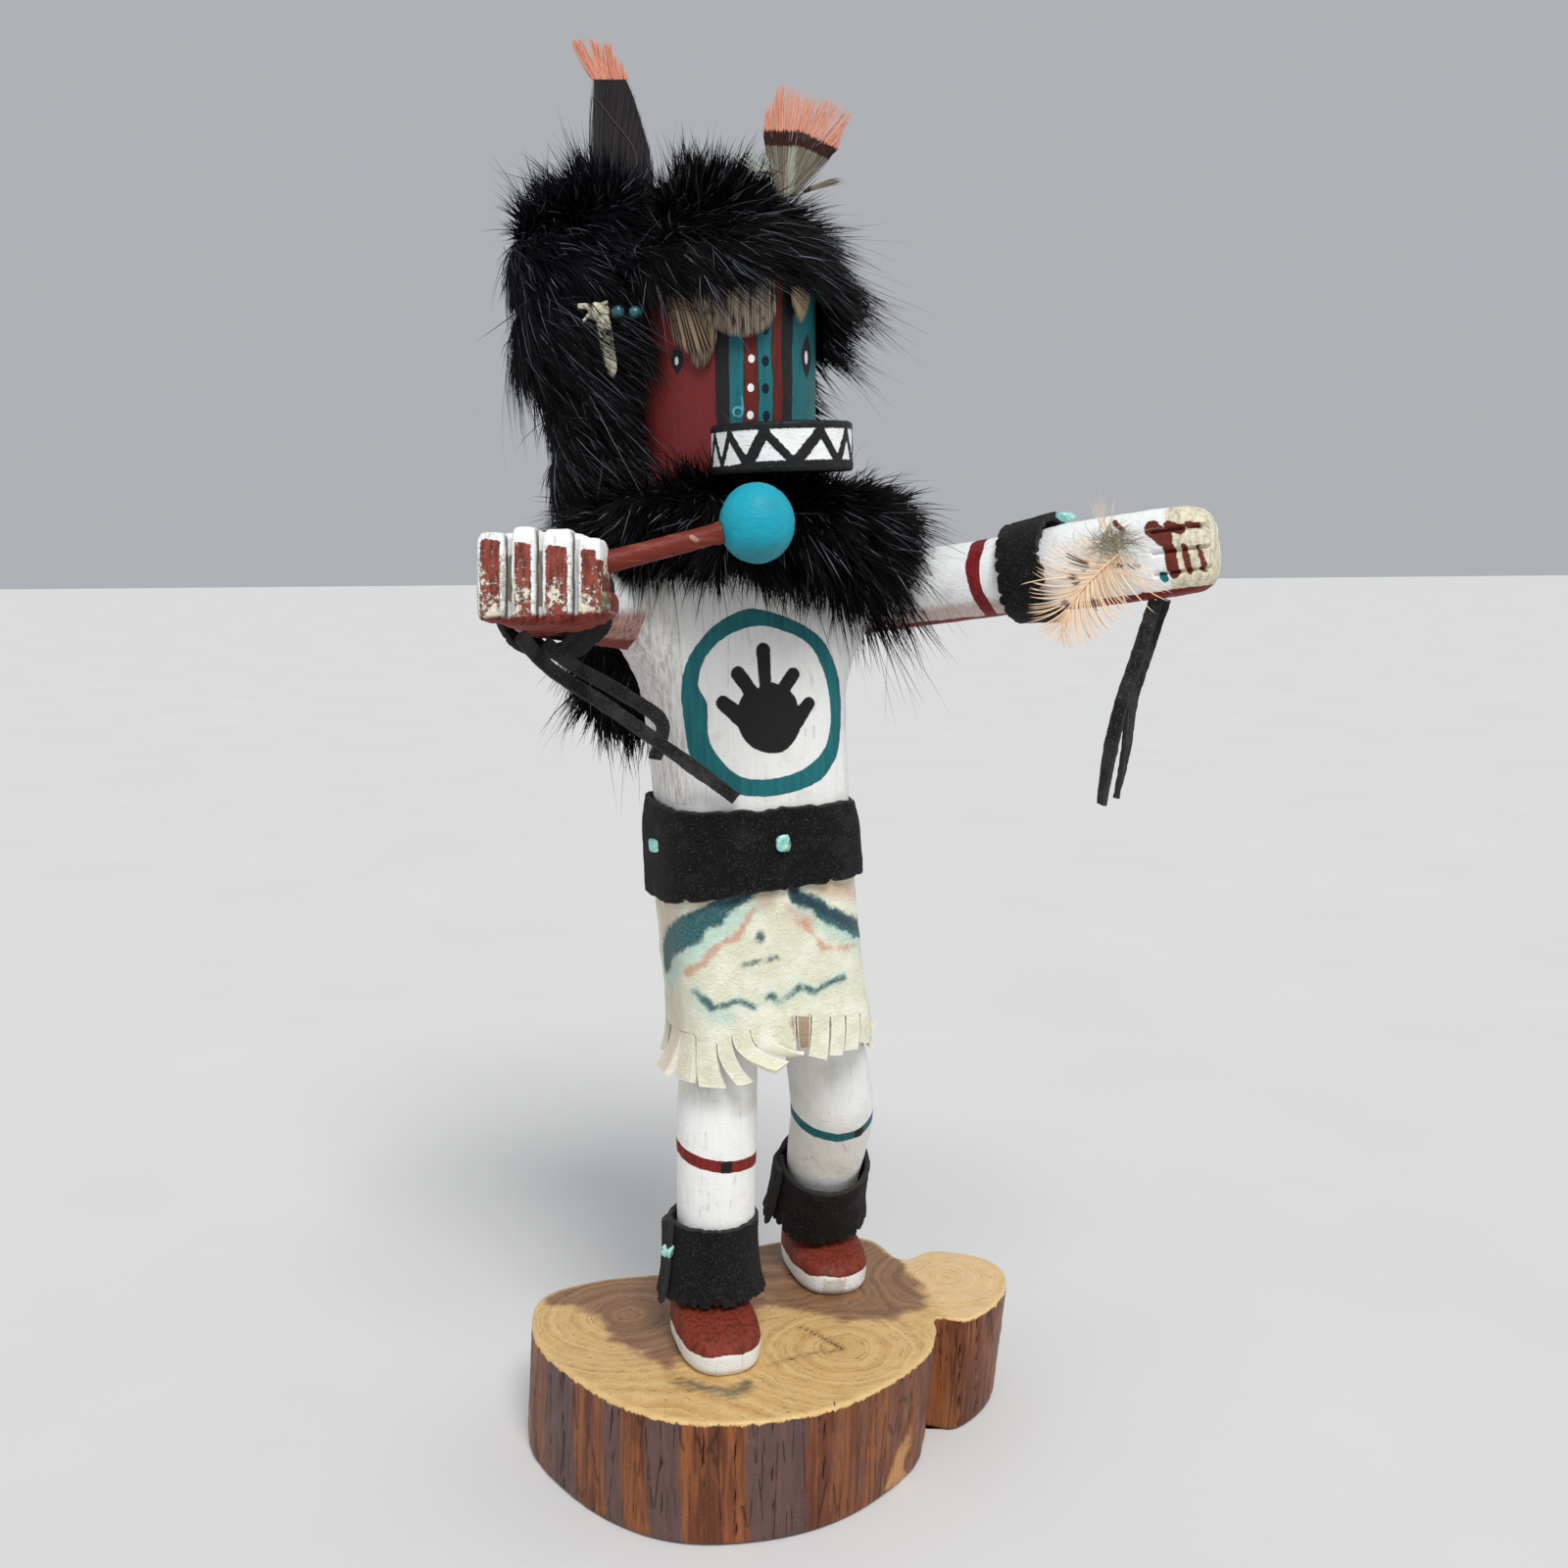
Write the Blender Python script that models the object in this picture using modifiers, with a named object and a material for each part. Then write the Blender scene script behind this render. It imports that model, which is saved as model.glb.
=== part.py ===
"""Carved and painted wooden kachina doll, striding on a slice of log.

The doll faces -Y, its left hand is at +X, and the log's underside lies on z = 0.
Sizes are in millimetres, and the object makers turn them into Blender's metres.
"""

import math

import bmesh
import bpy
from mathutils import Euler, Matrix, Vector

MM = 0.001
GAP = 0.3  # between pieces that touch
ROUND = 18  # sides of a limb
LEATHER = 1.2  # thickness of the suede
MERGE = 0.00005  # metres, for modifiers that merge points
X_AXIS = Vector((1.0, 0.0, 0.0))
Y_AXIS = Vector((0.0, 1.0, 0.0))
Z_AXIS = Vector((0.0, 0.0, 1.0))

# Log slice: outline of its top, seen from above
LOG_HEIGHT = 27.2
LOG_EDGE = 0.7
LOG_SKEW = Vector((-2.4, -0.2))
LOG_TAPER = 0.985
LOG_OUTLINE = (
    (57.9, 9.6), (56.5, 19.5), (46.0, 27.2), (36.4, 25.0), (32.6, 38.0), (20.0, 43.5), (0.0, 41.5),
    (-18.0, 33.6), (-38.0, 33.9), (-52.5, 28.5), (-57.0, 12.0), (-54.0, -4.5), (-44.5, -24.0),
    (-31.0, -36.0), (-12.0, -39.8), (6.0, -36.0), (24.0, -24.0), (31.2, -13.0), (33.6, -6.6),
    (41.0, -9.5), (52.0, -1.5),
)

# Torso: height, centre x, half width, half depth
TORSO_Y = 5.0
BOARD = 4.2  # power of the torso's superellipse, a board with rounded corners
TORSO = (
    (96.5, -4.3, 14.0, 11.0), (97.5, -4.3, 17.6, 14.0), (99.5, -4.4, 18.7, 15.5), (128.0, -6.2, 18.5, 15.2),
    (142.0, -7.1, 18.5, 15.2), (146.0, -7.3, 20.1, 16.4), (160.0, -8.3, 20.4, 16.5), (172.0, -9.3, 21.1, 16.5),
    (179.0, -9.9, 23.4, 16.3), (185.0, -10.4, 26.8, 16.0), (191.0, -10.8, 29.2, 15.6), (197.0, -11.1, 29.2, 15.0),
    (202.0, -11.4, 26.0, 14.0), (205.0, -11.6, 21.0, 12.5), (206.0, -11.7, 17.0, 10.5),
)

# Legs: centre and radius from the hip down
RIGHT_LEG = (
    (-14.3, 3.8, 106.0, 7.9), (-16.1, 2.0, 80.0, 8.9), (-16.7, 0.9, 60.0, 8.8), (-17.2, 0.5, 40.0, 8.3),
    (-17.5, 0.5, 31.0, 7.8),
)
LEFT_LEG = (
    (5.2, 6.5, 106.0, 8.0), (8.5, 7.0, 98.0, 8.6), (11.4, 7.6, 86.0, 9.4), (13.2, 9.6, 74.0, 9.6),
    (13.9, 14.8, 64.0, 9.4), (14.2, 20.6, 53.0, 8.7), (14.5, 26.2, 42.0, 8.2), (15.0, 28.6, 33.0, 7.6),
)
SHOE = 2.7  # power of the foot's superellipse
# Foot: height above the log, set back at the toe, set in at the heel, half width
FOOT = (
    (0.3, 1.0, 0.9, 7.9), (1.8, 0.1, 0.1, 8.8), (5.0, 0.0, 0.0, 9.1), (7.2, 1.8, 0.0, 8.9),
    (8.7, 5.4, 0.2, 8.4), (9.7, 9.6, 0.5, 7.6), (10.2, 12.4, 1.2, 6.4),
)
FOOT_LENGTH = 30.0
RIGHT_TOE = (-18.9, -21.0)
LEFT_TOE = (15.7, 9.0)

# Mask head: a turned cylinder with a rounded crown
HEAD_AXIS = Vector((-12.2, 6.0, 0.0))
HEAD_RADIUS = 19.0
HEAD_LOW = 206.3
HEAD_SHOULDER = 262.0
HEAD_TOP = 269.0
CROWN_TURN = 9.0  # width of the crown's rounded edge
HEAD_SIDES = 28
FACE_TURN = 7.7  # degrees from -Y towards +X

# Round mouth disc, level, standing out of the mask
DISC_RADIUS = 13.8
DISC_THICKNESS = 9.2
DISC_EDGE = 0.5
DISC_REACH = 29.5
DISC_HEIGHT = 222.9
DISC_ROLL = -2.0

# Arms: round sticks glued to the shoulders, each carved with its hand
ARM = 8.2
RIGHT_SHOULDER = Vector((-31.0, 4.6, 189.7))
RIGHT_WRIST = Vector((-58.0, -22.8, 195.0))
RIGHT_FIST = Vector((-56.9, -36.0, 197.6))
FIST_WAY = Vector((-0.34, -0.93, 0.12))
LEFT_SHOULDER = Vector((14.6, 9.7, 191.7))
LEFT_TIP = Vector((74.0, -49.6, 204.0))
LEFT_WAY = (LEFT_TIP - LEFT_SHOULDER).normalized()
LEFT_WRIST = LEFT_TIP - LEFT_WAY * 37.0
# Distance from the fist's middle: half width, half height, power
FIST = (
    (-8.0, 9.9, 8.7, 2.6), (-5.5, 11.4, 9.1, 3.4), (5.5, 11.7, 9.1, 4.0), (8.0, 10.9, 8.6, 3.6),
    (9.4, 9.3, 7.4, 3.2),
)
# Distance from the fingertips: half width, half height, power
HAND = (
    (-33.5, 8.0, 8.6, 2.2), (-29.0, 7.5, 8.9, 3.0), (-12.0, 7.3, 8.9, 3.8), (-4.5, 7.0, 8.6, 3.8),
    (-1.4, 6.2, 7.6, 3.2), (0.0, 4.8, 6.0, 2.8),
)
FIST_GROOVES = (-5.2, 0.4, 7.0)  # across the fist
FIST_GROOVE = (Vector((-0.55, -7.6, 6.8)), Vector((0.55, 12.0, 12.0)))
HAND_GROOVES = (-4.2, 0.0, 4.2)  # up the hand
HAND_GROOVE = (Vector((-12.0, -0.4, -11.0)), Vector((-6.4, 0.4, 4.0)))

# Rattle: a gourd ball on a stick through the fist
STICK_RADIUS = 2.1
STICK_SIDES = 12
STICK_END = Vector((-52.0, -39.1, 199.7))
BALL_CENTRE = Vector((-18.4, -42.0, 208.3))
BALL_RADII = Vector((7.1, 7.1, 7.6))
BALL_SIDES = 18

# Belt and kilt, outer sizes: height, centre x, half width, half depth, power, from the top down
BELT = ((149.2, -7.8, 22.5, 18.4, 4.2), (132.4, -6.9, 22.7, 18.5, 4.2))
BELT_TILT = 0.1
KILT = (
    (141.0, -7.4, 20.9, 16.7, 4.2), (130.0, -6.7, 21.0, 16.8, 4.2), (106.0, -4.4, 21.4, 17.4, 4.0),
    (97.0, -2.9, 22.8, 18.0, 3.6), (89.5, -2.7, 24.5, 18.6, 3.2),
)
KILT_TILT = 0.12
WRAP_SIDES = 28

# Cuffs: distance along the limb and outer radius, from the hand or foot up
RIGHT_WRIST_CUFF = ((-2.0, 11.6), (-5.0, 11.9), (-9.0, 11.5), (-13.0, 10.2))
LEFT_WRIST_CUFF = ((2.0, 11.4), (-2.0, 12.3), (-6.0, 12.0), (-10.5, 10.2))
RIGHT_ANKLE_CUFF = ((0.0, 11.9), (3.0, 11.2), (10.0, 10.8), (18.2, 10.6))
LEFT_ANKLE_CUFF = ((0.0, 11.9), (3.0, 11.4), (11.0, 11.1), (19.0, 10.8))
RIGHT_ANKLE = Vector((-17.2, 0.5, 37.3))
LEFT_ANKLE = Vector((14.6, 26.4, 42.2))
LEFT_SHIN = Vector((-0.04, -0.49, 0.87))
RIGHT_LIFT = 1.3  # how much the lower edge rises over the instep
LEFT_LIFT = 0.65

# Fur: lobes of the wig as centre and radii, the face opening, the collar ring and its tail
WIG_LOBES = (
    ((-12.0, 8.0, 256.0), (26.0, 26.0, 25.0)),
    ((-40.4, 16.3, 267.0), (14.5, 14.5, 14.5)),
    ((-42.0, 13.0, 250.0), (10.0, 11.0, 16.0)),
    ((-40.5, 10.5, 232.0), (10.5, 12.0, 18.0)),
    ((-38.5, 9.0, 218.0), (12.0, 12.0, 12.0)),
    ((8.8, 2.6, 246.0), (7.2, 12.0, 21.0)),
    ((-12.7, 23.0, 243.4), (26.0, 13.0, 33.0)),
)
LOBE_SIDES = 14
FACE_OPENING = (Vector((-35.0, -45.0, 200.0)), Vector((6.5, -2.0, 255.0)))
COLLAR_CENTRE = Vector((-10.0, 3.5, 202.5))
COLLAR_PATH = 22.0  # radius of the ring's centre line before it is stretched
COLLAR_TUBE = 11.8
COLLAR_STRETCH = Vector((1.2, 0.84, 0.98))
COLLAR_THIN = 0.66  # height of the collar over the right shoulder, to 1 over the left
COLLAR_RISE = 3.6  # how much higher its middle lies there
TAIL_LOBES = (
    ((-20.0, 27.5, 193.0), (22.0, 8.5, 16.0)),
    ((-28.0, 28.0, 178.0), (15.0, 7.0, 17.0)),
)

# Feathers: flat outlines of (across, height), each standing at a place and turned about Z
FEATHER = 1.0
BLACK_OUTLINE = (
    (-6.6, 282.6), (5.4, 277.8), (3.2, 291.0), (0.2, 300.0), (-0.9, 303.5), (-6.0, 304.5), (-11.0, 307.6),
    (-9.4, 303.0), (-7.2, 300.0),
)
BLACK_PLACE = Vector((-32.0, 14.0, 0.0))
FAN_OUTLINE = (
    (-1.1, 276.4), (1.6, 276.4), (11.2, 283.0), (12.0, 286.0), (14.0, 290.4), (10.0, 292.6), (5.6, 293.4),
    (4.6, 296.0), (-1.4, 296.2), (-4.0, 291.0), (-3.8, 287.0), (-1.6, 280.0),
)
FAN_PLACE = Vector((-2.6, -4.9, 0.0))
HAND_OUTLINE = (
    (-3.0, 208.0), (3.4, 208.6), (6.5, 200.0), (12.0, 193.0), (2.6, 189.0), (-2.0, 185.6), (-8.0, 183.8),
    (-13.0, 187.0), (-17.0, 195.0), (-8.0, 202.0),
)
HAND_PLACE = Vector((53.0, -44.6, 0.0))
FREE_TURN = -16.0
HAND_TURN = -32.0
# Brow feathers, lying on the mask: first and last angle from -Y, lowest point, rise of its corners
BROW_BARRED = (-50.0, -26.0, 238.4, 3.0)
BROW_ROUND = (-24.0, 13.0, 245.0, 4.5)
BROW_TAN = (28.0, 40.0, 248.5, 2.0)
BROW_TOP = FACE_OPENING[1].z - GAP
BROW_COLUMNS = 6

# Ear tie, beads and stone chips
TIE_KNOT = Vector((-40.6, -0.4, 250.6))
TIE_RADII = Vector((2.3, 1.5, 2.0))
TIE_TAIL = (Vector((0.4, 0.2, 0.0)), Vector((3.4, -1.2, -12.0)))
TIE_TAIL_RADIUS = 1.1
TRIM_SIDES = 8
BEAD_RADII = Vector((1.3, 1.3, 1.3))
OUTER_BEAD = Vector((-36.4, -2.2, 250.0))
INNER_BEAD = Vector((-33.2, -3.8, 249.8))
CHIP_SIDES = 6
CHIP_HEIGHT = 1.6
CHIP_TAPER = 0.6
# Chips: centre of the seat and radius
FRONT_CHIP = (Vector((-5.2, TORSO_Y - BELT[1][3] - GAP, 142.2)), 1.9)
SIDE_CHIP = (Vector((BELT[1][1] - BELT[1][2] - 2 * GAP, -2.4, 140.6)), 1.7)
ANKLE_CHIP = (Vector((-28.6, -3.3, 49.6)), 1.8)
ANKLE_CHIP_WAY = Vector((-0.94, -0.34, 0.0))
WRIST_CHIP_REACH = 12.9
WRIST_CHIP_RADIUS = 1.9

# Thongs: suede laces, from the hand to the free end
LACE = 2.9
RIGHT_LACE_FRONT = (
    (-57.0, -26.6, 184.4), (-54.8, -24.4, 180.2), (-43.2, -20.8, 172.4), (-28.6, -16.7, 161.8),
    (-15.6, -13.6, 151.9),
)
RIGHT_LACE_BACK = (
    (-52.8, -26.2, 183.2), (-49.6, -21.2, 180.6), (-38.6, -15.4, 174.0), (-30.8, -12.7, 168.0),
    (-32.2, -12.0, 160.6),
)
LEFT_LACE_FRONT = (
    (64.0, -43.0, 191.3), (62.8, -42.4, 182.6), (60.2, -41.7, 172.8), (57.2, -40.9, 161.8), (55.0, -40.2, 151.6),
)
LEFT_LACE_BACK = (
    (67.2, -40.9, 191.6), (65.4, -40.1, 182.0), (63.6, -39.5, 172.8), (62.6, -39.2, 162.0), (60.8, -38.7, 152.6),
)


# ---------------------------------------------------------------- objects and materials


def clear_scene():
    for thing in list(bpy.data.objects):
        bpy.data.objects.remove(thing, do_unlink=True)


def collection(name):
    made = bpy.data.collections.new(name)
    bpy.context.scene.collection.children.link(made)
    return made


def finish(name, colour, roughness):
    made = bpy.data.materials.new(name)
    made.use_nodes = True
    shader = made.node_tree.nodes["Principled BSDF"]
    shader.inputs["Base Color"].default_value = (*colour, 1.0)
    shader.inputs["Roughness"].default_value = roughness
    made.diffuse_color = (*colour, 1.0)
    return made


def piece(name, shape, material=None, at=(0.0, 0.0, 0.0), turn=Matrix()):
    """An object from a bmesh in millimetres; one without a material only cuts or joins others."""
    bmesh.ops.scale(shape, vec=(MM, MM, MM), verts=shape.verts)
    bmesh.ops.recalc_face_normals(shape, faces=shape.faces)
    mesh = bpy.data.meshes.new(name)
    shape.to_mesh(mesh)
    shape.free()
    mesh.shade_smooth()
    mesh.set_sharp_from_angle(angle=math.radians(40))
    made = bpy.data.objects.new(name, mesh)
    made.location = Vector(at) * MM
    made.rotation_euler = turn.to_euler()
    if material:
        mesh.materials.append(material)
        DOLL.objects.link(made)
    else:
        made.hide_render = True
        made.display_type = "WIRE"
        TOOLS.objects.link(made)
    return made


def combine(target, operation, others):
    for other in others:
        step = target.modifiers.new(f"{operation.lower()} {other.name}", "BOOLEAN")
        step.operation = operation
        step.object = other


def cut(target, *others):
    combine(target, "DIFFERENCE", others)


def join(target, *others):
    combine(target, "UNION", others)


def thicken(target, thickness=LEATHER):
    """Give an open skin a wall, inwards from its outer face."""
    wall = target.modifiers.new("wall", "SOLIDIFY")
    wall.thickness = thickness * MM
    wall.offset = -1.0
    return target


def turning(first, second):
    """The turn that takes the Z axis from one direction to another."""
    return first.rotation_difference(second).to_matrix().to_4x4()


# ---------------------------------------------------------------- shape makers


def ring(centre, across, up, half_a, half_b, power=2.0, count=ROUND):
    """Points of a superellipse around a centre, in the plane of across and up."""
    points = []
    for step in range(count):
        angle = math.tau * step / count
        c, s = math.cos(angle), math.sin(angle)
        a = half_a * math.copysign(abs(c) ** (2 / power), c)
        b = half_b * math.copysign(abs(s) ** (2 / power), s)
        points.append(centre + across * a + up * b)
    return points


def loft(rings, capped=True):
    """A skin over rings of equal counts, capped at both ends or left open."""
    shape = bmesh.new()
    rows = [[shape.verts.new(point) for point in points] for points in rings]
    for low, high in zip(rows, rows[1:]):
        for i in range(len(low)):
            j = (i + 1) % len(low)
            shape.faces.new((low[i], low[j], high[j], high[i]))
    if capped:
        shape.faces.new(reversed(rows[0]))
        shape.faces.new(rows[-1])
    return shape


def spline(points, steps, closed=False):
    """A smooth curve through the points, with a number of steps to each span."""
    points = [Vector(point) for point in points]
    count = len(points)
    found = []
    for i in range(count if closed else count - 1):
        near = [i + k if closed else min(max(i + k, 0), count - 1) for k in (-1, 0, 1, 2)]
        a, b, c, d = (points[k % count] for k in near)
        for step in range(steps):
            t = step / steps
            bend = (2 * a - 5 * b + 4 * c - d) * t**2 + (3 * b - a - 3 * c + d) * t**3
            found.append(0.5 * (2 * b + (c - a) * t + bend))
    if not closed:
        found.append(points[-1])
    return found


def ball(radii, sides):
    shape = bmesh.new()
    bmesh.ops.create_uvsphere(shape, u_segments=sides, v_segments=sides // 2 + 1, radius=1.0)
    bmesh.ops.scale(shape, vec=radii, verts=shape.verts)
    return shape


def block(low, high):
    shape = bmesh.new()
    bmesh.ops.create_cube(shape, size=1.0)
    bmesh.ops.scale(shape, vec=high - low, verts=shape.verts)
    bmesh.ops.translate(shape, vec=(low + high) / 2, verts=shape.verts)
    return shape


def cylinder(radius, height, sides, taper=1.0):
    """A round bar on the XY plane, standing on it."""
    shape = bmesh.new()
    bmesh.ops.create_cone(
        shape, cap_ends=True, segments=sides, radius1=radius, radius2=radius * taper, depth=height
    )
    bmesh.ops.translate(shape, vec=(0, 0, height / 2), verts=shape.verts)
    return shape


def axes_along(way):
    """Axes of a limb: across (level, to the doll's left), up, and along."""
    along = way.normalized()
    across = Z_AXIS.cross(along).normalized()
    return across, along.cross(across), along


# ---------------------------------------------------------------- log and body


def make_log():
    top = spline(LOG_OUTLINE, 3, closed=True)
    middle = sum(top, Vector((0, 0))) / len(top)
    rings = []
    for height, inset in ((0, 0.8), (1.2, 0), (LOG_HEIGHT - LOG_EDGE, 0), (LOG_HEIGHT, LOG_EDGE)):
        share = 1 - height / LOG_HEIGHT
        points = []
        for p in top:
            q = p * (1 + (LOG_TAPER - 1) * share) + LOG_SKEW * share
            q -= (q - middle).normalized() * inset
            points.append(Vector((q.x, q.y, height)))
        rings.append(points)
    piece("base", loft(rings), LOG_WOOD)


def torso_shape(grow=0.0):
    rings = []
    for height, x, half_width, half_depth in TORSO:
        top = grow if height == TORSO[-1][0] else 0.0
        centre = Vector((x, TORSO_Y, height + top))
        rings.append(ring(centre, X_AXIS, Y_AXIS, half_width + grow, half_depth + grow, BOARD, 24))
    return loft(rings)


def leg_shape(stations):
    smooth = spline(stations, 2)
    return loft([ring(row.to_3d(), X_AXIS, Y_AXIS, row[3], row[3]) for row in reversed(smooth)])


def foot_shape(toe):
    x, front = toe
    rings = []
    for height, toe_back, heel_in, half_width in FOOT:
        low, high = front + toe_back, front + FOOT_LENGTH - heel_in
        centre = Vector((x, (low + high) / 2, LOG_HEIGHT + height))
        rings.append(ring(centre, X_AXIS, Y_AXIS, half_width, (high - low) / 2, SHOE))
    return loft(rings)


def make_body():
    body = piece("body", torso_shape(), WHITE_PAINT)
    join(
        body,
        piece("right leg", leg_shape(RIGHT_LEG)),
        piece("left leg", leg_shape(LEFT_LEG)),
        piece("right foot", foot_shape(RIGHT_TOE)),
        piece("left foot", foot_shape(LEFT_TOE)),
    )


# ---------------------------------------------------------------- mask


def turned_head(name, material=None, grow=0.0):
    """The mask, or its cutter, as a profile turned about its own axis."""
    rise = HEAD_TOP - HEAD_SHOULDER + grow
    radius = HEAD_RADIUS + grow
    profile = [(0.0, HEAD_SHOULDER + rise)]
    for degrees in (70, 45, 20, 0):
        turn = math.radians(degrees)
        profile.append((radius - CROWN_TURN * (1 - math.cos(turn)), HEAD_SHOULDER + rise * math.sin(turn)))
    profile += [(radius, HEAD_LOW - grow), (0.0, HEAD_LOW - grow)]
    shape = bmesh.new()
    points = [shape.verts.new((across, 0.0, height)) for across, height in profile]
    for upper, lower in zip(points, points[1:]):
        shape.edges.new((upper, lower))
    made = piece(name, shape, material, HEAD_AXIS)
    turned = made.modifiers.new("turned", "SCREW")
    turned.steps = HEAD_SIDES
    turned.render_steps = HEAD_SIDES
    turned.use_merge_vertices = True
    turned.merge_threshold = MERGE
    return made


def mouth_disc(name, material=None, grow=0.0):
    turn = math.radians(FACE_TURN)
    centre = HEAD_AXIS + Vector((math.sin(turn), -math.cos(turn), 0.0)) * DISC_REACH
    thickness = DISC_THICKNESS + 2 * grow
    centre.z = DISC_HEIGHT - thickness / 2
    roll = Euler((0.0, math.radians(DISC_ROLL), 0.0)).to_matrix().to_4x4()
    made = piece(name, cylinder(DISC_RADIUS + grow, thickness, HEAD_SIDES), material, centre, roll)
    edge = made.modifiers.new("worn edge", "BEVEL")
    edge.width = DISC_EDGE * MM
    edge.segments = 1
    return made


# ---------------------------------------------------------------- arms and rattle


def arm_shape(shoulder, wrist, middle, way, stations, grow=0.0):
    """A round stick from shoulder to wrist that runs on into a carved hand."""
    across, up, _ = axes_along(wrist - shoulder)
    rings = [ring(point, across, up, ARM + grow, ARM + grow) for point in (shoulder, wrist)]
    across, up, along = axes_along(way)
    for distance, half_width, half_height, power in stations:
        centre = middle + along * distance
        rings.append(ring(centre, across, up, half_width + grow, half_height + grow, power))
    return loft(rings)


def right_arm_shape(grow=0.0):
    return arm_shape(RIGHT_SHOULDER, RIGHT_WRIST, RIGHT_FIST, FIST_WAY, FIST, grow)


def left_arm_shape(grow=0.0):
    return arm_shape(LEFT_SHOULDER, LEFT_WRIST, LEFT_TIP, LEFT_WAY, HAND, grow)


def grooves(target, origin, way, places, step, corners):
    """Saw cuts between the fingers, in a hand's own across, up and along distances."""
    frame = Matrix(axes_along(way)).transposed().to_4x4()
    for number, place in enumerate(places):
        low, high = (corner + step * place for corner in corners)
        cut(target, piece(f"{target.name} groove {number}", block(low, high), None, origin, frame))


def stick(name, start, radius, material=None):
    """A round stick from start to the middle of the rattle's ball."""
    way = BALL_CENTRE - start
    return piece(name, cylinder(radius, way.length, STICK_SIDES), material, start, turning(Z_AXIS, way))


def make_arms():
    right = piece("right_arm", right_arm_shape(), WHITE_PAINT)
    left = piece("left_arm", left_arm_shape(), WHITE_PAINT)
    shoulders = piece("shoulders cutter", torso_shape(GAP))
    cut(right, shoulders)
    cut(left, shoulders)
    grooves(right, RIGHT_FIST, FIST_WAY, FIST_GROOVES, X_AXIS, FIST_GROOVE)
    grooves(left, LEFT_TIP, LEFT_WAY, HAND_GROOVES, Y_AXIS, HAND_GROOVE)
    way = (BALL_CENTRE - STICK_END).normalized()
    cut(right, stick("rattle hole", STICK_END - way * GAP, STICK_RADIUS + GAP))


def make_rattle():
    handle = stick("rattle_stick", STICK_END, STICK_RADIUS, RED_PAINT)
    cut(handle, piece("ball cutter", ball(BALL_RADII + Vector((GAP, GAP, GAP)), BALL_SIDES), None, BALL_CENTRE))
    piece("rattle_ball", ball(BALL_RADII, BALL_SIDES), TURQUOISE_PAINT, BALL_CENTRE)


# ---------------------------------------------------------------- leather


def wrap(name, stations, tilt, material):
    """A leather skin around the torso, its lower edge tilted to one side."""
    top, low = stations[0][0], stations[-1][0]
    rings = []
    for height, x, half_width, half_depth, power in reversed(stations):
        share = (top - height) / (top - low)
        points = ring(Vector((x, TORSO_Y, height)), X_AXIS, Y_AXIS, half_width, half_depth, power, WRAP_SIDES)
        rings.append([p + Z_AXIS * (tilt * share * (p.x - x)) for p in points])
    return thicken(piece(name, loft(rings, capped=False), material))


def cuff(name, origin, way, stations, lift=0.0):
    """A strap around a limb; lift raises the front of its first edge."""
    across, up, along = axes_along(way) if way != Z_AXIS else (X_AXIS, Y_AXIS, Z_AXIS)
    rings = []
    for distance, radius in stations:
        points = ring(along * distance, across, up, radius, radius)
        if distance == stations[0][0]:
            points = [p - along * (lift * p.y / radius) for p in points]
        rings.append(points)
    return thicken(piece(name, loft(rings, capped=False), BLACK_SUEDE, origin))


def make_leather():
    wrap("belt", BELT, BELT_TILT, BLACK_SUEDE)
    wrap("kilt", KILT, KILT_TILT, CREAM_SUEDE)
    cuff("right_wrist_cuff", RIGHT_WRIST, RIGHT_WRIST - RIGHT_SHOULDER, RIGHT_WRIST_CUFF)
    cuff("left_wrist_cuff", LEFT_WRIST, LEFT_WAY, LEFT_WRIST_CUFF)
    cuff("right_ankle_cuff", RIGHT_ANKLE, Z_AXIS, RIGHT_ANKLE_CUFF, RIGHT_LIFT)
    cuff("left_ankle_cuff", LEFT_ANKLE, LEFT_SHIN, LEFT_ANKLE_CUFF, LEFT_LIFT)


# ---------------------------------------------------------------- fur


def fur_lobes(label, lobes, grow=0.0):
    grown = Vector((grow, grow, grow))
    return [
        piece(f"{label} {number}", ball(Vector(radii) + grown, LOBE_SIDES), None, centre)
        for number, (centre, radii) in enumerate(lobes)
    ]


def collar_ring():
    bpy.ops.mesh.primitive_torus_add(
        major_segments=22, minor_segments=10, major_radius=COLLAR_PATH, minor_radius=COLLAR_TUBE
    )
    made = bpy.context.active_object
    shape = bmesh.new()
    shape.from_mesh(made.data)
    bpy.data.objects.remove(made, do_unlink=True)
    bmesh.ops.scale(shape, vec=COLLAR_STRETCH, verts=shape.verts)
    reach = (COLLAR_PATH + COLLAR_TUBE) * COLLAR_STRETCH.x
    for vert in shape.verts:
        right = (1 - vert.co.x / reach) / 2
        vert.co.z = vert.co.z * (1 + (COLLAR_THIN - 1) * right) + COLLAR_RISE * right
    return shape


def make_fur():
    head = turned_head("head cutter", grow=GAP)
    wig = piece("fur_wig", ball(WIG_LOBES[0][1], LOBE_SIDES), BLACK_FUR, WIG_LOBES[0][0])
    join(wig, *fur_lobes("wig lobe", WIG_LOBES[1:]))
    cut(wig, piece("face opening", block(*FACE_OPENING)), head)

    collar = piece("fur_collar", collar_ring(), BLACK_FUR, COLLAR_CENTRE)
    join(collar, *fur_lobes("tail lobe", TAIL_LOBES))
    cut(collar, piece("torso cutter", torso_shape(GAP)), head, mouth_disc("disc cutter", grow=GAP))
    cut(collar, piece("right arm cutter", right_arm_shape(GAP)), piece("left arm cutter", left_arm_shape(GAP)))
    cut(collar, *fur_lobes("grown wig lobe", WIG_LOBES, GAP))


# ---------------------------------------------------------------- feathers


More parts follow.
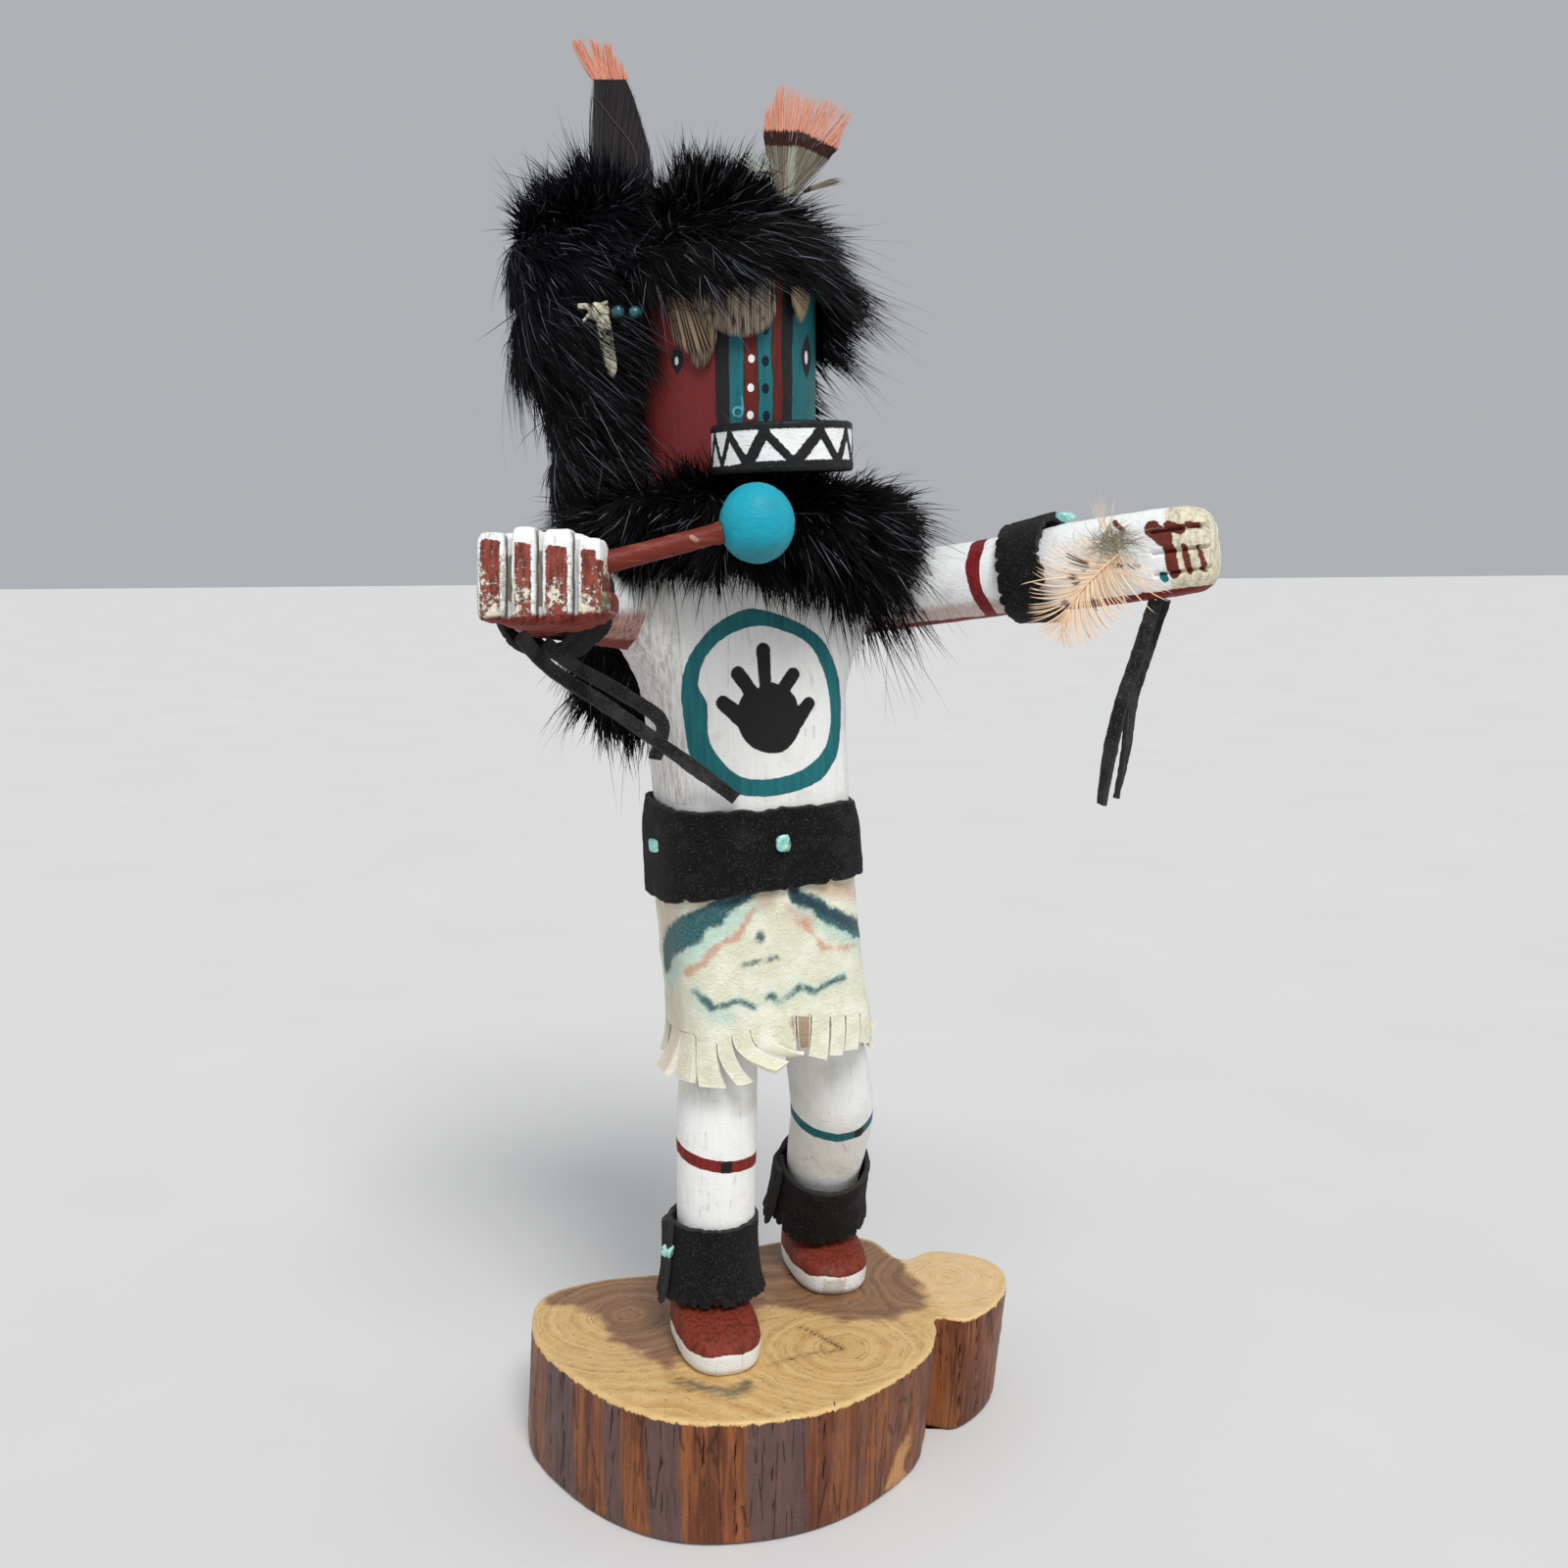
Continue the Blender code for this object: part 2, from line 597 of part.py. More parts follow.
def free_feather(name, outline, place, degrees, material):
    """A flat feather standing upright, as a filled outline given a thickness."""
    curve = bpy.data.curves.new(name, "CURVE")
    curve.dimensions = "2D"
    curve.fill_mode = "BOTH"
    curve.extrude = FEATHER / 2 * MM
    edge = curve.splines.new("POLY")
    edge.points.add(len(outline) - 1)
    for point, (across, height) in zip(edge.points, outline):
        point.co = (across * MM, height * MM, 0.0, 1.0)
    edge.use_cyclic_u = True
    curve.materials.append(material)
    made = bpy.data.objects.new(name, curve)
    made.location = place * MM
    made.rotation_euler = (math.pi / 2, 0.0, math.radians(degrees))
    DOLL.objects.link(made)


def brow_feather(name, first, last, low, rise):
    """A feather lying on the mask's curve, with a rounded lower end."""
    shape = bmesh.new()
    columns = []
    for step in range(BROW_COLUMNS + 1):
        share = step / BROW_COLUMNS
        angle = math.radians(first + (last - first) * share)
        radius = HEAD_RADIUS + GAP + FEATHER
        side = Vector((math.sin(angle), -math.cos(angle), 0.0)) * radius
        bottom = low + rise * (2 * share - 1) ** 2
        columns.append([shape.verts.new(side + Z_AXIS * height) for height in (bottom, BROW_TOP)])
    for (low_a, high_a), (low_b, high_b) in zip(columns, columns[1:]):
        shape.faces.new((low_a, low_b, high_b, high_a))
    made = piece(name, shape, PALE_FEATHER, HEAD_AXIS)
    if made.data.polygons[0].normal.y > 0:
        made.data.flip_normals()
    thicken(made, FEATHER)


def make_feathers():
    free_feather("black_feather", BLACK_OUTLINE, BLACK_PLACE, FREE_TURN, BLACK_FEATHER)
    free_feather("fan_feather", FAN_OUTLINE, FAN_PLACE, FREE_TURN, GREY_FEATHER)
    free_feather("hand_feather", HAND_OUTLINE, HAND_PLACE, HAND_TURN, PALE_FEATHER)
    brow_feather("brow_feather_barred", *BROW_BARRED)
    brow_feather("brow_feather_round", *BROW_ROUND)
    brow_feather("brow_feather_tan", *BROW_TAN)


# ---------------------------------------------------------------- trims and laces


def chip(name, centre, radius, facing):
    """A broken stone chip, flat on the leather and narrower outside."""
    shape = cylinder(radius, CHIP_HEIGHT, CHIP_SIDES, CHIP_TAPER)
    piece(name, shape, TURQUOISE, centre, turning(Z_AXIS, facing))


def make_trims():
    tie = piece("ear_tie", ball(TIE_RADII, TRIM_SIDES), CREAM_SUEDE, TIE_KNOT)
    start, end = TIE_TAIL
    tail = cylinder(TIE_TAIL_RADIUS, (end - start).length, TRIM_SIDES)
    join(tie, piece("ear tie tail", tail, None, TIE_KNOT + start, turning(Z_AXIS, end - start)))
    piece("ear_bead_outer", ball(BEAD_RADII, TRIM_SIDES), TURQUOISE, OUTER_BEAD)
    piece("ear_bead_inner", ball(BEAD_RADII, TRIM_SIDES), TURQUOISE, INNER_BEAD)
    chip("belt_chip_front", *FRONT_CHIP, -Y_AXIS)
    chip("belt_chip_side", *SIDE_CHIP, -X_AXIS)
    chip("ankle_chip", *ANKLE_CHIP, ANKLE_CHIP_WAY)
    _, up, _ = axes_along(LEFT_WAY)
    chip("wrist_chip", LEFT_WRIST + LEFT_WAY + up * WRIST_CHIP_REACH, WRIST_CHIP_RADIUS, up)


def make_lace(name, route):
    curve = bpy.data.curves.new(name, "CURVE")
    curve.dimensions = "3D"
    curve.bevel_depth = LACE / 2 * MM
    curve.bevel_resolution = 2
    curve.use_fill_caps = True
    points = spline(route, 2)
    run = curve.splines.new("POLY")
    run.points.add(len(points) - 1)
    for point, place in zip(run.points, points):
        point.co = (*(place * MM), 1.0)
    curve.materials.append(BLACK_SUEDE)
    DOLL.objects.link(bpy.data.objects.new(name, curve))


clear_scene()
DOLL = collection("Kachina doll")
TOOLS = collection("Cutters")

LOG_WOOD = finish("log wood", (0.42, 0.25, 0.12), 0.45)
WHITE_PAINT = finish("white paint", (0.86, 0.84, 0.80), 0.6)
MASK_PAINT = finish("mask paint", (0.32, 0.04, 0.04), 0.55)
DISC_PAINT = finish("mouth disc paint", (0.80, 0.78, 0.72), 0.6)
RED_PAINT = finish("red brown paint", (0.28, 0.07, 0.05), 0.5)
TURQUOISE_PAINT = finish("turquoise paint", (0.05, 0.42, 0.50), 0.55)
BLACK_SUEDE = finish("black suede", (0.012, 0.012, 0.012), 0.95)
CREAM_SUEDE = finish("cream suede", (0.72, 0.66, 0.50), 0.95)
BLACK_FUR = finish("black fur", (0.006, 0.006, 0.008), 0.7)
BLACK_FEATHER = finish("black feather", (0.02, 0.02, 0.02), 0.6)
GREY_FEATHER = finish("grey feather", (0.18, 0.17, 0.14), 0.6)
PALE_FEATHER = finish("pale feather", (0.66, 0.52, 0.40), 0.7)
TURQUOISE = finish("turquoise stone", (0.25, 0.62, 0.60), 0.45)

make_log()
make_body()
turned_head("head", MASK_PAINT)
cut(mouth_disc("mouth_disc", DISC_PAINT), turned_head("mask cutter", grow=GAP))
make_arms()
make_rattle()
make_leather()
make_fur()
make_feathers()
make_trims()
make_lace("right_thong_front", RIGHT_LACE_FRONT)
make_lace("right_thong_back", RIGHT_LACE_BACK)
make_lace("left_thong_front", LEFT_LACE_FRONT)
make_lace("left_thong_back", LEFT_LACE_BACK)
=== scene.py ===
"""Kachina doll of painted wood, suede, fur, feathers and turquoise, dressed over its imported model.

Lengths are in millimetres until a skin becomes a mesh in metres. The doll faces
-Y, its left hand is at +X, and the log stands on z = 0.
"""

from __future__ import annotations

import logging
import math
from dataclasses import dataclass, field
from enum import Enum

import bpy
import numpy as np
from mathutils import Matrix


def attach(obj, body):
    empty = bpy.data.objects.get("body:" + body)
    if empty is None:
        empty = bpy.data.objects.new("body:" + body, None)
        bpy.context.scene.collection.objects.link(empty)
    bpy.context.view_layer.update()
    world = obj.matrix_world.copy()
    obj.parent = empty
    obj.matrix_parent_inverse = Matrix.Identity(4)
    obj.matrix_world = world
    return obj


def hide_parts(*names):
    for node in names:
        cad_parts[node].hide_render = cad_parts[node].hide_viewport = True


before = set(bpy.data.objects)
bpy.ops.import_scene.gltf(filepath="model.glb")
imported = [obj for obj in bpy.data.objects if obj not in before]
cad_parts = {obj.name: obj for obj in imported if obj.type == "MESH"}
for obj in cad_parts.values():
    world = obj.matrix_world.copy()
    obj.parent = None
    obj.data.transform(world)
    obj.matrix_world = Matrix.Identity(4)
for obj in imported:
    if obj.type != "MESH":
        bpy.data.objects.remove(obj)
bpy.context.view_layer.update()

log = logging.getLogger("kachina")

MM = 0.001
FAR = 9.0  # a mark's value where its paint is nowhere near
ALONG_X = np.array((1.0, 0.0, 0.0))
ALONG_Y = np.array((0.0, 1.0, 0.0))
ALONG_Z = np.array((0.0, 0.0, 1.0))
VIEW_TURN = math.radians(-16.0)  # the front right quarter that the doll is seen from
VIEW_DROP = math.radians(8.7)
# how much lower a place shows for each millimetre that it is nearer
VIEW_LEAN = math.tan(VIEW_DROP) / math.cos(VIEW_TURN)
MASK_AXIS = (-12.2, 6.0)
MASK_RADIUS = 19.0

Colour = tuple[float, float, float]
Way = tuple[float, float, float]


# ---------------------------------------------------------------- sums on points


def toned(colour: Colour, share: float) -> Colour:
    """The colour, darker or lighter by a share."""
    return tuple(v * share for v in colour)


def turns(count: int) -> np.ndarray:
    """Even angles once round, from minus half a turn."""
    return np.linspace(-math.pi, math.pi, count, endpoint=False)


def closing(rim: np.ndarray, shares: tuple[float, ...], bulge: np.ndarray, power: int) -> list[np.ndarray]:
    """Smaller and smaller copies of a rim, bulging towards their middle."""
    middle = rim.mean(axis=0)
    return [middle + (rim - middle) * s + bulge * (1 - s**power) for s in shares]


def at_height(flat: np.ndarray, height: float) -> np.ndarray:
    """Flat places, all at one height."""
    return np.column_stack((flat, np.full(len(flat), height)))


def lattice(points: np.ndarray, size: float | tuple[float, ...], seed: int) -> np.ndarray:
    """Smooth noise with bumps of about one size.

    Args:
        points: Places, one a row.
        size: Width of a bump, or one width for each axis.
        seed: Picks the pattern.

    Returns:
        A value from -1 to 1 for each place.
    """
    scaled = points / np.asarray(size, dtype=float)
    cell = np.floor(scaled).astype(np.int64)
    part = scaled - cell
    ease = part * part * (3.0 - 2.0 * part)
    primes = np.array((73856093, 19349663, 83492791), dtype=np.int64)
    total = np.zeros(len(points))
    for corner in np.ndindex(2, 2, 2):
        key = (cell + np.array(corner)) @ primes + seed * 7919
        key = (key ^ (key >> 13)) * 1274126177
        value = ((key ^ (key >> 16)) & 0xFFFF) / 32767.5 - 1.0
        total += value * np.prod(np.where(corner, ease, 1.0 - ease), axis=1)
    return total


def grain(points: np.ndarray, size: float | tuple[float, ...], seed: int, layers: int = 3) -> np.ndarray:
    """Noise in several layers, each half the size and half the strength of the one before.

    Args:
        points: Places, one a row.
        size: Width of the largest bump.
        seed: Picks the pattern.
        layers: How many layers.

    Returns:
        A value near -1 to 1 for each place.
    """
    total = np.zeros(len(points))
    for layer in range(layers):
        total += lattice(points, np.asarray(size, dtype=float) / 2**layer, seed + 31 * layer) / 2**layer
    return total / 1.6


def eased(value: np.ndarray, low: float, high: float) -> np.ndarray:
    """0 below low, 1 above high, and a smooth rise between."""
    share = np.clip((value - low) / (high - low), 0.0, 1.0)
    return share * share * (3.0 - 2.0 * share)


def smooth_rows(rows: tuple[tuple[float, ...], ...], places: np.ndarray) -> np.ndarray:
    """Rows of sizes read at new places along their first column, without overshoot.

    Args:
        rows: Sizes, each led by its place.
        places: Where to read them.

    Returns:
        One row of sizes for each place.
    """
    table = np.array(sorted(rows), dtype=float)
    x, y = table[:, 0], table[:, 1:]
    step = np.diff(x)
    slope = np.diff(y, axis=0) / step[:, None]
    product = slope[:-1] * slope[1:]
    total = np.where(np.abs(slope[:-1] + slope[1:]) < 1e-9, 1.0, slope[:-1] + slope[1:])
    inner = np.where(product > 0, 2 * product / total, 0.0)
    tangent = np.vstack((slope[:1], inner, slope[-1:]))
    i = np.clip(np.searchsorted(x, places) - 1, 0, len(x) - 2)
    h = step[i][:, None]
    t = np.clip(((places - x[i]) / step[i])[:, None], 0.0, 1.0)
    keep = 2 * t**3 - 3 * t**2 + 1
    return (
        keep * y[i]
        + (1 - keep) * y[i + 1]
        + (t**3 - 2 * t**2 + t) * h * tangent[i]
        + (t**3 - t**2) * h * tangent[i + 1]
    )


def spline(points: tuple | np.ndarray, steps: int, closed: bool = False) -> np.ndarray:
    """A smooth curve through the points.

    Args:
        points: Places to pass through.
        steps: Steps to each span.
        closed: True to run on from the last to the first.

    Returns:
        The curve's points, one a row.
    """
    p = np.asarray(points, dtype=float)
    count = len(p)
    spans = np.arange(count if closed else count - 1)
    near = [spans + k if closed else np.clip(spans + k, 0, count - 1) for k in (-1, 0, 1, 2)]
    a, b, c, d = (p[k % count][:, None] for k in near)
    t = (np.arange(steps) / steps)[None, :, None]
    bend = (2 * a - 5 * b + 4 * c - d) * t**2 + (3 * b - a - 3 * c + d) * t**3
    found = (0.5 * (2 * b + (c - a) * t + bend)).reshape(-1, p.shape[1])
    return found if closed else np.vstack((found, p[-1:]))


def unit(vectors: np.ndarray) -> np.ndarray:
    """The vectors at length one."""
    return vectors / np.maximum(np.linalg.norm(vectors, axis=-1, keepdims=True), 1e-9)


def squircle(angles: np.ndarray, half_a: float | np.ndarray, half_b: float | np.ndarray,
             power: float | np.ndarray) -> np.ndarray:
    """Points of a superellipse at true angles, as (a, b) pairs."""
    c, s = np.cos(angles), np.sin(angles)
    reach = (np.abs(c / half_a) ** power + np.abs(s / half_b) ** power) ** (-1.0 / power)
    return np.stack((reach * c, reach * s), axis=-1)


def outline_distance(points: np.ndarray, outline: np.ndarray) -> np.ndarray:
    """Distance to a closed outline on a plane, below zero inside it."""
    best = np.full(len(points), 1e9)
    inside = np.zeros(len(points), dtype=bool)
    for a, b in zip(outline, np.roll(outline, -1, axis=0)):
        edge, to = b - a, points - a
        share = np.clip(to @ edge / max(float(edge @ edge), 1e-9), 0.0, 1.0)
        best = np.minimum(best, np.linalg.norm(to - share[:, None] * edge, axis=1))
        crossing = (a[1] > points[:, 1]) != (b[1] > points[:, 1])
        rise = edge[1] if abs(edge[1]) > 1e-9 else 1e-9
        inside ^= crossing & (points[:, 0] < edge[0] * (points[:, 1] - a[1]) / rise + a[0])
    return np.where(inside, -best, best)


def brush_distance(points: np.ndarray, *routes: tuple | np.ndarray) -> np.ndarray:
    """Measures how far points are from brush strokes that swell and thin.

    Args:
        points: places, as (across, height) rows.
        routes: each stroke's way, as (across, height, half width) rows.

    Returns:
        The distance to the nearest stroke, below zero on it.
    """
    best = np.full(len(points), 1e9)
    for way in (np.asarray(route, dtype=float) for route in routes):
        for a, b in zip(way, way[1:]):
            edge, to = b[:2] - a[:2], points - a[:2]
            share = np.clip(to @ edge / max(float(edge @ edge), 1e-9), 0.0, 1.0)
            reach = np.linalg.norm(to - share[:, None] * edge, axis=1) - a[2] - (b[2] - a[2]) * share
            best = np.minimum(best, reach)
    return best


def stroke_distance(points: np.ndarray, *strokes: tuple[float, tuple | np.ndarray]) -> np.ndarray:
    """Distance to strokes of a half width along a route each, below zero on a stroke."""
    return brush_distance(points, *(np.column_stack((way, np.full(len(way), half))) for half, way in strokes))


def nearest(*distances: np.ndarray) -> np.ndarray:
    """The least of several distances, so that marks are joined."""
    return np.minimum.reduce(distances)


def only(where: np.ndarray, distance: np.ndarray | float) -> np.ndarray:
    """A distance where something holds, and far away elsewhere."""
    return np.where(where, distance, FAR)


def axes_along(way: np.ndarray) -> tuple[np.ndarray, np.ndarray, np.ndarray]:
    """Axes of a limb: across (level, to the doll's left), up, and along."""
    along = unit(np.asarray(way, dtype=float))
    if abs(along[2]) > 0.999:
        return ALONG_X, ALONG_Y, along
    across = unit(np.cross(ALONG_Z, along))
    return across, np.cross(along, across), along


def template(points: np.ndarray, front: float) -> np.ndarray:
    """Places on a flat sheet stood against the front, as (across, height), for what is painted there.

    Args:
        points: Places on the surface.
        front: The y of the sheet.

    Returns:
        Where each place meets the sheet along the way the doll is looked at.
    """
    back = points[:, 1] - front
    return np.stack((points[:, 0] + back * math.tan(VIEW_TURN), points[:, 2] + back * VIEW_LEAN), axis=1)


def placed(name: str, data: bpy.types.ID) -> bpy.types.Object:
    """An object put in the scene."""
    made = bpy.data.objects.new(name, data)
    bpy.context.scene.collection.objects.link(made)
    return made


# ---------------------------------------------------------------- skins


def grid_faces(rows: int, columns: int, round_: bool) -> tuple[np.ndarray, np.ndarray, np.ndarray]:
    """Numbers of the points left and right of each gap between columns, and the faces between them."""
    index = np.arange(rows * columns).reshape(rows, columns)
    right = np.roll(index, -1, axis=1) if round_ else index[:, 1:]
    left = index if round_ else index[:, :-1]
    return left, right, np.stack((left[:-1], right[:-1], right[1:], left[1:]), axis=-1).reshape(-1, 4)


@dataclass
class Skin:
    """A surface in millimetres: its points, its faces and what is marked on each point."""

    points: np.ndarray
    faces: list[np.ndarray]
    marks: dict[str, np.ndarray] = field(default_factory=dict)

    @classmethod
    def of_rows(cls, grid: np.ndarray, round_: bool = True, caps: bool = True) -> Skin:
        """A skin over a grid of points.

        Args:
            grid: Points by row, column and axis.
            round_: True where the last column joins the first.
            caps: True to close both ends with a fan.

        Returns:
            The skin, facing out where columns turn to the left seen from the last row.
        """
        columns = grid.shape[1]
        left, right, quads = grid_faces(*grid.shape[:2], round_)
        points = grid.reshape(-1, 3)
        faces = [quads]
        if caps and round_:
            middles = np.stack((grid[0].mean(axis=0), grid[-1].mean(axis=0)))
            low, high = len(points), len(points) + 1
            first = np.stack((np.full(columns, low), right[0], left[0]), axis=-1)
            last = np.stack((np.full(columns, high), left[-1], right[-1]), axis=-1)
            points = np.vstack((points, middles))
            faces += [first, last]
        return cls(points, faces)

    @classmethod
    def wall(cls, outer: np.ndarray, inner: np.ndarray, round_: bool) -> Skin:
        """A closed sheet between an outer and an inner grid of the same counts."""
        left, right, skin = grid_faces(*outer.shape[:2], round_)
        count = outer.shape[0] * outer.shape[1]
        low = np.stack((left[0], left[0] + count, right[0] + count, right[0]), axis=-1)
        high = np.stack((left[-1], right[-1], right[-1] + count, left[-1] + count), axis=-1)
        faces = [skin, skin[:, ::-1] + count, low, high]
        if not round_:
            up, down = left[1:, 0], left[:-1, 0]
            faces.append(np.stack((down, up, up + count, down + count), axis=-1))
            up, down = right[1:, -1], right[:-1, -1]
            faces.append(np.stack((down, down + count, up + count, up), axis=-1))
        return cls(np.vstack((outer.reshape(-1, 3), inner.reshape(-1, 3))), faces)

    @classmethod
    def joined(cls, parts: list[Skin]) -> Skin:
        """Several skins as one; a mark that one of them lacks is far away there."""
        names = sorted({name for part in parts for name in part.marks})
        faces, start = [], 0
        for part in parts:
            faces += [face + start for face in part.faces]
            start += len(part.points)
        marks = {
            name: np.concatenate([part.marks.get(name, np.full(len(part.points), FAR)) for part in parts])
            for name in names
        }
        return cls(np.vstack([part.points for part in parts]), faces, marks)

    def normals(self) -> np.ndarray:
        """The way each point faces, from the faces round it."""
        total = np.zeros_like(self.points)
        for face in self.faces:
            corner = self.points[face]
            flat = np.cross(corner[:, 2] - corner[:, 0], corner[:, -1] - corner[:, 1])
            if face.shape[1] == 3:
                flat = np.cross(corner[:, 1] - corner[:, 0], corner[:, 2] - corner[:, 0])
            for column in range(face.shape[1]):
                for axis in range(3):
                    total[:, axis] += np.bincount(face[:, column], flat[:, axis], len(self.points))
        return unit(total)

    def pushed(self, amount: np.ndarray) -> Skin:
        """The skin moved out along its normals."""
        self.points = self.points + self.normals() * amount[:, None]
        return self

    def triangles(self) -> int:
        """How many triangles the faces make."""
        return sum(len(face) * (face.shape[1] - 2) for face in self.faces)

    def piece(self, name: str, look: bpy.types.Material, slot: str, *nodes: str,
              crease: float = 60.0) -> bpy.types.Object:
        """The skin as an object that rides on the doll.

        Args:
            name: Name of the piece.
            look: Its finish.
            slot: The record's material slot; not used.
            nodes: Model nodes that it stands for.
            crease: Degrees between faces that leave a sharp edge.

        Returns:
            The object.
        """
        mesh = bpy.data.meshes.new(name)
        corners = np.concatenate([face.ravel() for face in self.faces]).astype(np.int32)
        sizes = np.concatenate([np.full(len(face), face.shape[1]) for face in self.faces]).astype(np.int32)
        mesh.vertices.add(len(self.points))
        mesh.loops.add(len(corners))
        mesh.polygons.add(len(sizes))
        mesh.vertices.foreach_set("co", (self.points * MM).astype(np.float32).ravel())
        mesh.loops.foreach_set("vertex_index", corners)
        mesh.polygons.foreach_set("loop_start", np.concatenate(([0], np.cumsum(sizes)[:-1])).astype(np.int32))
        mesh.polygons.foreach_set("loop_total", sizes)
        mesh.update(calc_edges=True)
        mesh.validate()
        for mark, values in self.marks.items():
            made = mesh.attributes.new(mark, "FLOAT", "POINT")
            made.data.foreach_set("value", values.astype(np.float32))
        mesh.shade_smooth()
        mesh.set_sharp_from_angle(angle=math.radians(crease))
        mesh.materials.append(look)
        made = placed(name, mesh)
        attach(made, "root")
        if nodes:
            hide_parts(*nodes)
        log.info("%s: %d triangles, %s", name, self.triangles(), look.name)
        return made


def ball_skin(centre: np.ndarray, radii: np.ndarray, rows: int, columns: int) -> Skin:
    """A ball stretched to three radii."""
    rise = np.linspace(-math.pi / 2, math.pi / 2, rows + 2)[1:-1, None]
    turn = np.linspace(0, math.tau, columns, endpoint=False)[None, :]
    grid = np.stack(
        (np.cos(rise) * np.cos(turn), np.cos(rise) * np.sin(turn), np.sin(rise) * np.ones_like(turn)), axis=-1
    )
    made = Skin.of_rows(grid)
    made.points[-2:] = ((0, 0, -1), (0, 0, 1))
    made.points = made.points * radii + centre
    return made


def block_skin(centre: np.ndarray, axes: tuple, halves: Way, power: float, cuts: int,
               place: Way = (0.0, 0.0, 0.0)) -> Skin:
    """A block with rounded edges and corners.

    Args:
        centre: Its middle.
        axes: Its three axes.
        halves: Half its size along each.
        power: How square it is.
        cuts: Rows and columns on each side.
        place: Its (across, up, along) place on what it belongs to.

    Returns:
        The skin, with its points' (across, up, along) places as marks a, b and c.
    """
    steps = np.linspace(-1, 1, cuts + 1)
    index: dict[tuple[int, int, int], int] = {}
    places, quads = [], []
    for axis in range(3):
        for side in (0, cuts):
            for i in range(cuts):
                for j in range(cuts):
                    face = []
                    for u, v in ((i, j), (i + 1, j), (i + 1, j + 1), (i, j + 1)):
                        key = [0, 0, 0]
                        key[axis], key[(axis + 1) % 3], key[(axis + 2) % 3] = side, u, v
                        number = index.setdefault(tuple(key), len(places))
                        if number == len(places):
                            places.append(key)
                        face.append(number)
                    quads.append(face if side else face[::-1])
    cube = steps[np.array(places)]
    reach = (np.abs(cube) ** power).sum(axis=1) ** (-1.0 / power)
    local = cube * reach[:, None] * np.array(halves)
    points = centre + local @ np.array(axes)
    return Skin(points, [np.array(quads)], dict(zip("abc", (local + place).T)))


# ---------------------------------------------------------------- finishes as nodes


class Wire:
    """A value on its way through a finish's nodes, so that sums on it read as plain arithmetic."""

    def __init__(self, look: Look, socket: bpy.types.NodeSocket) -> None:
        """Holds the socket and the finish that it belongs to."""
        self.look = look
        self.socket = socket

    def _sum(self, operation: str, first: Value, second: Value) -> Wire:
        """A Math node on two values."""
        return self.look.node("ShaderNodeMath", {"operation": operation}, {0: first, 1: second})

    def __add__(self, other: Value) -> Wire:
        """The two added."""
        return self._sum("ADD", self, other)

    __radd__ = __add__

    def __sub__(self, other: Value) -> Wire:
        """The other taken away."""
        return self._sum("SUBTRACT", self, other)

    def __rsub__(self, other: Value) -> Wire:
        """Taken away from the other."""
        return self._sum("SUBTRACT", other, self)

    def __mul__(self, other: Value) -> Wire:
        """The two multiplied."""
        return self._sum("MULTIPLY", self, other)

    __rmul__ = __mul__


Value = Wire | float | Colour


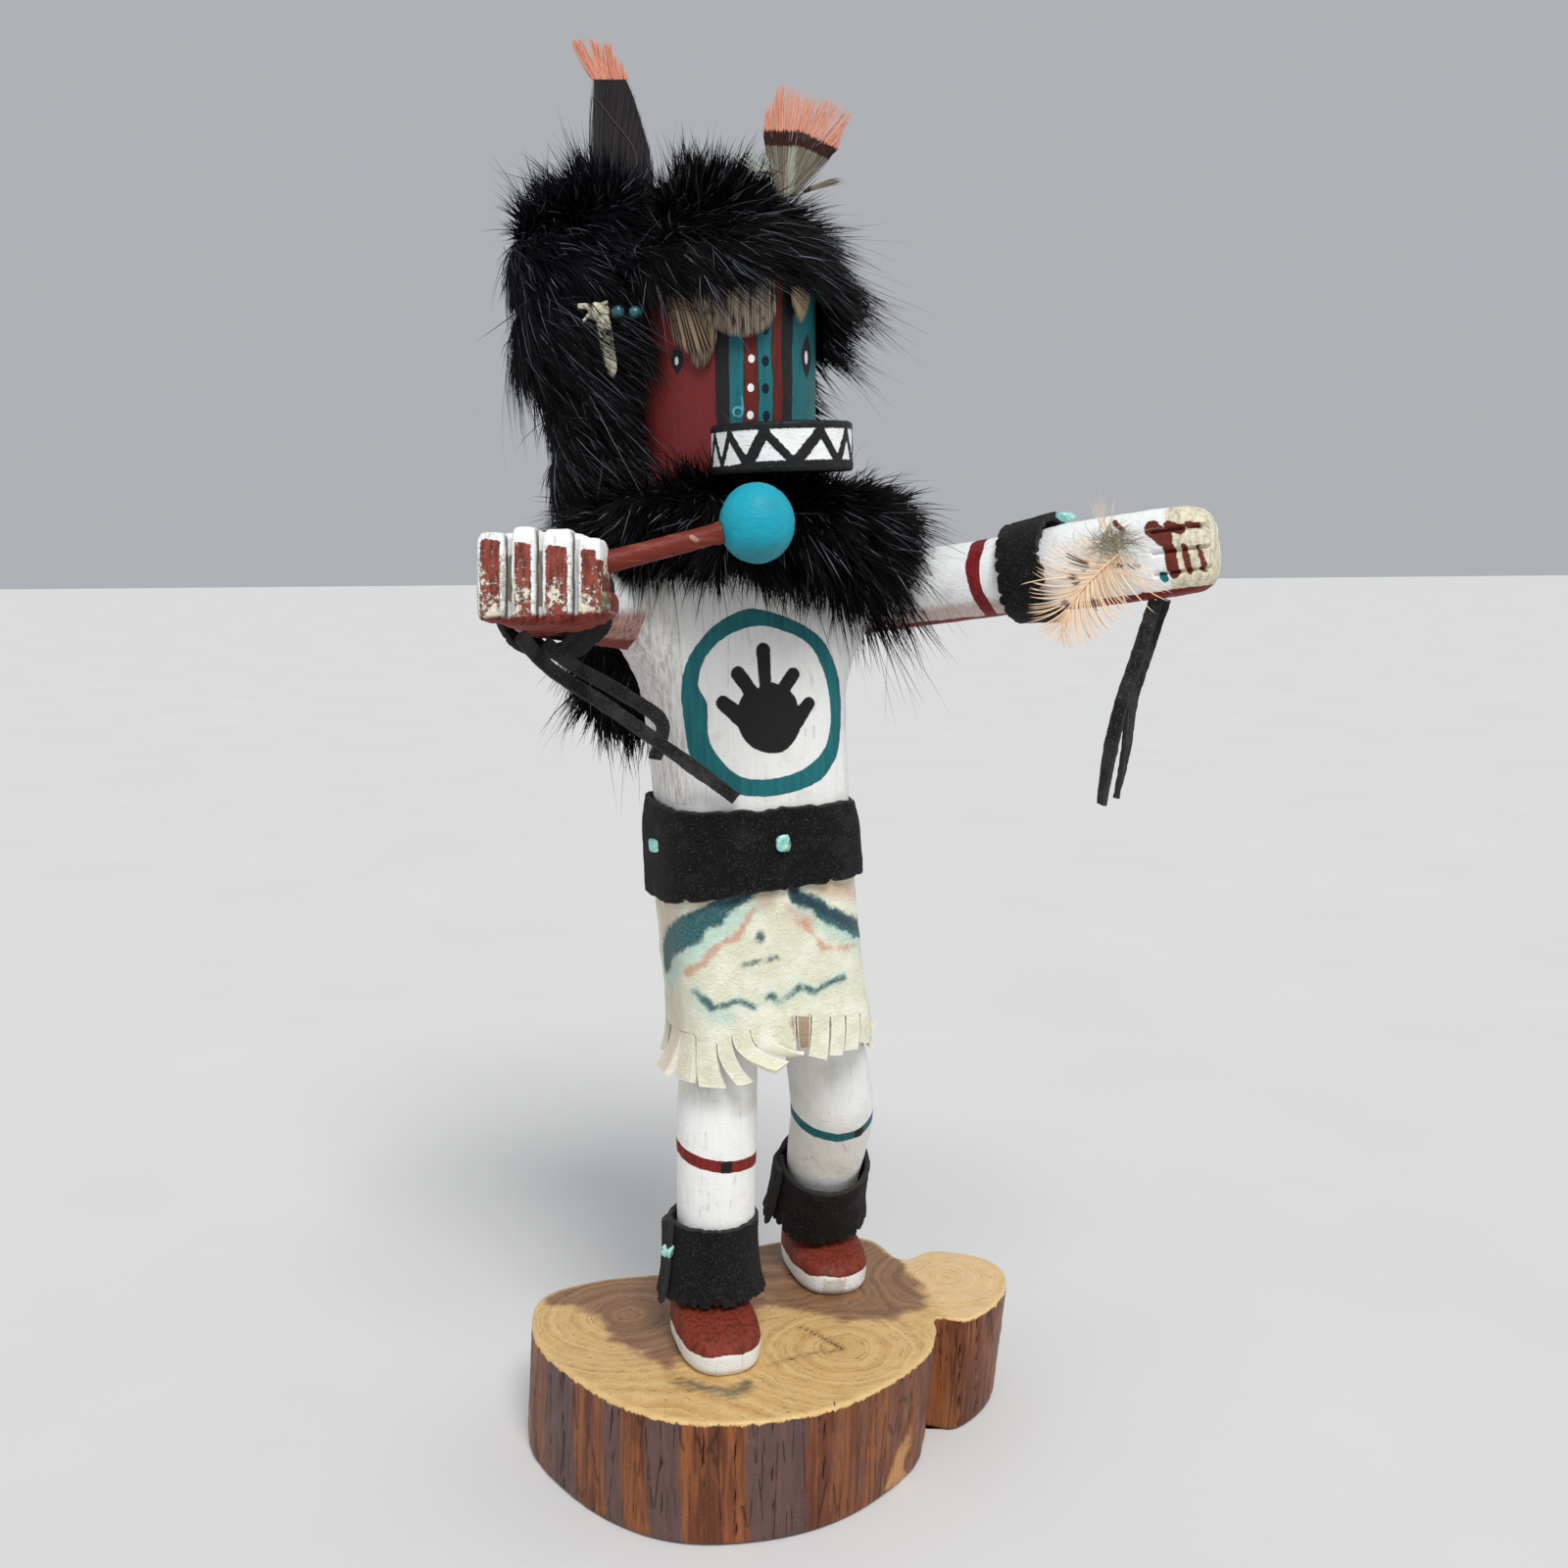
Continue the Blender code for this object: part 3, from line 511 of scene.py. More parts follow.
class Look:
    """A finish under construction: its material and the nodes that make it."""

    def __init__(self, name: str) -> None:
        """Starts a material with nothing but its output."""
        self.material = bpy.data.materials.new(name)
        self.material.use_nodes = True
        self.tree = self.material.node_tree
        self.tree.nodes.clear()

    def node(self, kind: str, settings: dict, values: dict, result: int | str = 0) -> Wire:
        """A node of any kind.

        Args:
            kind: The node's type.
            settings: Its own settings, set first; "stops" are a ramp's two (place, colour) pairs.
            values: Values or links for its sockets, by number or name.
            result: Which output to return.

        Returns:
            The output as a wire.
        """
        made = self.tree.nodes.new(kind)
        for key, setting in settings.items():
            if key == "stops":
                for element, (place, colour) in zip(made.color_ramp.elements, setting):
                    element.position = place
                    element.color = (*colour, 1.0)
            else:
                setattr(made, key, setting)
        for key, value in values.items():
            socket = made.inputs[key]
            if isinstance(value, Wire):
                self.tree.links.new(value.socket, socket)
            elif isinstance(value, tuple) and socket.type == "RGBA":
                socket.default_value = (*value, 1.0)
            else:
                socket.default_value = value
        return Wire(self, made.outputs[result])

    def place(self, stretch: Way = (1.0, 1.0, 1.0), shift: float = 0.0) -> Wire:
        """Where the surface is, in millimetres, stretched by the given sizes along each axis."""
        where = self.node("ShaderNodeTexCoord", {}, {}, "Object")
        scale = tuple(1000.0 / size for size in stretch)
        scaled = self.node("ShaderNodeVectorMath", {"operation": "MULTIPLY"}, {0: where, 1: scale})
        return self.node("ShaderNodeVectorMath", {"operation": "ADD"}, {0: scaled, 1: (shift, -shift, shift)})

    def noise(self, size: float, stretch: Way = (1.0, 1.0, 1.0), detail: float = 3.0, shift: float = 0.0,
              rough: float = 0.55, bend: float = 0.0) -> Wire:
        """Cloudy noise from 0 to 1 with bumps of a size in millimetres."""
        values = {"Vector": self.place(stretch, shift), "Scale": 1.0 / size, "Detail": detail,
                  "Roughness": rough, "Distortion": bend}
        return self.node("ShaderNodeTexNoise", {}, values)

    def cells(self, size: float, stretch: Way = (1.0, 1.0, 1.0), feature: str = "F1",
              shift: float = 0.0) -> Wire:
        """Distance to scattered points or to the edges between them."""
        values = {"Vector": self.place(stretch, shift), "Scale": 1.0 / size}
        return self.node("ShaderNodeTexVoronoi", {"feature": feature}, values, "Distance")

    def line_noise(self, along: Value, size: float, detail: float = 2.0) -> Wire:
        """Noise from 0 to 1 that changes along one number only."""
        return self.node("ShaderNodeTexNoise", {"noise_dimensions": "1D"},
                         {"W": along, "Scale": 1.0 / size, "Detail": detail})

    def mark(self, name: str) -> Wire:
        """What is marked on the mesh under a name."""
        return self.node("ShaderNodeAttribute", {"attribute_name": name}, {}, "Fac")

    def laid(self, mark: str, ragged: Value, soft: float) -> Wire:
        """1 where the mark is below zero and 0 outside it, over a soft and ragged edge."""
        return self.step(self.mark(mark) + ragged, soft, -soft)

    def step(self, value: Value, low: float, high: float, start: float = 0.0, end: float = 1.0) -> Wire:
        """A smooth rise from start to end while the value goes from low to high."""
        return self.node("ShaderNodeMapRange", {"interpolation_type": "SMOOTHSTEP", "clamp": True},
                         {0: value, 1: low, 2: high, 3: start, 4: end})

    def mix(self, share: Value, first: Value, second: Value) -> Wire:
        """The first colour, changed to the second by a share."""
        return self.node("ShaderNodeMix", {"data_type": "RGBA", "clamp_factor": True},
                         {0: share, 6: first, 7: second}, 2)

    def tint(self, colour: Value, second: Value, share: Value = 1.0) -> Wire:
        """A colour multiplied by another."""
        return self.node("ShaderNodeMix", {"data_type": "RGBA", "blend_type": "MULTIPLY"},
                         {0: share, 6: colour, 7: second}, 2)

    def ramp(self, value: Value, *stops: tuple[float, Colour]) -> Wire:
        """From one colour to another along a value."""
        return self.node("ShaderNodeValToRGB", {"stops": stops}, {0: value})

    def bump(self, height: Value, depth: float, strength: float = 1.0, under: Wire | None = None) -> Wire:
        """Relief of a depth in millimetres, over an earlier one if given."""
        values = {"Height": height, "Distance": depth * MM, "Strength": strength}
        if under is not None:
            values["Normal"] = under
        return self.node("ShaderNodeBump", {}, values)

    def done(self, colour: Value, roughness: Value, normal: Wire | None = None,
             **plain: float | Colour) -> bpy.types.Material:
        """The finished material.

        Args:
            colour: Its base colour.
            roughness: Its roughness.
            normal: Its relief.
            plain: Other sockets of the shader, by name with underscores.

        Returns:
            The material.
        """
        values = {"Base Color": colour, "Roughness": roughness}
        if normal is not None:
            values["Normal"] = normal
        for key, value in plain.items():
            values[key.replace("_", " ")] = value
        shader = self.node("ShaderNodeBsdfPrincipled", {}, values, "BSDF")
        out = self.tree.nodes.new("ShaderNodeOutputMaterial")
        self.tree.links.new(shader.socket, out.inputs["Surface"])
        return self.material


# ---------------------------------------------------------------- studio


@dataclass
class Studio:
    """The camera, a plain pale floor and soft lights."""

    eye: Way = (-100.0877, -345.07247, 207.2)
    lens: float = 38.25
    floor_colour: Colour = (0.66, 0.655, 0.645)
    # name, the way it is seen from the doll, spread in degrees, strength
    lamps: tuple[tuple[str, Way, float, float], ...] = (
        ("key", (-0.02, -0.62, 0.78), 24.0, 2.45),
        ("left", (-0.85, -0.35, 0.40), 60.0, 0.30),
        ("right", (0.90, -0.25, 0.35), 60.0, 0.36),
    )

    def build(self) -> None:
        """Sets the camera, the floor, the lamps and the room's own light."""
        self._camera()
        self._floor()
        for name, way, spread, strength in self.lamps:
            self._lamp(name, way, spread, strength)
        self._room()

    def _camera(self) -> None:
        """The camera, level from side to side and looking a little down."""
        data = bpy.data.cameras.new("camera")
        data.lens = self.lens
        data.sensor_width = 36.0
        data.clip_start = 0.01
        made = placed("camera", data)
        made.location = [v * MM for v in self.eye]
        made.rotation_euler = (math.pi / 2 - VIEW_DROP, 0.0, VIEW_TURN)
        bpy.context.scene.camera = made

    def _floor(self) -> None:
        """A plain floor just under the log."""
        look = Look("pale floor")
        tone = look.ramp(look.noise(90.0), (0.3, toned(self.floor_colour, 0.97)), (0.7, self.floor_colour))
        mesh = bpy.data.meshes.new("floor")
        half = 6.0
        corners = [(-half, -half, 0), (half, -half, 0), (half, half, 0), (-half, half, 0)]
        mesh.from_pydata(corners, [], [(0, 1, 2, 3)])
        mesh.materials.append(look.done(tone, 0.8))
        made = placed("floor", mesh)
        made.location.z = -0.0002

    def _lamp(self, name: str, way: Way, spread: float, strength: float) -> None:
        """A far, wide lamp, so that the floor is lit evenly."""
        data = bpy.data.lights.new(name, "SUN")
        data.angle = math.radians(spread)
        data.energy = strength
        side, front, height = unit(np.array(way))
        placed(name, data).rotation_euler = (math.acos(height), 0.0, math.atan2(side, -front))

    def _room(self) -> None:
        """Even light from the room, and colours shown as they are."""
        world = bpy.data.worlds.new("room")
        world.use_nodes = True
        shade = world.node_tree.nodes["Background"]
        shade.inputs["Color"].default_value = (0.92, 0.95, 1.0, 1.0)
        shade.inputs["Strength"].default_value = 0.46
        scene = bpy.context.scene
        scene.world = world
        scene.view_settings.view_transform = "Standard"
        scene.view_settings.look = "None"


# ---------------------------------------------------------------- thongs


class Stiffness(Enum):
    """How a thong's suede hangs."""

    LIMP = "limp"
    MEDIUM = "medium"


class Lay(Enum):
    """How a thong lies."""

    HANGING = "hanging"
    LOOSE = "loose"


@dataclass(frozen=True)
class BlackSuede:
    """Black suede with a felted nap, pale fibres and greyer cut edges."""

    name: str = "black suede"
    deep: Colour = (0.0030, 0.0027, 0.0026)
    worn: Colour = (0.026, 0.0245, 0.023)
    fibre: Colour = (0.17, 0.165, 0.16)
    edge: Colour = (0.045, 0.041, 0.037)
    wear: float = 0.5
    lint: float = 0.48

    def make(self) -> bpy.types.Material:
        """The material; a mark named edge is below zero on cut edges."""
        look = Look(self.name)
        cloud = look.noise(5.0, detail=4.0)
        nap = look.noise(0.34, detail=2.0, rough=0.7)
        lint = look.noise(0.42, (1.0, 1.0, 1.0), 3.0, 7.0, 0.8)
        colour = look.mix(look.step(cloud, 0.62 - 0.3 * self.wear, 0.85), self.deep, self.worn)
        colour = look.mix(look.step(nap, 0.52, 0.8) * 0.55, colour, self.worn)
        colour = look.mix(look.step(lint, 0.56, 0.70) * self.lint, colour, self.fibre)
        cut = look.laid("edge", (nap - 0.5) * 0.5, 0.12)
        colour = look.mix(cut * 0.75, colour, self.edge)
        relief = look.bump(nap + lint + look.noise(0.9, detail=2.0) * 0.9, 0.42, 1.0)
        rough = look.step(cloud, 0.3, 0.7, 0.98, 0.84)
        return look.done(colour, rough, relief, Sheen_Weight=0.06, Sheen_Roughness=0.45,
                         Sheen_Tint=(0.75, 0.75, 0.8), Specular_IOR_Level=0.18)


@dataclass
class Thong:
    """One flat suede lace, from where it leaves the hand to its free end."""

    name: str
    route: tuple[Way, ...]
    facing: Way
    twist: float
    lay: Lay
    seed: int
    width: float = 2.9
    lumps: float = 0.16
    thickness: float = 1.25
    steps: int = 9
    fine_steps: int = 24
    sides: int = 18

    def build(self, look: bpy.types.Material) -> None:
        centre = spline(self.route, self.steps)
        length = float(np.linalg.norm(np.diff(centre, axis=0), axis=1).sum())
        fine = spline(self.route, self.fine_steps)
        share = np.linspace(0, 1, len(fine))
        along = unit(np.gradient(fine, axis=0))
        turn = math.radians(self.twist) * share * share
        face = unit(np.array(self.facing) - (along @ np.array(self.facing))[:, None] * along)
        side = np.cross(along, face)
        face, side = (
            face * np.cos(turn)[:, None] + side * np.sin(turn)[:, None],
            side * np.cos(turn)[:, None] - face * np.sin(turn)[:, None],
        )
        flat = squircle(np.linspace(0, math.tau, self.sides, endpoint=False), self.width / 2,
                        self.thickness / 2, 5.0)
        wide = 1 + 0.10 * lattice(fine, 5.0, self.seed)[:, None]
        curl = 0.22 * (flat[None, :, 0] / self.width * 2) ** 2
        grid = (
            fine[:, None]
            + side[:, None] * (flat[None, :, 0] * wide)[..., None]
            + face[:, None] * (flat[None, :, 1] + curl)[..., None]
        )
        skin = Skin.of_rows(grid)
        skin.pushed(self.lumps * grain(skin.points, 1.1, self.seed, 3))
        across = np.append(np.tile(np.abs(flat[:, 0]), len(fine)), (0.0, 0.0))
        end = np.append(np.repeat(np.minimum(share, 1 - share) * length, self.sides), (0.0, 0.0))
        skin.marks["edge"] = np.minimum(self.width / 2 - 0.3 - across, end - 0.25)
        made = skin.piece(f"lace_{self.name}", look, "black suede", self.name)
        tuple(float(v) for v in centre[0] * MM)
        [tuple(float(v) for v in p) for p in centre * MM]
        log.info("%s: %.1f mm long", self.name, length)


THONGS = (
    Thong("right_thong_front", ((-61.2, -28.8, 187.4), (-54.8, -24.6, 180.4), (-43.2, -20.8, 172.4),
                                (-28.6, -16.7, 161.8), (-15.6, -13.6, 151.9)),
          (-0.25, -0.85, 0.45), 18.0, Lay.LOOSE, 3),
    Thong("right_thong_back", ((-56.2, -27.4, 185.6), (-49.6, -21.4, 180.6), (-38.6, -15.4, 174.0),
                               (-30.8, -12.7, 168.0), (-32.2, -12.0, 160.6)),
          (-0.3, -0.9, 0.3), -35.0, Lay.LOOSE, 4),
    Thong("left_thong_front", ((64.0, -43.0, 193.1), (61.0, -42.4, 182.6), (58.0, -41.7, 172.8),
                               (56.0, -40.9, 161.8), (55.0, -40.2, 151.6)),
          (-0.35, -0.93, 0.0), 70.0, Lay.HANGING, 5),
    Thong("left_thong_back", ((67.0, -40.9, 193.4), (63.6, -40.1, 182.0), (61.2, -39.5, 172.8),
                              (60.2, -39.2, 162.0), (58.8, -38.7, 152.6)),
          (0.1, -0.99, 0.0), -60.0, Lay.HANGING, 6),
)


# ---------------------------------------------------------------- log base


@dataclass(frozen=True)
class LogWood:
    """Varnished end grain on top, and a stained, streaked side where the bark was."""

    straw: Colour = (0.56, 0.335, 0.115)
    pale: Colour = (0.70, 0.485, 0.215)
    heart: Colour = (0.20, 0.105, 0.052)
    dark: Colour = (0.085, 0.040, 0.018)
    lobe: Colour = (0.78, 0.54, 0.30)
    # painted shadow of the right shoe on the log's top
    stain: Colour = (0.045, 0.040, 0.036)
    orange: Colour = (0.27, 0.088, 0.026)
    red: Colour = (0.105, 0.028, 0.011)
    slate: Colour = (0.088, 0.058, 0.060)
    scar: Colour = (0.55, 0.27, 0.10)
    crack: Colour = (0.012, 0.006, 0.004)

    def make(self) -> bpy.types.Material:
        """The material, from the log's marks."""
        look = Look("log wood")
        top, relief_top = self._top(look)
        side, relief_side = self._side(look)
        chips = look.noise(1.7, (1.0, 1.0, 2.0), 4.0, 19.0, 0.75)
        wall = look.step(look.mark("wall") + (chips - 0.5) * 1.7, 0.34, 0.58)
        colour = look.mix(wall, top, side)
        height = relief_top * (1 - wall) + relief_side * wall
        rough = look.step(look.noise(6.0), 0.3, 0.7, 0.30, 0.44) + wall * 0.08
        return look.done(colour, rough, look.bump(height, 0.34, 0.9), Coat_Weight=0.06, Coat_Roughness=0.25,
                         Specular_IOR_Level=0.28)

    def _top(self, look: Look) -> tuple[Wire, Wire]:
        """The end grain's colour and relief."""
        wobble = ((look.noise(7.0, detail=4.0) - 0.5) * 3.6
                  + (look.noise(1.6, detail=4.0, rough=0.7) - 0.5) * 1.9)
        ring = look.mark("ring") + wobble
        wide = look.line_noise(ring, 2.3, 3.0)
        fine = look.line_noise(ring, 0.62, 1.0)
        colour = look.mix(look.step(wide, 0.26, 0.74), self.straw, self.pale)
        patch = look.noise(3.4, detail=5.0, shift=21.0, rough=0.7)
        colour = look.mix(look.step(patch, 0.42, 0.66) * 0.55, colour, self.pale)
        heart = look.step(look.mark("heart") + (look.noise(5.0, detail=5.0) - 0.5) * 7.0, 1.6, -2.2)
        brown = look.mix(look.step(wide, 0.35, 0.65), self.heart, toned(self.heart, 1.55))
        colour = look.mix(heart, colour, brown)
        lobe = look.laid("lobe", (look.noise(4.0) - 0.5) * 3.0, 0.8)
        colour = look.mix(lobe, colour, look.mix(look.step(wide, 0.3, 0.7), self.lobe, self.pale))
        streak = look.step(fine, 0.40, 0.78) * look.step(look.noise(4.0, detail=4.0), 0.36, 0.66, 0.04, 0.62)
        colour = look.mix(streak, colour, look.tint(colour, (0.42, 0.32, 0.24)))
        flecks = look.step(look.noise(0.9, detail=5.0, shift=3.0, rough=0.75), 0.60, 0.74)
        flecked = look.laid("flecks", (look.noise(3.0, shift=9.0) - 0.5) * 5.0, 1.5)
        colour = look.mix(flecks * flecked * 0.8, colour, self.dark)
        # Painted shadow beside and in front of the right shoe's toe.
        shoe_shadow_share = look.step(look.mark("stain") + (look.noise(1.6, (1.6, 0.8, 1.0), 5.0) - 0.5) * 6.5, 1.9, -2.3)
        colour = look.mix(shoe_shadow_share * 0.78, colour, self.stain)
        knot = look.laid("knot", (look.noise(1.3, detail=4.0) - 0.5) * 2.6, 1.3)
        colour = look.mix(knot * 0.62, colour, self.dark)
        saw = look.noise(0.55, detail=3.0, shift=14.0, rough=0.75)
        colour = look.mix(look.step(saw, 0.50, 0.72) * 0.50, colour, look.tint(colour, (0.46, 0.36, 0.28)))
        pores = look.step(look.cells(1.9, shift=2.0), 0.10, 0.05)
        colour = look.mix(pores * 0.5, colour, self.dark)
        split = look.step(look.mark("split") + (look.noise(0.9, detail=3.0) - 0.5) * 0.5, 0.16, -0.05)
        colour = look.mix(split, colour, self.crack)
        rim = look.step(look.mark("rim") + (look.noise(1.4) - 0.5) * 1.2, 1.1, 0.1)
        colour = look.mix(rim * 0.45, colour, self.pale)
        height = (fine * 0.16 + look.noise(1.2, detail=4.0) * 0.22 + saw * 0.30 - split * 1.4 - knot * 0.35
                  - flecks * flecked * 0.3)
        return colour, height

    def _side(self, look: Look) -> tuple[Wire, Wire]:
        """The side's colour and relief: long streaks, cracks and a bare scar."""
        up = (1.0, 1.0, 16.0)
        streak = look.noise(1.5, up, 4.0, 1.0, 0.62)
        hair = look.noise(0.36, (1.0, 1.0, 30.0), 4.0, 4.0, 0.72)
        broad = look.noise(5.5, (1.0, 1.0, 6.0), 3.0, 8.0)
        cloud = look.noise(3.0, (1.0, 1.0, 1.6), 4.0, 5.0)
        colour = look.mix(look.step(streak * 0.55 + broad * 0.45, 0.40, 0.60), self.red, self.orange)
        cold = look.step(look.mark("cold") + (cloud - 0.5) * 0.7 + (streak - 0.5) * 1.2, 0.30, 0.74)
        colour = look.mix(cold * 0.85, colour, self.slate)
        colour = look.mix(look.step(hair, 0.54, 0.74) * 0.40, colour, toned(self.orange, 1.7))
        colour = look.mix(look.step(hair, 0.46, 0.28) * 0.65, colour, self.dark)
        nicks = look.step(look.noise(0.5, (2.2, 2.2, 0.5), 2.0, 6.0), 0.66, 0.73)
        colour = look.mix(nicks * 0.30, colour, self.scar)
        scar = look.laid("scar", (cloud - 0.5) * 3.0, 0.6)
        colour = look.mix(scar * 0.85, colour, self.scar)
        split = look.step(look.mark("crack") + (look.noise(1.0, (1.0, 1.0, 5.0)) - 0.5) * 0.3, 0.10, -0.10)
        thin = look.step(look.cells(3.1, (1.0, 1.0, 14.0), "DISTANCE_TO_EDGE", 5.0), 0.035, 0.006)
        thin = thin * look.step(look.noise(6.0, shift=2.0), 0.43, 0.57)
        colour = look.mix(split * 0.9, colour, self.crack)
        colour = look.mix(thin * 0.56, colour, self.crack)
        height = streak * 0.8 + hair * 0.5 - split * 2.2 - thin * 1.1 + cloud * 0.3
        return colour, height


@dataclass
class LogBase:
    """The slice of log that the doll stands on: a main slice with a small lobe at its left."""

    outline: tuple[tuple[float, float], ...] = (
        (57.9, 9.6), (56.5, 19.5), (46.0, 27.2), (36.4, 25.0), (32.6, 38.0), (20.0, 43.5), (0.0, 41.5),
        (-18.0, 33.6), (-38.0, 33.9), (-52.5, 28.5), (-57.0, 12.0), (-54.0, -4.5), (-44.5, -24.0),
        (-31.0, -36.0), (-12.0, -39.8), (6.0, -36.0), (24.0, -24.0), (31.2, -13.0), (33.6, -6.6),
        (41.0, -9.5), (52.0, -1.5),
    )
    height: float = 27.2
    skew: tuple[float, float] = (-2.4, -0.2)
    taper: float = 0.985
    middle: tuple[float, float] = (9.0, 5.0)
    columns: int = 440
    pith: tuple[float, float] = (-34.6, 13.7)
    knot: tuple[float, float] = (8.1, -15.2)
    lobe_pith: tuple[float, float] = (43.0, 12.0)
    # across the front, left to right as seen: where cracks run down the side, and how cold the stain is
    cracks: tuple[float, ...] = (-49.2, -37.4, -26.4, -17.6, -11.0, -3.4, 7.5, 26.6, 36.5, 39.6, 44.0)
    cold: tuple[tuple[float, float], ...] = (
        (-56.0, 0.2), (-50.0, 0.95), (-46.8, 0.9), (-45.2, 0.1), (-39.6, 0.1), (-38.4, 0.85), (-35.6, 0.85),
        (-34.4, 0.12), (-30.0, 0.12), (-28.4, 0.95), (-22.8, 0.9), (-21.6, 0.05), (-9.4, 0.05), (-8.0, 0.85),
        (2.4, 0.8), (4.6, 0.3), (12.0, 0.35), (24.0, 0.4), (32.0, 0.3), (44.0, 0.35), (56.0, 0.3),
    )

    def build(self) -> None:
        """Makes the slice and dresses it."""
        self.skin().piece("log_base", LogWood().make(), "log wood", "base", crease=75.0)

    def _edge(self) -> np.ndarray:
        """The top's outline, evenly spaced."""
        dense = spline(self.outline, 60, closed=True)
        loop = np.vstack((dense, dense[:1]))
        run = np.concatenate(([0.0], np.cumsum(np.linalg.norm(np.diff(loop, axis=0), axis=1))))
        even = np.linspace(0.0, run[-1], self.columns, endpoint=False)
        return np.stack((np.interp(even, run, loop[:, 0]), np.interp(even, run, loop[:, 1])), axis=1)

    def skin(self) -> Skin:
        """The slice as one skin: its side from the floor up, and its top from the rim in."""
        edge = self._edge()
        out = np.roll(edge, -1, axis=0) - np.roll(edge, 1, axis=0)
        out = unit(np.stack((out[:, 1], -out[:, 0]), axis=1))
        rows, wall, share_in = [], [], []
        side = [(0.0, 0.8), (0.25, 0.35), (0.7, 0.08)] + [(z, 0.0) for z in np.linspace(1.3, 26.3, 28)]
        side += [(26.65, 0.05), (26.9, 0.2), (27.08, 0.42), (self.height, 0.8)]
        for z, inset in side:
            share = 1 - z / self.height
            flat = edge * (1 + (self.taper - 1) * share) + np.array(self.skew) * share - out * inset
            rows.append(at_height(flat, z))
            wall.append(float(np.clip((27.1 - z) / 1.5, 0.0, 1.4)))
            share_in.append(1.0)
        rim = rows[-1]
        centre = np.array((*self.middle, self.height))
        for share in np.concatenate((1 - np.linspace(0.004, 0.06, 8), np.linspace(0.925, 0.02, 34))):
            rows.append(centre + (rim - centre) * share)
            wall.append(0.0)
            share_in.append(share)
        skin = Skin.of_rows(np.array(rows))
        walls = np.append(np.repeat(wall, self.columns), (1.0, 0.0))
        self._mark(skin, walls)
        self._relief(skin, walls)
        return skin

    def _mark(self, skin: Skin, walls: np.ndarray) -> None:
        """Marks rings, heartwood, stains, a painted shadow by the right shoe, cracks and the bark's streaks
        on the points.
        """
        p = skin.points
        flat = p[:, :2]
        pith, knot, lobe = (np.linalg.norm(flat - np.array(c), axis=1)
                            for c in (self.pith, self.knot, self.lobe_pith))
        soft = 7.0
        ring = -soft * np.log(np.exp(-pith / soft) + np.exp(-(knot * 0.9 + 4.0) / soft)
                              + np.exp(-(lobe * 1.1) / soft))
        heart = ((-54.0, 44.0), (-53.0, 23.0), (-45.0, 21.0), (-40.6, 10.6), (-40.8, 2.6), (-36.0, -5.1),
                 (-30.6, -16.0), (-25.0, -5.0), (-15.0, 5.0), (-2.8, 9.0), (5.6, 3.5), (12.0, -2.9),
                 (22.2, -6.2), (33.4, -1.8), (35.6, 8.0), (36.0, 18.0), (36.4, 27.0), (34.0, 46.0))
        skin.marks = {
            "ring": ring,
            "wall": walls,
            "heart": outline_distance(flat, np.array(heart)),
            "lobe": outline_distance(flat, np.array(((35.4, -8.0), (36.6, 8.0), (35.8, 27.0), (64.0, 34.0),
                                                     (64.0, -14.0)))),
            # painted shadow of the right shoe
            "stain": stroke_distance(flat, (1.9, ((-29.5, -20.0), (-25.0, -23.4), (-20.5, -27.2),
                                                  (-16.5, -24.6)))),
            "knot": stroke_distance(flat, (0.5, (self.knot, (5.0, -8.0), (2.0, -2.5))),
                                    (0.35, (self.knot, (-1.0, -15.4), (-9.1, -17.4)))),
            "flecks": np.minimum(
                outline_distance(flat, np.array(((14.0, -18.0), (26.0, -10.0), (33.0, -9.0), (24.0, -27.0),
                                                 (12.0, -31.0)))),
                outline_distance(flat, np.array(((-57.0, 24.0), (-49.0, 24.0), (-47.0, 8.0), (-44.0, -10.0),
                                                 (-36.0, -24.0), (-40.0, -30.0), (-57.0, -4.0))))),
            "split": stroke_distance(flat, (0.16, (self.knot, (5.0, -8.0), (2.0, -2.5))),
                                     (0.10, (self.knot, (-1.0, -15.4), (-6.5, -17.0))),
                                     (0.05, ((-34.6, 13.7), (-42.0, 9.0), (-49.6, 6.0), (-53.0, 6.4))),
                                     (0.05, ((-33.4, -22.4), (-34.2, -26.0), (-36.0, -33.0))),
                                     (0.02, ((-11.9, -30.5), (-10.7, -34.0), (-11.2, -40.0))),
                                     (0.02, ((-1.5, -31.4), (-0.4, -34.5), (-1.2, -39.5))),
                                     (0.12, ((-4.8, -12.6), (-4.6, -13.4)))),
            "rim": -outline_distance(flat, self._edge()[::6]) - 0.8,
        }
        across = p[:, 0] * math.cos(VIEW_TURN) + p[:, 1] * math.sin(VIEW_TURN)
        wander = 0.5 * lattice(np.column_stack((across * 0, p[:, 2], across * 0)), 7.0, 5)
        spots = np.array(self.cold)
        skin.marks["cold"] = np.interp(across + wander, spots[:, 0], spots[:, 1])
        front = p[:, 1] < 8.0
        crack = np.full(len(p), FAR)
        for number, place in enumerate(self.cracks):
            bent = (across + 0.22 * lattice(np.column_stack((across * 0, p[:, 2], across * 0 + number)),
                                            6.0, 11))
            start = (0.0, 9.0, 4.0, 13.0, 0.0)[number % 5]
            thin = 0.15 - 0.04 * (number % 3) - np.where(p[:, 2] < start, 1.0, 0.0)
            crack = np.minimum(crack, np.abs(bent - place) - thin)
        skin.marks["crack"] = only(front, crack)
        scar = outline_distance(np.column_stack((across, p[:, 2])),
                                np.array(((20.4, 1.0), (23.0, 7.4), (26.6, 12.6), (27.0, 8.4), (25.0, 3.0),
                                          (26.6, 0.0))))
        skin.marks["scar"] = only(front, scar)

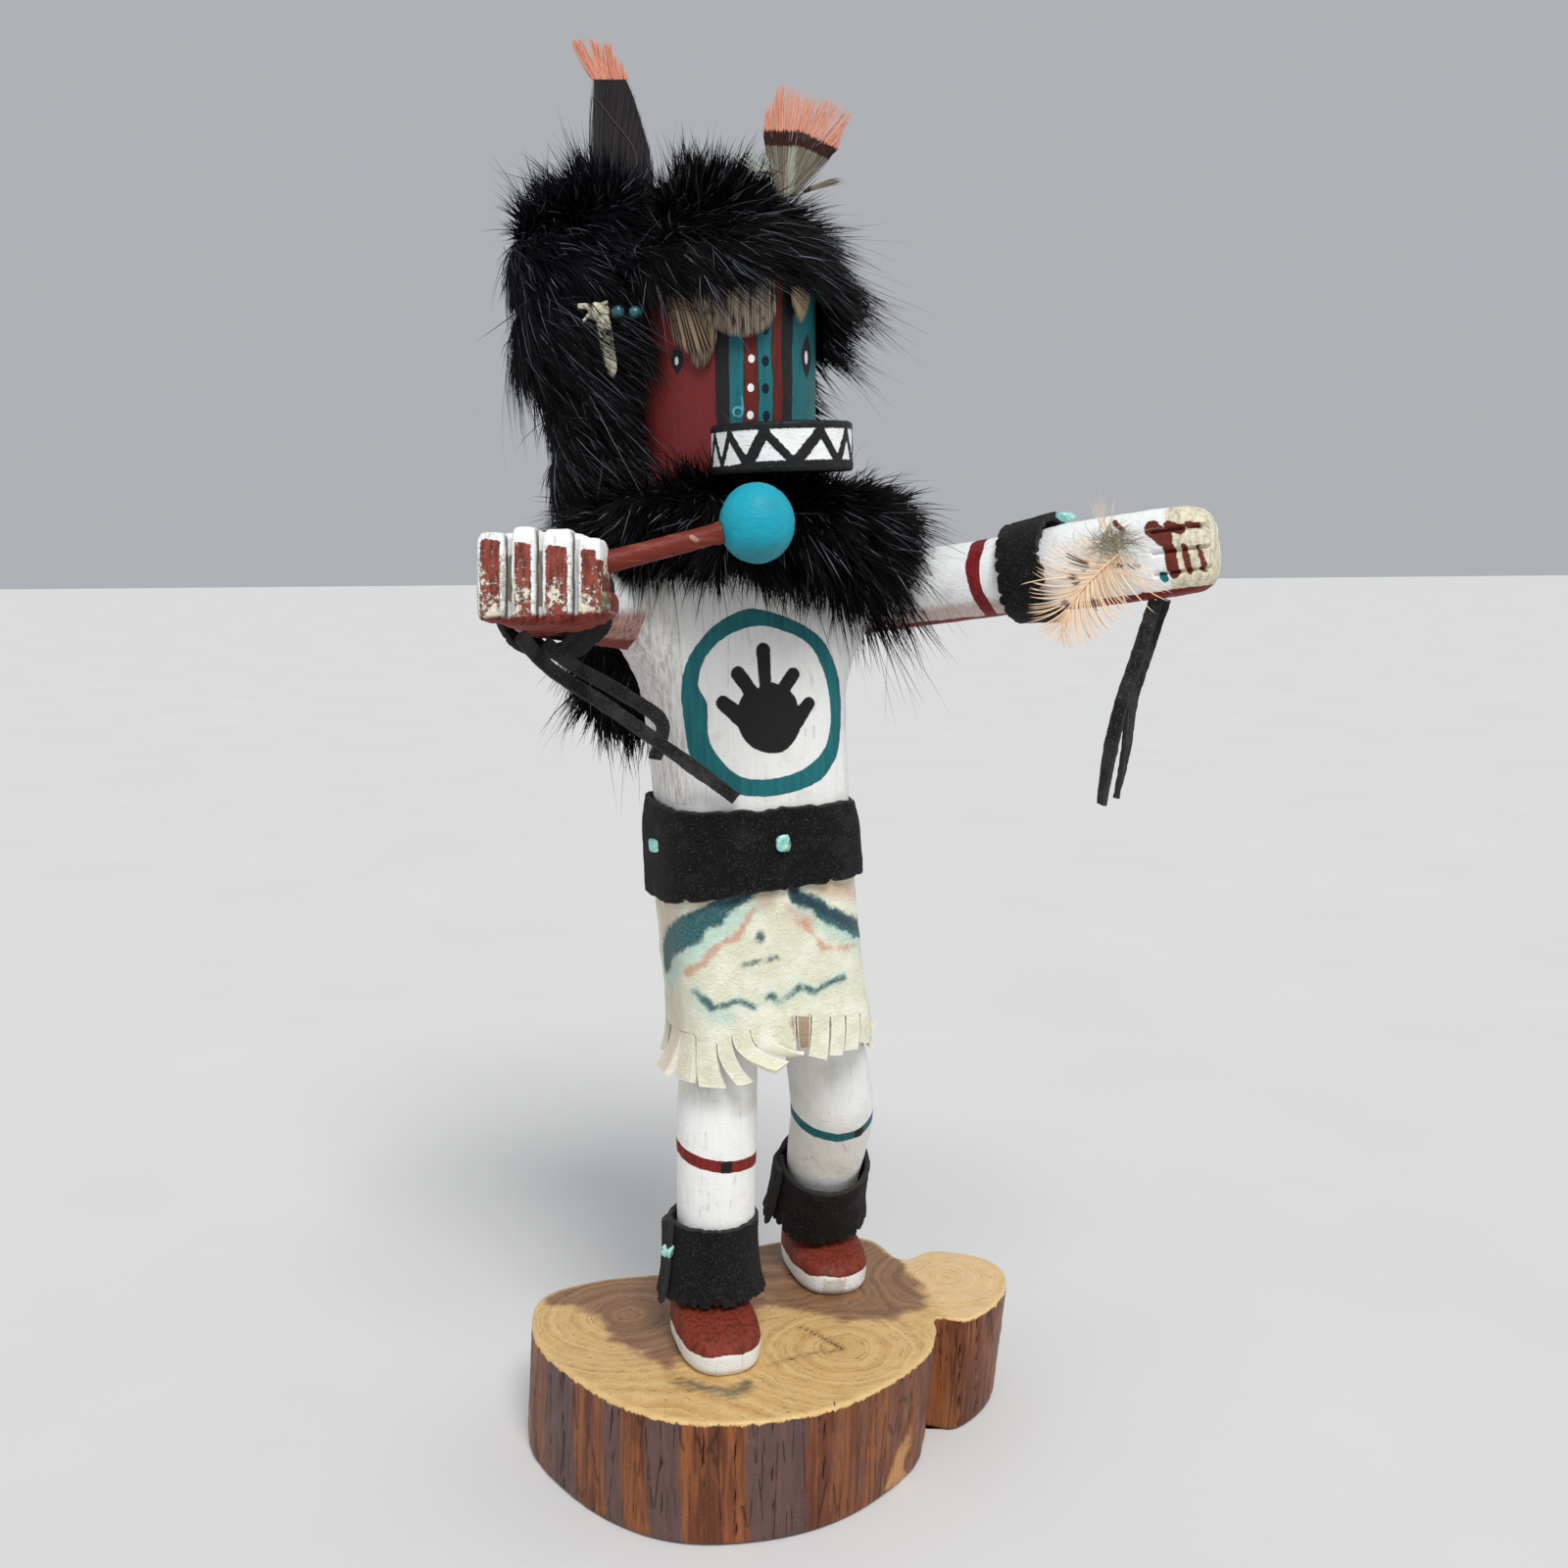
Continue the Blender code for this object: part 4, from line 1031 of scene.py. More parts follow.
    def _relief(self, skin: Skin, walls: np.ndarray) -> None:
        """Carves ridges and cracks into the side, and planes the top a little unevenly."""
        p = skin.points
        tall = np.column_stack((p[:, 0], p[:, 1], p[:, 2] * 0.07))
        ridges = 0.26 * grain(tall, 2.2, 21, 3) + 0.10 * lattice(p, 1.4, 22)
        crack = eased(skin.marks["crack"], 0.14, -0.12)
        low = eased(p[:, 2], 0.0, 1.5)
        side = (ridges - 0.55 * crack) * low
        top = 0.07 * grain(p, 4.0, 23, 3) - 0.25 * eased(skin.marks["split"], 0.25, -0.05)
        skin.pushed(np.where(walls > 0.5, side, top))
        skin.points[:, 2] = np.clip(skin.points[:, 2], 0.0, self.height + 0.1)


# ---------------------------------------------------------------- painted wood


@dataclass(frozen=True)
class Coat:
    """A colour of paint, laid where its mark is below zero."""

    mark: str
    colour: Colour
    soft: float = 0.10
    ragged: float = 0.25
    ragged_size: float = 1.6
    streaks: float = 0.18
    thick: float = 0.5
    cover: float = 1.0


@dataclass(frozen=True)
class PaintedWood:
    """Carved wood under paint: brush streaks, hairline cracks, knife marks and grime."""

    name: str
    ground: Colour
    coats: tuple[Coat, ...] = ()
    grain: Way = (1.0, 1.0, 14.0)
    grain_size: float = 0.75
    knife: float = 0.5
    cracks: float = 0.6
    grime: Colour = (0.40, 0.30, 0.20)
    grimy: float = 0.25
    # bare wood where worn; on the torso it also stands in for painted shade
    bare: Colour = (0.40, 0.29, 0.25)
    speckle: float = 0.0
    rough: tuple[float, float] = (0.48, 0.66)
    coat: float = 0.0
    wears: bool = False

    def make(self) -> bpy.types.Material:
        """The material, from its coats' marks."""
        look = Look(self.name)
        cloud = look.noise(7.0, detail=4.0)
        streak = look.noise(self.grain_size, self.grain, 3.0, 2.0, 0.6)
        mottle = look.noise(0.8, (1.0, 1.0, 1.6), 4.0, 6.0, 0.7)
        colour = look.mix(look.step(streak, 0.35, 0.75) * 0.35, self.ground, toned(self.ground, 0.80))
        colour = look.mix(look.step(cloud, 0.52, 0.78) * self.grimy, colour, self.grime)
        height = streak * 0.60 * self.cracks + mottle * 0.42
        if self.wears:
            # worn patches: wear, and on the torso's side painted shade
            worn = look.laid("worn", (streak - 0.5) * 5.0, 2.4)
            colour = look.mix(worn * look.step(streak + (mottle - 0.5) * 0.4, 0.40, 0.66) * 0.62, colour,
                              self.bare)
            height = height + worn * mottle * 0.9
        for number, coat in enumerate(self.coats):
            edge = (look.noise(coat.ragged_size, detail=3.0, shift=11.0 + number, rough=0.7)
                    - 0.5) * 2.0 * coat.ragged
            laid = look.laid(coat.mark, edge, coat.soft)
            tone = look.mix(look.step(look.noise(0.9, self.grain, 3.0, 21.0 + number), 0.35, 0.7),
                            coat.colour, toned(coat.colour, 1 - coat.streaks * 2))
            colour = look.mix(laid * coat.cover if coat.cover < 1 else laid, colour, tone)
            height = height + laid * coat.thick
        split = look.step(look.cells(5.5, self.grain, "DISTANCE_TO_EDGE", 3.0), 0.020, 0.004)
        split = split * look.step(look.noise(5.0, shift=13.0), 0.50, 0.62) * self.cracks
        colour = look.mix(split * 0.75, colour, (0.05, 0.035, 0.03))
        if self.speckle:
            dots = look.step(look.noise(0.42, detail=1.0, shift=17.0), 0.72, 0.78)
            colour = look.mix(dots * self.speckle, colour, (0.05, 0.045, 0.04))
        relief = look.bump(height - split * 0.8, 0.32, 0.95)
        if self.knife:
            cuts = look.noise(1.3, (1.0, 1.0, 0.35), 2.0, 15.0)
            relief = look.bump(cuts, 0.35, self.knife * 0.6, relief)
        rough = look.step(cloud, 0.3, 0.7, self.rough[0], self.rough[1])
        return look.done(colour, rough, relief, Coat_Weight=self.coat, Coat_Roughness=0.3,
                         Specular_IOR_Level=0.18)


TEAL = (0.014, 0.145, 0.165)
MAROON = (0.135, 0.016, 0.012)
DULL_MAROON = (0.165, 0.020, 0.020)
SHOE_BROWN = (0.205, 0.034, 0.018)
INK = (0.0125, 0.012, 0.012)
WHITE = (0.80, 0.80, 0.775)
BRIGHT_WHITE = (0.86, 0.87, 0.86)


# ---------------------------------------------------------------- body


@dataclass(frozen=True)
class KneeBand:
    """The painted band round a knee with its square, and how high the brown shoe below it reaches."""

    paint: str
    half_width: float
    line: tuple[tuple[float, float], ...]
    square: tuple[float, float]
    shoe_top: float
    half_square: float = 1.25
    per_degree: float = 0.155


@dataclass
class Body:
    """The torso, legs and feet, carved as one and painted white."""

    torso_y: float = 5.0
    power: float = 4.2
    # height, centre x, half width, half depth
    torso: tuple[tuple[float, ...], ...] = (
        (96.5, -4.3, 14.0, 11.0), (97.5, -4.3, 17.6, 14.0), (99.5, -4.4, 18.7, 15.5),
        (128.0, -6.2, 18.5, 15.2), (142.0, -7.1, 18.5, 15.2), (146.0, -7.3, 20.1, 16.4),
        (160.0, -8.3, 20.4, 16.5), (172.0, -9.3, 21.1, 16.5), (179.0, -9.9, 23.4, 16.3),
        (185.0, -10.4, 26.8, 16.0), (191.0, -10.8, 29.2, 15.6), (197.0, -11.1, 29.2, 15.0),
        (202.0, -11.4, 26.0, 14.0), (205.0, -11.6, 21.0, 12.5), (206.0, -11.7, 17.0, 10.5),
    )
    right_band: KneeBand = KneeBand(
        "red_band", 1.3, ((-27.0, 74.6), (-12.8, 71.8), (-6.0, 70.2), (0.0, 69.2), (5.0, 68.9), (9.4, 68.8),
                          (18.0, 70.4), (27.0, 74.6)), (0.1, 69.2), 39.5)
    left_band: KneeBand = KneeBand(
        "teal_band", 1.15, ((-27.0, 76.0), (-14.5, 74.4), (-6.5, 70.7), (-1.2, 69.3), (3.8, 69.9),
                            (9.6, 73.0), (18.0, 76.0), (27.0, 76.0)), (3.9, 69.9), 43.0)
    right_leg: tuple[tuple[float, ...], ...] = (
        (-14.3, 3.8, 106.0, 7.9), (-16.1, 2.0, 80.0, 8.9), (-16.7, 0.9, 60.0, 8.8), (-17.2, 0.5, 40.0, 8.3),
        (-17.5, 0.5, 31.0, 7.8),
    )
    left_leg: tuple[tuple[float, ...], ...] = (
        (5.2, 6.5, 106.0, 8.0), (8.5, 7.0, 98.0, 8.6), (11.4, 7.6, 86.0, 9.4), (13.2, 9.6, 74.0, 9.6),
        (13.9, 14.8, 64.0, 9.4), (14.2, 20.6, 53.0, 8.7), (14.5, 26.2, 42.0, 8.2), (15.0, 28.6, 33.0, 7.6),
    )
    # height above the log, set back at the toe, set in at the heel, half width
    foot: tuple[tuple[float, ...], ...] = (
        (0.3, 1.0, 0.9, 7.9), (1.8, 0.1, 0.1, 8.8), (5.0, 0.0, 0.0, 9.1), (7.2, 1.8, 0.0, 8.9),
        (8.7, 5.4, 0.2, 8.4), (9.7, 9.6, 0.5, 7.6), (10.2, 12.4, 1.2, 6.4),
    )
    foot_length: float = 30.0
    foot_power: float = 2.7
    toes: tuple[tuple[float, float], ...] = ((-18.9, -21.0), (15.7, 9.0))
    ground: float = 27.2
    ring_out: tuple[tuple[float, float], ...] = (
        (-10.8, 191.0), (-4.6, 189.4), (2.9, 185.4), (6.6, 179.8), (8.1, 173.0), (8.1, 165.4), (7.2, 159.4),
        (3.6, 154.6), (-2.4, 152.3), (-8.6, 151.6), (-14.6, 152.4), (-20.8, 155.4), (-24.6, 160.6),
        (-25.9, 168.2), (-26.4, 175.0), (-24.6, 181.4), (-19.6, 187.4), (-14.6, 190.2),
    )
    ring_in: tuple[tuple[float, float], ...] = (
        (-9.8, 187.5), (-3.4, 185.9), (1.0, 183.4), (3.8, 179.0), (5.4, 173.8), (6.0, 167.0), (4.8, 161.8),
        (1.4, 158.0), (-3.4, 155.9), (-9.8, 155.2), (-14.8, 156.6), (-19.0, 161.0), (-20.8, 165.2),
        (-20.9, 171.6), (-22.8, 175.4), (-21.2, 181.2), (-16.4, 185.6),
    )
    palm: tuple[tuple[float, float], ...] = (
        (-13.0, 173.4), (-9.4, 174.6), (-6.8, 175.6), (-2.4, 173.0), (-1.2, 169.6), (-0.9, 165.4),
        (-3.8, 161.4), (-7.0, 160.7), (-10.4, 161.6), (-12.8, 163.6), (-14.2, 166.4), (-14.6, 169.6),
    )
    # each finger: base, tip, half width at both
    fingers: tuple[tuple[float, ...], ...] = (
        (-13.2, 168.0, -17.5, 171.6, 1.9, 1.5), (-10.6, 172.6, -14.3, 177.6, 1.5, 1.5),
        (-8.4, 174.4, -8.9, 182.4, 1.25, 1.5), (-5.0, 173.4, -2.4, 177.2, 1.5, 1.4),
        (-1.9, 167.2, 1.0, 171.0, 1.8, 1.35),
    )

    def build(self) -> None:
        """Makes the body and dresses it."""
        parts = [self._torso(), self._leg(self.right_leg, self.right_band, 41),
                 self._leg(self.left_leg, self.left_band, 42)]
        parts += [self._foot(toe, 43 + number) for number, toe in enumerate(self.toes)]
        look = PaintedWood(
            "body paint", WHITE,
            (
                Coat("ring", TEAL, ragged=0.22, streaks=0.14),
                Coat("hand", INK, ragged=0.18, ragged_size=1.1, streaks=0.05, thick=0.7),
                Coat("red_band", (0.20, 0.018, 0.014), ragged=0.25),
                Coat("teal_band", TEAL, ragged=0.22),
                Coat("square", INK, ragged=0.15),
                Coat("shoe", SHOE_BROWN, ragged=0.45, ragged_size=1.5, streaks=0.26, thick=0.8),
                Coat("toe_wear", (0.42, 0.38, 0.27), ragged=1.6, ragged_size=1.0, soft=0.6, cover=0.6),
            ),
            grimy=0.26, speckle=0.25, cracks=0.3, wears=True,
        ).make()
        Skin.joined(parts).piece("carved_body", look, "white paint", "body")

    def _angles(self, front: int, back: int) -> np.ndarray:
        """Angles round the torso, closer together over its front."""
        near = np.linspace(-math.pi, 0.0, front, endpoint=False)
        return np.concatenate((near, np.linspace(0.0, math.pi, back, endpoint=False)))

    def _torso(self) -> Skin:
        """The torso with its emblem, worn at its right side, with painted shade there under the arm."""
        heights = np.concatenate((np.linspace(96.5, 100.0, 5), np.linspace(102.0, 144.0, 12),
                                  np.linspace(144.7, 206.0, 100)))
        sizes = smooth_rows(self.torso, heights)
        angles = self._angles(170, 42)
        rows = [at_height(squircle(angles, w, d, self.power) + (x, self.torso_y), z)
                for z, (x, w, d) in zip(heights, sizes)]
        skin = Skin.of_rows(np.array(rows))
        p = skin.points
        flat = template(p, -11.3)
        front = (p[:, 1] < self.torso_y - 2.0) & ((p[:, 0] < 0.0) | (p[:, 1] < -1.0))
        ring = np.maximum(outline_distance(flat, spline(self.ring_out, 3, True)),
                          -outline_distance(flat, spline(self.ring_in, 3, True)))
        hand = outline_distance(flat, spline(self.palm, 3, True))
        for x0, z0, x1, z1, r0, r1 in self.fingers:
            hand = np.minimum(hand, brush_distance(flat, ((x0, z0, r0), (x1, z1, r1))))
        skin.marks["ring"] = only(front, ring)
        skin.marks["hand"] = only(front, hand)
        # The worn patches at the torso's right side, under the arm, are partly wear and partly painted shade.
        side = p[:, 0] + 26.5 + 0.12 * (p[:, 2] - 180.0) + 2.2 * lattice(p, 6.0, 47)
        skin.marks["worn"] = only(p[:, 2] > 150.0, side)
        relief = 0.16 * grain(p * (1.0, 1.0, 0.25), 3.4, 44, 3) + 0.10 * lattice(p * (1, 1, 0.06), 0.8, 45)
        rough = eased(-side, -1.0, 3.0) * (p[:, 2] > 150.0)
        return skin.pushed(relief + rough * 0.22 * grain(p, 1.0, 46, 2))

    def _leg(self, rows: tuple[tuple[float, ...], ...], band: KneeBand, seed: int) -> Skin:
        """One leg with its painted knee band."""
        key = spline(rows, 40)[::-1]
        even = np.linspace(0, len(key) - 1, 90)
        key = np.stack([np.interp(even, np.arange(len(key)), key[:, c]) for c in range(4)], axis=1)
        angles = turns(90)
        turn = np.stack((np.cos(angles), np.sin(angles)), axis=1)
        grid = np.array([at_height(turn * r + (x, y), z) for x, y, z, r in key])
        skin = Skin.of_rows(grid)
        p = skin.points
        middle = np.stack([np.interp(p[:, 2], key[:, 2], key[:, c]) for c in (0, 1)], axis=1)
        around = np.degrees(np.arctan2(p[:, 0] - middle[:, 0], -(p[:, 1] - middle[:, 1])))
        flat = np.column_stack((around * band.per_degree, p[:, 2]))
        skin.marks["shoe"] = p[:, 2] - band.shoe_top
        skin.marks[band.paint] = stroke_distance(flat, (band.half_width, band.line))
        skin.marks["square"] = np.abs(flat - band.square).max(axis=1) - band.half_square
        cuts = np.column_stack((p[:, 0] + p[:, 2] * 0.8, p[:, 1], p[:, 2] * 0.5))
        return skin.pushed(0.12 * grain(p * (1, 1, 0.3), 3.0, seed, 3) + 0.06 * lattice(cuts, 1.3, seed + 10))

    def _foot(self, toe: tuple[float, float], seed: int) -> Skin:
        """One moccasin: white sole, brown upper."""
        heights = np.array((0.3, 0.6, 1.0, 1.4, 1.8, 2.6, 3.4, 4.2, 5.0, 5.5, 6.0, 6.4, 6.8, 7.2, 7.6, 8.0,
                            8.3, 8.7, 9.0, 9.3, 9.5, 9.7, 9.85, 10.0, 10.1, 10.2))
        sizes = smooth_rows(self.foot, heights)
        x, front = toe
        angles = turns(116)
        rows = []
        for height, (back, heel, half) in zip(heights, sizes):
            low, high = front + back, front + self.foot_length - heel
            flat = squircle(angles, half, (high - low) / 2, self.foot_power) + (x, (low + high) / 2)
            rows.append(at_height(flat, self.ground + height))
        rows += closing(rows[-1], (0.9, 0.75, 0.5, 0.25), ALONG_Z * 0.25, 1)
        skin = Skin.of_rows(np.array(rows))
        p = skin.points
        sole = 5.1 + 0.45 * lattice(p * (1, 1, 0), 4.0, seed)
        skin.marks["shoe"] = self.ground + sole - p[:, 2]
        if toe[0] > 0:
            spot = np.column_stack((p[:, 0] - x + 1.6, (p[:, 2] - self.ground - 2.2) * 1.3))
            skin.marks["toe_wear"] = only(p[:, 1] < front + 3.0, np.abs(spot).max(axis=1) - 2.6)
        return skin.pushed(0.13 * grain(p, 3.0, seed, 3))


# ---------------------------------------------------------------- arms


@dataclass
class Arms:
    """Two round sticks glued to the shoulders, one carved as a fist and one as an open hand."""

    arm: float = 8.2
    right_shoulder: Way = (-31.0, 4.6, 189.7)
    right_wrist: Way = (-58.0, -22.8, 195.0)
    right_fist: Way = (-56.9, -36.0, 197.6)
    fist_way: Way = (-0.34, -0.93, 0.12)
    left_shoulder: Way = (14.6, 9.7, 191.7)
    left_tip: Way = (74.0, -49.6, 204.0)
    # distance from the fist's middle, half width, half height, power
    palm: tuple[tuple[float, ...], ...] = (
        (-8.0, 9.9, 8.7, 2.6), (-5.5, 10.8, 8.9, 3.4), (4.6, 10.9, 8.6, 4.0), (6.4, 10.2, 7.9, 3.8),
    )
    # fingers from the doll's right to its left: first and last across
    fist_fingers: tuple[tuple[float, float], ...] = ((-11.0, -5.7), (-4.7, -0.1), (0.9, 6.5), (7.4, 11.6))
    # distance from the fingertips, half width, half height, power
    hand: tuple[tuple[float, ...], ...] = (
        (-33.5, 8.0, 8.6, 2.2), (-29.0, 7.5, 8.9, 3.0), (-12.0, 7.3, 8.9, 3.8), (-5.7, 7.0, 8.6, 3.8),
        (-2.6, 6.2, 7.6, 3.2), (-1.2, 4.8, 6.0, 2.8),
    )

    def build(self) -> None:
        """Makes both arms and dresses them."""
        self._right()
        self._left()

    def _stick(self, shoulder: np.ndarray, wrist: np.ndarray, way: np.ndarray, middle: np.ndarray,
               stations: tuple[tuple[float, ...], ...], gap: float, count: int) -> tuple[Skin, np.ndarray]:
        """A round stick that runs on into a hand.

        Args:
            shoulder: Where it starts.
            wrist: Where the hand starts.
            way: The way the hand points.
            middle: Where the hand's distances start.
            stations: The hand's sizes.
            gap: Spacing of rows along the hand.
            count: Columns.

        Returns:
            The skin, and each point's (across, up, along) from the middle of the hand.
        """
        across, up, along = axes_along(wrist - shoulder)
        angles = turns(count)
        turn = np.stack((np.cos(angles), np.sin(angles)), axis=1) * self.arm
        length = float(np.linalg.norm(wrist - shoulder))
        rows = [
            shoulder + along * d + turn[:, :1] * across + turn[:, 1:] * up
            for d in np.arange(0.0, length, 1.3)
        ]
        across, up, along = axes_along(way)
        places = np.arange(stations[0][0], stations[-1][0] + 1e-6, gap)
        for d, (half_w, half_h, power) in zip(places, smooth_rows(stations, places)):
            flat = squircle(angles, half_w, half_h, power)
            rows.append(middle + along * d + flat[:, :1] * across + flat[:, 1:] * up)
        rows += closing(rows[-1], (0.93, 0.85, 0.75, 0.6, 0.45, 0.3, 0.15), along * 0.6, 2)
        skin = Skin.of_rows(np.array(rows))
        return skin, (skin.points - middle) @ np.array((across, up, along)).T

    def _right(self) -> None:
        """The right arm and its fist: a palm block behind four finger blocks."""
        shoulder, wrist, fist = (np.array(v) for v in (self.right_shoulder, self.right_wrist,
                                                       self.right_fist))
        axes = axes_along(np.array(self.fist_way))
        skin, local = self._stick(shoulder, wrist, np.array(self.fist_way), fist, self.palm, 0.5, 150)
        parts = [skin]
        skin.marks = dict(zip("abc", local.T))
        for number, (low, high) in enumerate(self.fist_fingers):
            middle, half = (low + high) / 2, (high - low) / 2
            tall = (8.0, 8.9, 8.7, 7.6)[number]
            lift = (0.2, 0.3, 0.2, -0.3)[number]
            centre = fist + axes[0] * middle + axes[1] * lift + axes[2] * 4.1
            block = block_skin(centre, axes, (half, tall, 5.2), 7.0, 18, (middle, lift, 4.1))
            block.marks["finger"] = np.abs(block.marks["a"] - middle) - half
            parts.append(block)
        place = (10.2, -4.4, 2.2)
        parts.append(block_skin(fist + np.array(place) @ np.array(axes), axes, (3.0, 2.6, 6.6), 3.4, 12,
                                place))
        whole = Skin.joined(parts)
        p, a, b, c = whole.points, whole.marks.pop("a"), whole.marks.pop("b"), whole.marks.pop("c")
        on_hand = c > -9.0
        finger = whole.marks.pop("finger", np.full(len(p), FAR))
        patch = np.maximum(finger + 0.85, np.maximum(b - 5.9 + 0.10 * a, -8.0 - b))
        flank = only(on_hand & (a > 8.5), np.maximum(b - 3.2, -5.8 - b))
        whole.marks["maroon"] = np.minimum(only(on_hand & (c > 6.0), patch), flank)
        smear = np.where(c > 6.0, 0.34 + 0.055 * b + 0.6 * lattice(p * (0.9, 0.9, 0.35), 1.6, 63),
                         0.25 - 0.22 * b)
        whole.marks["smear"] = only(on_hand, np.maximum(smear, whole.marks["maroon"] - 0.8))
        under = only(on_hand, b + 6.6 - 0.06 * a)
        # Painted shade: the arm stick's underside is painted red-brown; on the hand the mark is the fist's
        # own maroon underside.
        arm_painted_shade = p[:, 2] - 184.4 + 0.10 * (p[:, 0] + 31.0)
        whole.marks["under"] = np.where(on_hand, under, arm_painted_shade)
        # Painted shade: a soft pinkish band over the lower half of the arm stick.
        whole.marks["mottle"] = only(~on_hand, np.abs(p[:, 2] - 187.3) - 3.6)
        sides = only((c > 4.5) & (c < 8.3) & (np.abs(a) < 10.4), -finger - 0.35)
        behind = only((c > 6.3) & (np.abs(b) < 8.3), -1.0)
        whole.marks["groove"] = np.where(finger < 8.0, sides, behind)
        look = PaintedWood(
            "right arm paint", BRIGHT_WHITE,
            (
                # pinkish painted shade on the arm stick
                Coat("mottle", (0.55, 0.30, 0.25), ragged=1.6, ragged_size=1.4, soft=1.6, streaks=0.3,
                     thick=0.1),
                Coat("maroon", (0.285, 0.062, 0.042), ragged=0.50, ragged_size=0.8, streaks=0.3, thick=0.6),
                Coat("smear", (0.84, 0.80, 0.66), ragged=1.7, ragged_size=1.0, soft=0.25, streaks=0.12,
                     thick=1.0, cover=0.92),
                Coat("groove", (0.17, 0.135, 0.07), ragged=0.5, ragged_size=0.8, soft=0.3, cover=0.8),
                # the fist's own maroon underside, and red-brown painted shade under the arm stick
                Coat("under", (0.23, 0.036, 0.026), ragged=0.8, ragged_size=1.6, soft=0.5, streaks=0.2,
                     thick=0.4),
            ),
            grain=(1.0, 1.0, 4.0), knife=1.0, grimy=0.35, cracks=0.3,
        ).make()
        whole.pushed(0.14 * grain(p, 2.2, 61, 3) + 0.10 * lattice(p * (1, 1, 0.5), 0.8, 62))
        whole.piece("carved_right_arm", look, "white paint", "right_arm")

    def _left(self) -> None:
        """The left arm and its open hand, fingers cut on the side that shows."""
        shoulder, tip = np.array(self.left_shoulder), np.array(self.left_tip)
        way = unit(tip - shoulder)
        wrist = tip - way * 37.0
        skin, local = self._stick(shoulder, wrist, way, tip, self.hand, 0.34, 130)
        p, (a, b, c) = skin.points, local.T
        along = (p - shoulder) @ way - 3.5
        stroke = np.column_stack((along, b))
        fingers = np.clip(nearest(*[np.abs(b - place) for place in (-4.2, 0.0, 4.2)]), 0, 3)
        tips = (c > -11.5) & (a < -3.0)
        groove = np.where(tips, eased(fingers, 0.55, 0.12), 0.0)
        skin.marks["band"] = (np.abs(along - 32.2 - 0.45 * lattice(p, 4.0, 71) - 1.2 * eased(-b, 0.0, 9.0))
                              - 1.45)
        daubs = stroke_distance(stroke, (1.6, ((70.4, 4.9), (72.6, 2.6))), (1.0, ((73.6, 5.0), (75.8, 4.0))),
                                (0.5, ((77.2, 4.9), (79.5, 4.3))), (1.15, ((73.3, 0.7), (73.8, -4.2))),
                                (0.6, ((76.2, 0.6), (76.8, -4.3))), (0.4, ((79.0, 0.3), (79.4, -4.5))),
                                (0.45, ((62.6, 7.4), (64.6, 5.2))))
        skin.marks["maroon"] = only(a < 2.0, daubs)
        # Under the hand this is its own maroon; along the stick it is painted shade on the underside.
        skin.marks["under"] = np.where(along > 50.0, b + 7.4, b + 7.0 + 0.02 * along)
        rough = np.maximum(73.0 - along, a - 3.0)
        skin.marks["cream"] = only(along > 60.0, rough)
        skin.marks["dab"] = only(a < 0.0, stroke_distance(stroke, (0.7, ((71.4, -4.4), (71.9, -5.2)))))
        skin.marks["shade"] = only(along < 42.0, b + 4.6)
        look = PaintedWood(
            "left arm paint", BRIGHT_WHITE,
            (
                Coat("shade", (0.56, 0.36, 0.32), ragged=1.5, ragged_size=1.2, soft=0.8, thick=0.1,
                     cover=0.7),
                Coat("cream", (0.76, 0.70, 0.52), ragged=0.9, ragged_size=1.2, soft=0.4, streaks=0.2,
                     thick=0.2),
                Coat("band", (0.22, 0.014, 0.018), ragged=0.28, streaks=0.2, thick=0.9),
                Coat("maroon", (0.16, 0.030, 0.022), ragged=0.5, ragged_size=0.9, thick=0.5),
                # maroon under the hand, painted shade under the stick
                Coat("under", (0.20, 0.020, 0.014), ragged=0.5, ragged_size=1.8),
                Coat("dab", TEAL, ragged=0.3),
            ),
            grain=(1.0, 1.0, 2.0), knife=0.9, grimy=0.2, cracks=0.25,
        ).make()
        knife = eased(along, 70.0, 73.5) * (0.20 * grain(p * (1, 1, 0.6), 0.9, 72, 2))
        skin.pushed(0.10 * grain(p, 2.6, 73, 3) - 1.1 * groove + knife)
        skin.piece("carved_left_arm", look, "white paint", "left_arm")


# ---------------------------------------------------------------- mask


